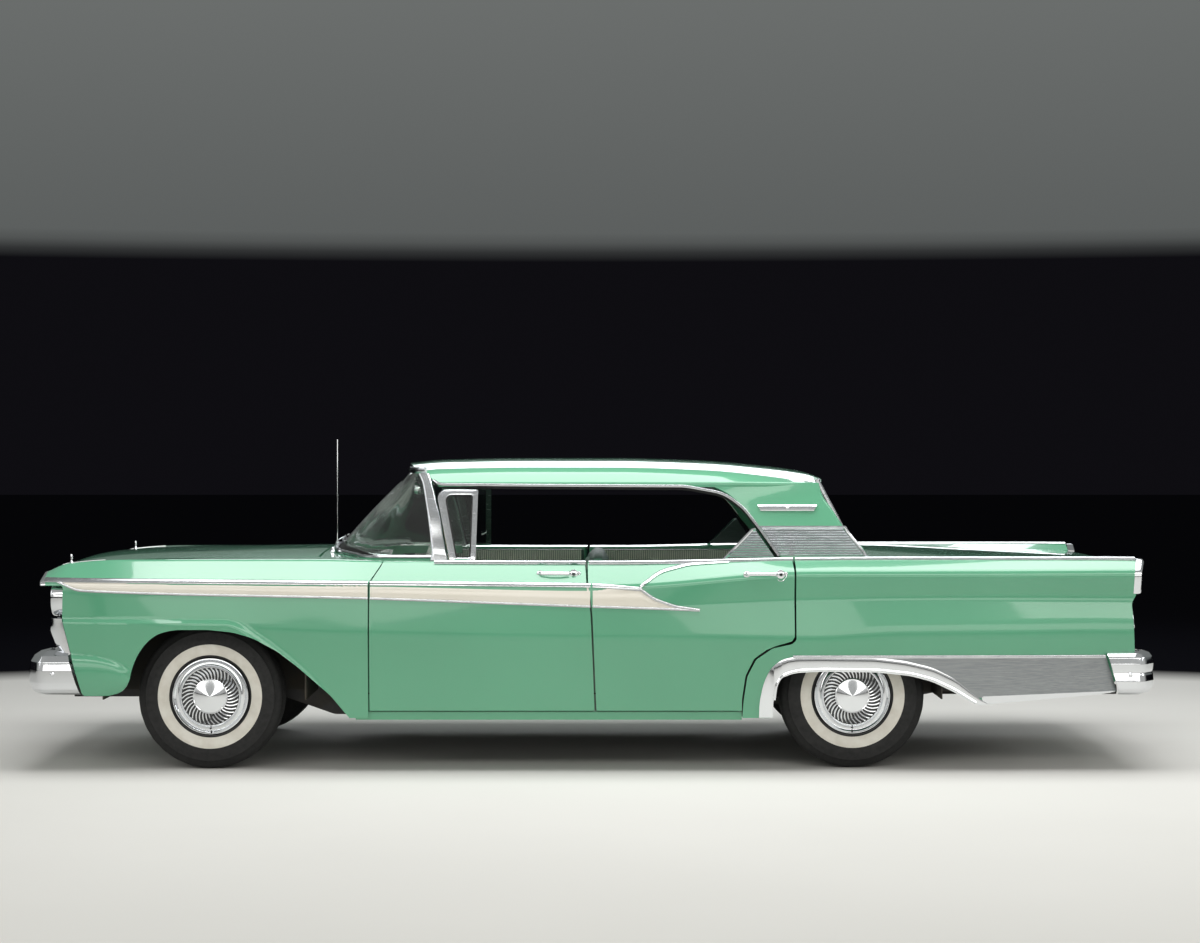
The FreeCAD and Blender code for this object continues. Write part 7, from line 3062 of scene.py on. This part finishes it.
# ------------------------------------------------------------------ cabin
def puffed(piece: Piece, cap: float, voxel: float = 0.011) -> Piece:
    """Stuffs a pad: an even mesh, blown up as cloth under pressure, then smoothed once.

    Args:
        piece: The closed pad, a little smaller than the finished one.
        cap: Furthest that any point may move, in metres.
        voxel: Size of the even mesh.

    Returns:
        The same piece.
    """
    modified(piece, "REMESH", mode="VOXEL", voxel_size=voxel)
    scene = bpy.context.scene
    start = [vertex.co.copy() for vertex in piece.data.vertices]
    cloth = piece.modifiers.new("stuffing", "CLOTH")
    cloth.settings.use_pressure = True
    cloth.settings.uniform_pressure_force = 4.0
    cloth.settings.quality = 5
    cloth.settings.effector_weights.gravity = 0
    cloth.point_cache.frame_start, cloth.point_cache.frame_end = 1, 20
    for frame in range(1, 21):
        scene.frame_set(frame)
    blown = piece.evaluated_get(bpy.context.evaluated_depsgraph_get())
    moved = [vertex.co.copy() for vertex in blown.data.vertices]
    piece.modifiers.remove(cloth)
    scene.frame_set(1)
    for vertex, old, new in zip(piece.data.vertices, start, moved):
        shift = new - old
        vertex.co = old + shift.normalized() * min(shift.length, cap)
    return modified(piece, "SUBSURF", levels=1, render_levels=1)


@dataclass
class Pad:
    """One bench cushion or back: its section, its sewn channels and the plane that they run in."""

    name: str
    section: Sequence[Sequence[float]]
    half: float
    up: Vector
    insert: tuple[float, float]
    along: Vector
    pitch: float = 0.058
    fill: float = 0.7

    def build(self) -> Piece:
        """Makes the pad, its channels and the seams round its insert.

        Returns:
            The pad, not yet dressed.
        """
        line = evenly(rounded(list(self.section), steps=6), 64, True)
        centre = sum((Vector((p.x, p.y)) for p in line), Vector((0, 0))) / len(line)
        rings = []
        for y, inset in ((0, 0.034), (0.010, 0.016), (0.030, 0.006), (0.060, 0.003), (0.5, 0.0)):
            rings.append((self.half - y if y < 0.5 else 0.0, inset))
        places = [(-y, inset) for y, inset in rings[:-1]] + [(0.0, 0.0)] + [
            (y, inset) for y, inset in rings[-2::-1]
        ]
        loops = []
        for y, inset in places:
            loops.append(
                [
                    (p.x + (centre - p).normalized().x * inset, y, p.y + (centre - p).normalized().y * inset)
                    for p in line
                ]
            )
        pad = loft(self.name, loops)
        puffed(pad, 0.024)
        self.sew(pad)
        return pad

    def sew(self, pad: Piece) -> None:
        """Presses the sewn channels in and gives the insert its cloth.

        Args:
            pad: The stuffed pad.
        """
        low, high = self.insert
        border = self.half - 0.075
        shifts = []
        for vertex in pad.data.vertices:
            facing = vertex.normal.dot(self.up)
            run = vertex.co.dot(self.along)
            inside = (
                smooth((facing - 0.25) / 0.25)
                * smooth((border - abs(vertex.co.y)) / 0.01)
                * smooth((run - low) / 0.012)
                * smooth((high - run) / 0.012)
            )
            groove = abs((vertex.co.y / self.pitch + 0.5) % 1 - 0.5) * self.pitch
            depth = 0.007 * math.exp(-((groove / 0.0075) ** 2)) * inside
            seam = min(abs(run - low), abs(run - high)) if abs(vertex.co.y) < border else 1.0
            if low <= run <= high:
                seam = min(seam, abs(abs(vertex.co.y) - border))
            depth += 0.006 * math.exp(-((seam / 0.007) ** 2)) * smooth((facing - 0.1) / 0.2)
            shifts.append(vertex.normal * -depth)
        for vertex, shift in zip(pad.data.vertices, shifts):
            vertex.co += shift
        pad.data.materials.clear()
        pad.data.materials.append(SEAT_VINYL.material())
        pad.data.materials.append(SEAT_CLOTH.material())
        for face in pad.data.polygons:
            run = face.center.dot(self.along)
            if face.normal.dot(self.up) > 0.25 and abs(face.center.y) < border and low < run < high:
                face.material_index = 1


@dataclass
class Benches:
    """Front and rear bench seats in vinyl with sewn cloth inserts."""

    lay: Layout
    half: float = 0.680

    def build(self) -> None:
        """Makes and dresses the seats."""
        front = [
            Pad(
                "front_cushion",
                [
                    (-0.548, 0.438, 0.04), (-0.085, 0.412, 0.04), (-0.075, 0.600, 0.05), (-0.300, 0.628, 0.3),
                    (-0.538, 0.640, 0.060),
                ],
                self.half, Vector((0, 0, 1)), (-0.490, -0.100), Vector((1, 0, 0)),
            ),
            Pad(
                "front_back",
                [
                    (-0.050, 0.440, 0.03), (0.010, 0.430, 0.03), (0.074, 0.960, 0.030), (0.060, 0.995, 0.030),
                    (0.006, 0.995, 0.030), (-0.030, 0.860, 0.3), (-0.078, 0.640, 0.05),
                ],
                self.half, Vector((-0.97, 0, 0.22)), (0.660, 0.930), Vector((0.0, 0, 1)),
            ),
        ]
        rear = [
            Pad(
                "rear_cushion",
                [
                    (0.425, 0.400, 0.04), (0.770, 0.515, 0.03), (0.785, 0.560, 0.04), (0.600, 0.590, 0.3),
                    (0.416, 0.598, 0.060),
                ],
                self.half, Vector((0, 0, 1)), (0.470, 0.760), Vector((1, 0, 0)),
            ),
            Pad(
                "rear_back",
                [
                    (0.800, 0.520, 0.03), (0.900, 0.520, 0.03), (0.972, 0.920, 0.03), (0.960, 0.948, 0.03),
                    (0.895, 0.948, 0.035), (0.845, 0.760, 0.3), (0.796, 0.590, 0.04),
                ],
                self.half, Vector((-0.95, 0, 0.3)), (0.620, 0.890), Vector((0, 0, 1)),
            ),
        ]
        for node, pads in (("front_seat", front), ("rear_seat", rear)):
            for number, pad in enumerate(pads):
                piece = pad.build()
                nodes = [node] if number == 0 else []
                finish_piece(piece, None, "body", *nodes, slot="upholstery", crease=60)
        self.base()

    def base(self) -> None:
        """The steel runners and slides under the front bench, and its moulded side shields."""
        runners = []
        for y in (-0.46, 0.40):
            runners.append(block("runner", (-0.500, y, 0.352), (-0.100, y + 0.060, 0.400), 0.006))
            runners.append(block("slide", (-0.470, y + 0.010, 0.400), (-0.120, y + 0.050, 0.440), 0.004))
        finish_piece(joined("seat_runners", runners), FRAME_BLACK, "body", slot="frame_black")
        shields = []
        for side in Side:
            outline = [
                (-0.120, 0.400, 0), (0.005, 0.395, 0), (0.040, 0.600, 0.03), (-0.030, 0.640, 0.03),
                (-0.120, 0.560, 0.03),
            ]
            flip = side.value
            shields.append(prism("shield", rounded(outline), *sorted((flip * 0.676, flip * 0.689)), axis="y"))
        finish_piece(joined("seat_side_shields", shields), SEAFOAM_SATIN, "body", slot="dash_paint")


@dataclass
class DoorTrim:
    """One door's inner panel: two-tone vinyl, a pleated top strip, armrest, handle and crank."""

    side: Side
    rear: bool
    inner_y: float = 0.798

    def outline(self) -> list[Sequence[float]]:
        """Gives the panel's edge.

        Returns:
            The corners, as (x, z, radius).
        """
        if self.rear:
            return [
                (0.030, 0.350, 0.02), (0.560, 0.350, 0.03), (0.610, 0.480, 0.06), (0.700, 0.590, 0.06),
                (0.850, 0.635, 0.04), (0.865, 0.955, 0.01), (0.030, 0.955, 0.01),
            ]
        return [(-0.960, 0.350, 0.02), (-0.045, 0.350, 0.02), (-0.045, 0.955, 0.01), (-0.990, 0.955, 0.01)]

    def build(self) -> None:
        """Makes and dresses the panel."""
        flip = self.side.value
        y = self.inner_y
        ends = sorted((flip * (y - 0.010), flip * (y + 0.001)))
        line = rounded(self.outline(), steps=5)
        panel = modified(prism("panel", line, *ends, axis="y"), "BEVEL", width=0.003, segments=2)
        parts = [dress(panel, TRIM_VINYL.material())]
        low, high = (0.040, 0.850) if self.rear else (-0.945, -0.055)
        upper = block("upper", (low, min(flip * (y - 0.013), flip * (y - 0.009)), 0.640), (
            high if not self.rear else high - 0.015, max(flip * (y - 0.013), flip * (y - 0.009)), 0.868
        ), 0.002)
        parts.append(dress(upper, SEAT_VINYL.material()))
        pitch = 0.0115
        rib = sweep(
            "pleat",
            [Vector((0, 0, z)) for z in (0.880, 0.915, 0.950)],
            [(-0.001, -0.0052), (0.0035, -0.003), (0.0045, 0), (0.0035, 0.003), (-0.001, 0.0052)],
            Vector((0, -flip, 0)),
        )
        count = int((high - low) / pitch)
        parts.append(
            Repeater.lay(rib, count, PLEATED_VINYL, (low + 0.006, flip * (y - 0.010), 0.0), (pitch, 0, 0))
        )
        bead = [(-0.001, -0.004), (0.003, -0.003), (0.004, 0), (0.003, 0.003), (-0.001, 0.004)]
        for z in (0.636, 0.874, 0.954):
            stop = high if z > 0.7 or not self.rear else 0.845
            run = [Vector((x, flip * (y - 0.011), z)) for x in (low, (low + stop) / 2, stop)]
            parts.append(dress(sweep("bead", run, bead, Vector((0, -flip, 0))), BRIGHT.material()))
        start = 0.250 if self.rear else -0.520
        rings = []
        for x, size in (
            (0, 0.45), (0.012, 0.8), (0.05, 1.0), (0.15, 1.0), (0.24, 0.95), (0.288, 0.7), (0.300, 0.4)
        ):
            ring = rounded([
                (y - 0.008, 0.690, 0), (y - 0.008 - 0.030 * size, 0.692, 0.012),
                (y - 0.008 - 0.052 * size, 0.725, 0.012), (y - 0.008 - 0.050 * size, 0.742, 0.010),
                (y - 0.008, 0.748, 0),
            ], steps=4)
            rings.append([(start + x, flip * p.x, 0.72 + (p.y - 0.72) * (0.6 + 0.4 * size)) for p in ring])
        parts.append(dress(loft("armrest", rings), SEAT_VINYL.material()))
        parts += self.hardware(start)
        word = "rear" if self.rear else "front"
        body = f"{word}_door_{self.side.word}"
        finish_piece(joined(f"{body}_trim", parts), None, body, slot="upholstery", crease=40)

    def hardware(self, start: float) -> list[Piece]:
        """Makes the window crank with its knob, and the inside handle, on round plates.

        Args:
            start: Place of the door's rear end along the car.

        Returns:
            The dressed parts.
        """
        flip = self.side.value
        face = self.inner_y - 0.012
        plate = [(0, 0.006), (0.018, 0.0055), (0.023, 0.002), (0.023, -0.004), (0, -0.004)]
        parts = []
        for x, z, reach, drop in ((start - 0.075, 0.800, 0.105, -0.3), (start + 0.06, 0.815, 0.085, 0.0)):
            parts.append(lathe("plate", plate, (x, flip * face, z), "y", 28, -flip))
            path = [
                Vector((
                    x + reach * t * math.cos(drop), flip * (face - 0.006 - 0.016 * t),
                    z + reach * t * math.sin(drop),
                ))
                for t in (0, 0.25, 0.5, 0.75, 1.0)
            ]
            parts.append(tube("arm", path, 0.0052, 10))
            if drop:
                knob = [(0, 0.030), (0.007, 0.029), (0.010, 0.024), (0.008, 0.012), (0.006, 0.0), (0, 0.0)]
                parts.append(lathe("knob", knob, tuple(path[-1]), "y", 20, -flip))
        return [dress(part, CHROME.material()) for part in parts]


@dataclass
class Cabin:
    """Dash, steering wheel, mirror, visors, headliner and carpets."""

    lay: Layout
    wheel_centre: Vector = field(default_factory=lambda: Vector((-0.688, -0.370, 0.951)))
    wheel_tilt: float = 18.0
    wheel_radius: float = 0.213

    def build(self) -> None:
        """Makes and dresses the cabin."""
        Benches(self.lay).build()
        for side in Side:
            DoorTrim(side, False).build()
            DoorTrim(side, True).build()
        self.steering_wheel()
        self.dash()
        self.lever()
        self.overhead()
        self.floor_covers()

    def steering_wheel(self) -> None:
        """Cream rim with finger waves, two dished spokes, bright horn ring and hub cap."""
        tilt = math.radians(self.wheel_tilt)
        place = Matrix.Translation(self.wheel_centre) @ Matrix.Rotation(-tilt, 4, "Y")
        r = self.wheel_radius
        rings = []
        for n in range(96):
            turn = 2 * math.pi * n / 96
            thick = 0.0112 - 0.0008 * (0.5 + 0.5 * math.cos(turn * 40)) * (1 if math.cos(turn) < 0.2 else 0)
            ring = []
            for m in range(14):
                a = 2 * math.pi * m / 14
                reach = r + thick * math.cos(a)
                ring.append((thick * math.sin(a), reach * math.sin(turn), reach * math.cos(turn)))
            rings.append(ring)
        parts = [dress(loft("rim", rings, caps=False, closed=True), CREAM.material())]
        for flip in (1, -1):
            rings = []
            for share in shares(8):
                y = flip * (0.028 + (r - 0.030) * share)
                x = -0.026 * (1 - share) ** 1.5
                tall, deep = 0.019 - 0.007 * share, 0.006 - 0.0015 * share
                ring = rounded([
                    (x - deep, tall, 0.004), (x + deep, tall * 0.8, 0.004), (x + deep, -tall * 0.8, 0.004),
                    (x - deep, -tall, 0.004),
                ], steps=3)
                rings.append([(p.x, y, p.y) for p in ring])
            parts.append(dress(loft("spoke", rings), CREAM.material()))
        hub = [
            (0, 0.012), (0.014, 0.011), (0.024, 0.007), (0.030, 0.0), (0.033, -0.012), (0.033, -0.055),
            (0, -0.055),
        ]
        parts.append(dress(lathe("hub", hub, (0, 0, 0), "x", 48), CREAM.material()))
        cap = [(0, 0.018), (0.010, 0.017), (0.020, 0.013), (0.026, 0.006), (0.026, 0.002), (0, 0.002)]
        parts.append(dress(lathe("cap", cap, (0, 0, 0), "x", 48), CHROME.material()))
        arc = [Vector((0.004, 0.118 * math.sin(a), -0.118 * math.cos(a))) for a in spans(-1.45, 1.45, 0.08)]
        parts.append(dress(tube("horn_ring", arc, 0.0036, 10), CHROME.material()))
        for part in parts:
            part.data.transform(place)
        finish_piece(
            joined("steering_wheel_dressed", parts),
            None,
            "steering_wheel",
            "steering_wheel",
            slot="cream_plastic",
            crease=45,
        )

    def dash(self) -> None:
        """Instrument pod, radio, glove box and bright strips on the painted dash, under a padded roll."""
        face = -0.964
        parts = []
        roll = []
        for y in spans(-0.690, 0.690, 0.06):
            ring = rounded([
                (-1.150, 0.930, 0), (-0.990, 0.930, 0.02), (-0.961, 0.905, 0.02), (-0.985, 0.896, 0.01),
                (-1.150, 0.918, 0),
            ], steps=4)
            fade = 1 - 0.10 * smooth((abs(y) - 0.64) / 0.05)
            roll.append([(-1.07 + (p.x + 1.07) * fade, y, 0.915 + (p.y - 0.908) * fade) for p in ring])
        parts.append(dress(loft("roll", roll), TRIM_VINYL.material()))
        pod = rounded([
            (-0.600, 0.812, 0.03), (-0.140, 0.812, 0.03), (-0.160, 0.892, 0.03), (-0.580, 0.892, 0.03)
        ], steps=6)
        rings = []
        for x, grow in ((-0.010, 0.0), (0.012, 0.0), (0.016, -0.004), (0.012, -0.009), (0.002, -0.012)):
            centre = Vector((-0.370, 0.852))
            rings.append([(face + x - 0.014, *q) for q in drawn_in(pod, centre, -grow)])
        parts.append(dress(loft("pod", rings), CHROME.material()))
        glass = [(face - 0.0115, q.x, q.y) for q in drawn_in(pod, Vector((-0.370, 0.852)), 0.011)]
        parts.append(
            dress(loft("dial_face", [glass, [(x + 0.0015, y, z) for x, y, z in glass]]), DIAL.material())
        )
        for y, r in ((-0.535, 0.026), (-0.470, 0.026), (-0.270, 0.026), (-0.205, 0.026)):
            ring = [(r, 0.0), (r, 0.006), (r + 0.003, 0.006), (r + 0.003, 0.0), (r, 0.0)]
            parts.append(
                dress(lathe("dial_ring", ring, (face - 0.011, y, 0.852), "x", 40), CHROME.material())
            )
            needle = block(
                "needle",
                (face - 0.0095, y - 0.001, 0.852),
                (face - 0.0085, y + 0.001, 0.852 + r * 0.75),
                0.0003,
            )
            parts.append(dress(needle, IVORY.material()))
        marks = []
        for n in range(13):
            a = math.radians(-66 + 11 * n)
            y, z = -0.370 + 0.062 * math.sin(a), 0.826 + 0.052 * math.cos(a)
            marks.append(
                block(
                    "mark",
                    (face - 0.0095, y - 0.0012, z - 0.005),
                    (face - 0.0085, y + 0.0012, z + 0.005),
                    0.0003,
                )
            )
        parts.append(dress(joined("marks", marks), IVORY.material()))
        radio = block("radio", (face - 0.022, -0.105, 0.800), (face - 0.006, 0.105, 0.872), 0.005)
        parts.append(dress(radio, BRIGHT.material()))
        parts.append(
            dress(
                block("band", (face - 0.008, -0.070, 0.845), (face - 0.004, 0.070, 0.864), 0.001),
                DIAL.material(),
            )
        )
        knob = [
            (0, 0.022), (0.008, 0.021), (0.0115, 0.017), (0.013, 0.004), (0.016, 0.0), (0.016, -0.006),
            (0, -0.006),
        ]
        for y in (-0.088, 0.088, -0.620, -0.655, 0.160, 0.200):
            parts.append(dress(lathe("knob", knob, (face - 0.006, y, 0.826), "x", 28), CHROME.material()))
        key = block("button", (face - 0.007, -0.0075, 0.812), (face + 0.004, 0.0075, 0.826), 0.002)
        parts.append(Repeater.lay(key, 5, CREAM, (0, -0.044, 0), (0, 0.022, 0)))
        lid = rounded([
            (0.270, 0.790, 0.015), (0.640, 0.790, 0.015), (0.630, 0.885, 0.015), (0.275, 0.885, 0.015)
        ], steps=4)
        door = [(face - 0.016, p.x, p.y) for p in lid]
        parts.append(
            dress(
                loft("glove_box", [door, [(x + 0.012, y, z) for x, y, z in door]]), SEAFOAM_SATIN.material()
            )
        )
        parts.append(dress(lathe("lock", knob, (face - 0.005, 0.455, 0.872), "x", 24), CHROME.material()))
        strip = [(-0.002, -0.004), (0.003, -0.003), (0.004, 0), (0.003, 0.003), (-0.002, 0.004)]
        run = [Vector((face - 0.012, y, 0.780)) for y in spans(-0.685, 0.685, 0.2)]
        parts.append(dress(sweep("strip", run, strip, Vector((1, 0, 0))), BRIGHT.material()))
        finish_piece(joined("dash_fittings", parts), None, "body", slot="dash_paint", crease=40)

    def lever(self) -> None:
        """Gear lever on the right of the column and signal lever on its left."""
        parts = []
        for flip, reach in ((1, 0.190), (-1, 0.120)):
            path = [
                Vector((-0.850 + 0.10 * t, -0.370 + flip * reach * t, 0.899 + 0.022 * math.sin(t * 1.6)))
                for t in spans(0, 1, 0.1)
            ]
            parts.append(dress(tube("lever", path, 0.0048, 12), CHROME.material()))
            ball = [
                (0, 0.015), (0.006, 0.014), (0.011, 0.009), (0.0125, 0.0), (0.010, -0.009), (0.005, -0.014),
                (0, -0.014),
            ]
            parts.append(dress(lathe("ball", ball, tuple(path[-1]), "y", 28, flip), CREAM.material()))
        finish_piece(joined("column_levers", parts), None, "body", slot="chrome", crease=45)

    def overhead(self) -> None:
        """Stitched headliner, two visors and the mirror."""
        lay = self.lay
        rows = []
        for x in spans(-0.700, 0.930, 0.030):
            tuck = 0.004 * math.exp(-(((x + 0.16) % 0.33 - 0.16) / 0.012) ** 2)
            top = lay.top - 0.040 - 0.050 * smooth((-0.45 - x) / 0.30) - 0.055 * smooth((x - 0.55) / 0.5)
            row = []
            for y in spans(-0.655, 0.655, 0.05):
                sag = 0.030 * (abs(y) / 0.655) ** 2 + 0.048 * smooth((abs(y) - 0.54) / 0.115)
                row.append((x, y, top - sag + tuck))
            rows.append(row + [(px, py, pz + 0.004) for px, py, pz in row[::-1]])
        finish_piece(loft("headliner", rows), HEADLINER, "body", slot="upholstery", crease=50)
        visors = []
        for side in Side:
            flip = side.value
            outline = [(flip * y, x, 0.02) for y, x in (
                (0.070, -0.790), (0.560, -0.755), (0.560, -0.630), (0.070, -0.650)
            )]
            line = [Vector((p.y, p.x)) for p in rounded(outline, steps=5)]
            centre = sum(line, Vector((0, 0))) / len(line)
            rings = []
            for z, inset in ((0, 0.006), (0.003, 0.001), (0.007, 0.0), (0.011, 0.001), (0.014, 0.006)):
                moved = zip(line, drawn_in(line, centre, inset))
                rings.append([(q.x, q.y, 1.318 + z + 0.05 * (p.x + 0.79)) for p, q in moved])
            visors.append(loft("visor", rings))
        finish_piece(joined("sun_visors", visors), HEADLINER, "body", slot="upholstery", crease=50)
        shell = rounded([
            (-0.105, 1.262, 0.02), (0.105, 1.262, 0.02), (0.098, 1.316, 0.02), (-0.098, 1.316, 0.02)
        ], steps=5)
        centre = Vector((0, 1.289))
        rings = []
        for x, inset in (
            (-0.872, 0.020), (-0.868, 0.008), (-0.860, 0.002), (-0.850, 0.0), (-0.847, 0.002), (-0.849, 0.006)
        ):
            rings.append([(x, *q) for q in drawn_in(shell, centre, inset)])
        parts = [loft("shell", rings)]
        parts.append(tube("stalk", [
            Vector((-0.868, 0, 1.300)), Vector((-0.872, 0, 1.322)), Vector((-0.862, 0, 1.345)),
            Vector((-0.845, 0, 1.362)),
        ], 0.0055, 12))
        finish_piece(joined("rear_view_mirror", parts), CHROME, "body", slot="chrome", crease=40)

    def floor_covers(self) -> None:
        """Carpet over the floor and its tunnel, a boot mat and a parcel shelf cover."""
        rows = []
        for x in spans(-1.205, 0.400, 0.06):
            top = [(0.770, 0.360), (0.160, 0.360), (0.150, 0.368), (0.147, 0.440), (0.130, 0.453)]
            line = top + [(-y, z) for y, z in top[::-1]] + [(-0.770, 0.3525)]
            line += [(-y, z - 0.004) for y, z in (
                (0.156, 0.3565), (0.1455, 0.3665), (0.1425, 0.438), (0.128, 0.4515)
            )]
            line += [(y, z - 0.004) for y, z in (
                (0.128, 0.4515), (0.1425, 0.438), (0.1455, 0.3665), (0.156, 0.3565)
            )] + [(0.770, 0.3525)]
            rows.append([(x, y, z) for y, z in line])
        finish_piece(loft("cabin_carpet", rows), CARPET, "body", slot="upholstery", crease=50)
        mat = block("boot_mat", (0.700, -0.545, 0.5015), (2.400, 0.545, 0.506), 0.002)
        finish_piece(mat, SEAL, "body", slot="upholstery")
        shelf = block("parcel_shelf_cover", (0.994, -0.695, 0.9915), (1.120, 0.695, 0.9945), 0.001)
        finish_piece(shelf, TRIM_VINYL, "body", slot="upholstery")


# ------------------------------------------------------------------ studio
@dataclass
class Studio:
    """Pale floor, soft lights and the camera, square on to the car's left side."""

    distance: float = 12.2
    height: float = 1.518
    centre_x: float = 0.040
    focal_share: float = 2438 / 1200
    horizon_share: float = 28 / 1200
    floor_radius: float = 10.8

    def build(self) -> None:
        """Makes the camera, the floor and the lights."""
        self.camera()
        self.floor()
        self.lights()

    def camera(self) -> None:
        """A level camera with its picture shifted down to the car."""
        data = bpy.data.cameras.new("camera")
        data.sensor_width = 36
        data.lens = 36 * self.focal_share
        data.shift_y = -self.horizon_share
        data.clip_end = 200
        camera = bpy.data.objects.new("camera", data)
        camera.location = (self.centre_x, -self.distance, self.height)
        camera.rotation_euler = (math.pi / 2, 0, 0)
        bpy.context.scene.collection.objects.link(camera)
        bpy.context.scene.camera = camera

    def floor(self) -> None:
        """A wide matt floor, pale under the car and round the camera, and black beyond."""
        floor = mesh_object("floor", [(-60, -60, 0), (60, -60, 0), (60, 60, 0), (-60, 60, 0)], [(0, 1, 2, 3)])
        middle = Vector((0.0, -6.0, 0.0))
        painter = Painter("studio_floor", Roughness=0.9, Specular_IOR_Level=0.0)
        away = add(
            painter.tree, "ShaderNodeVectorMath", {0: painter.place, 1: middle}, operation="DISTANCE"
        ).outputs["Value"]
        inputs = {0: painter.mottle(1.5, 4), 6: linear("#C9C8C4"), 7: linear("#CFCECA")}
        pale = add(painter.tree, "ShaderNodeMix", inputs, data_type="RGBA").outputs[2]
        inputs = {"Value": away, 1: self.floor_radius - 0.7, 2: self.floor_radius}
        edge = add(painter.tree, "ShaderNodeMapRange", inputs).outputs[0]
        inputs = {0: edge, 6: pale, 7: linear("#101014")}
        painter.link("Base Color", add(painter.tree, "ShaderNodeMix", inputs, data_type="RGBA").outputs[2])
        dress(floor, painter.material)

    def lights(self) -> None:
        """One broad overhead box, long side boxes, and a soft room round them."""
        boxes = (
            ("overhead_box", (0.6, -0.9, 5.0), (0, 0, 0), (7.2, 3.4), 500, "#FFFFFF"),
            ("near_side_box", (0.0, -8.0, 4.6), (60, 0, 0), (20.0, 1.6), 360, "#FFFDF8"),
            ("low_fill_box", (0.0, -9.5, 2.0), (86, 0, 0), (20.0, 1.6), 190, "#FFFDF8"),
            ("far_side_box", (0.5, 7.0, 4.2), (-60, 0, 0), (8.0, 2.0), 220, "#F6FAFF"),
            ("nose_box", (-8.5, -2.5, 3.2), (0, -66, -16), (3.0, 5.0), 60, "#FFFFFF"),
            ("tail_box", (8.5, -2.5, 3.4), (0, 66, 16), (2.0, 5.0), 110, "#FFFFFF"),
        )
        for name, place, turn, (width, depth), power, colour in boxes:
            data = bpy.data.lights.new(name, "AREA")
            data.shape = "RECTANGLE"
            data.size, data.size_y, data.energy = width, depth, power
            data.color = linear(colour)[:3]
            light = bpy.data.objects.new(name, data)
            light.location = place
            light.rotation_euler = [math.radians(angle) for angle in turn]
            bpy.context.scene.collection.objects.link(light)
        world = bpy.data.worlds.new("studio_room")
        world.use_nodes = True
        tree = world.node_tree
        way = add(tree, "ShaderNodeTexCoord").outputs["Generated"]
        axes = add(tree, "ShaderNodeSeparateXYZ", {0: way}).outputs
        ramps = []
        for first, last, between in (
            ("#E8E8E5", "#C4C6C4", ((0.40, "#EDEEEB"),)),
            ("#17161B", "#B0B4B2", ((0.076, "#17161B"), (0.084, "#7C807F"), (0.24, "#9A9E9C"))),
        ):
            ramp = add(tree, "ShaderNodeValToRGB", {"Fac": axes["Z"]})
            steps = ramp.color_ramp.elements
            steps[0].color, steps[1].color = linear(first), linear(last)
            for stop, code in between:
                steps.new(stop).color = linear(code)
            ramps.append(ramp.outputs["Color"])
        away = add(
            tree, "ShaderNodeMapRange", {"Value": axes["Y"], "From Min": -0.15, "From Max": 0.30}
        ).outputs["Result"]
        room = add(tree, "ShaderNodeMix", {0: away, 6: ramps[0], 7: ramps[1]}, data_type="RGBA").outputs[2]
        tree.links.new(room, tree.nodes["Background"].inputs["Color"])
        tree.nodes["Background"].inputs["Strength"].default_value = 0.75
        bpy.context.scene.world = world
        bpy.context.scene.view_settings.view_transform = "Standard"
        bpy.context.scene.view_settings.exposure = -0.5


def main() -> None:
    """Builds the car's looks round its frame."""
    logging.basicConfig(level=logging.INFO, format="%(message)s")
    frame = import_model()
    lay = Layout()
    Studio().build()
    dress_carried(frame, lay)
    wheels = [RoadWheel(end, side) for end in ("front", "rear") for side in Side]
    for assembly in (
        Bodywork(lay), SideTrim(lay), Glazing(lay), *wheels, FrontEnd(lay), RearEnd(lay), Cabin(lay)
    ):
        LOG.info("building %s", type(assembly).__name__)
        assembly.build()


if __name__ == "__main__":
    main()
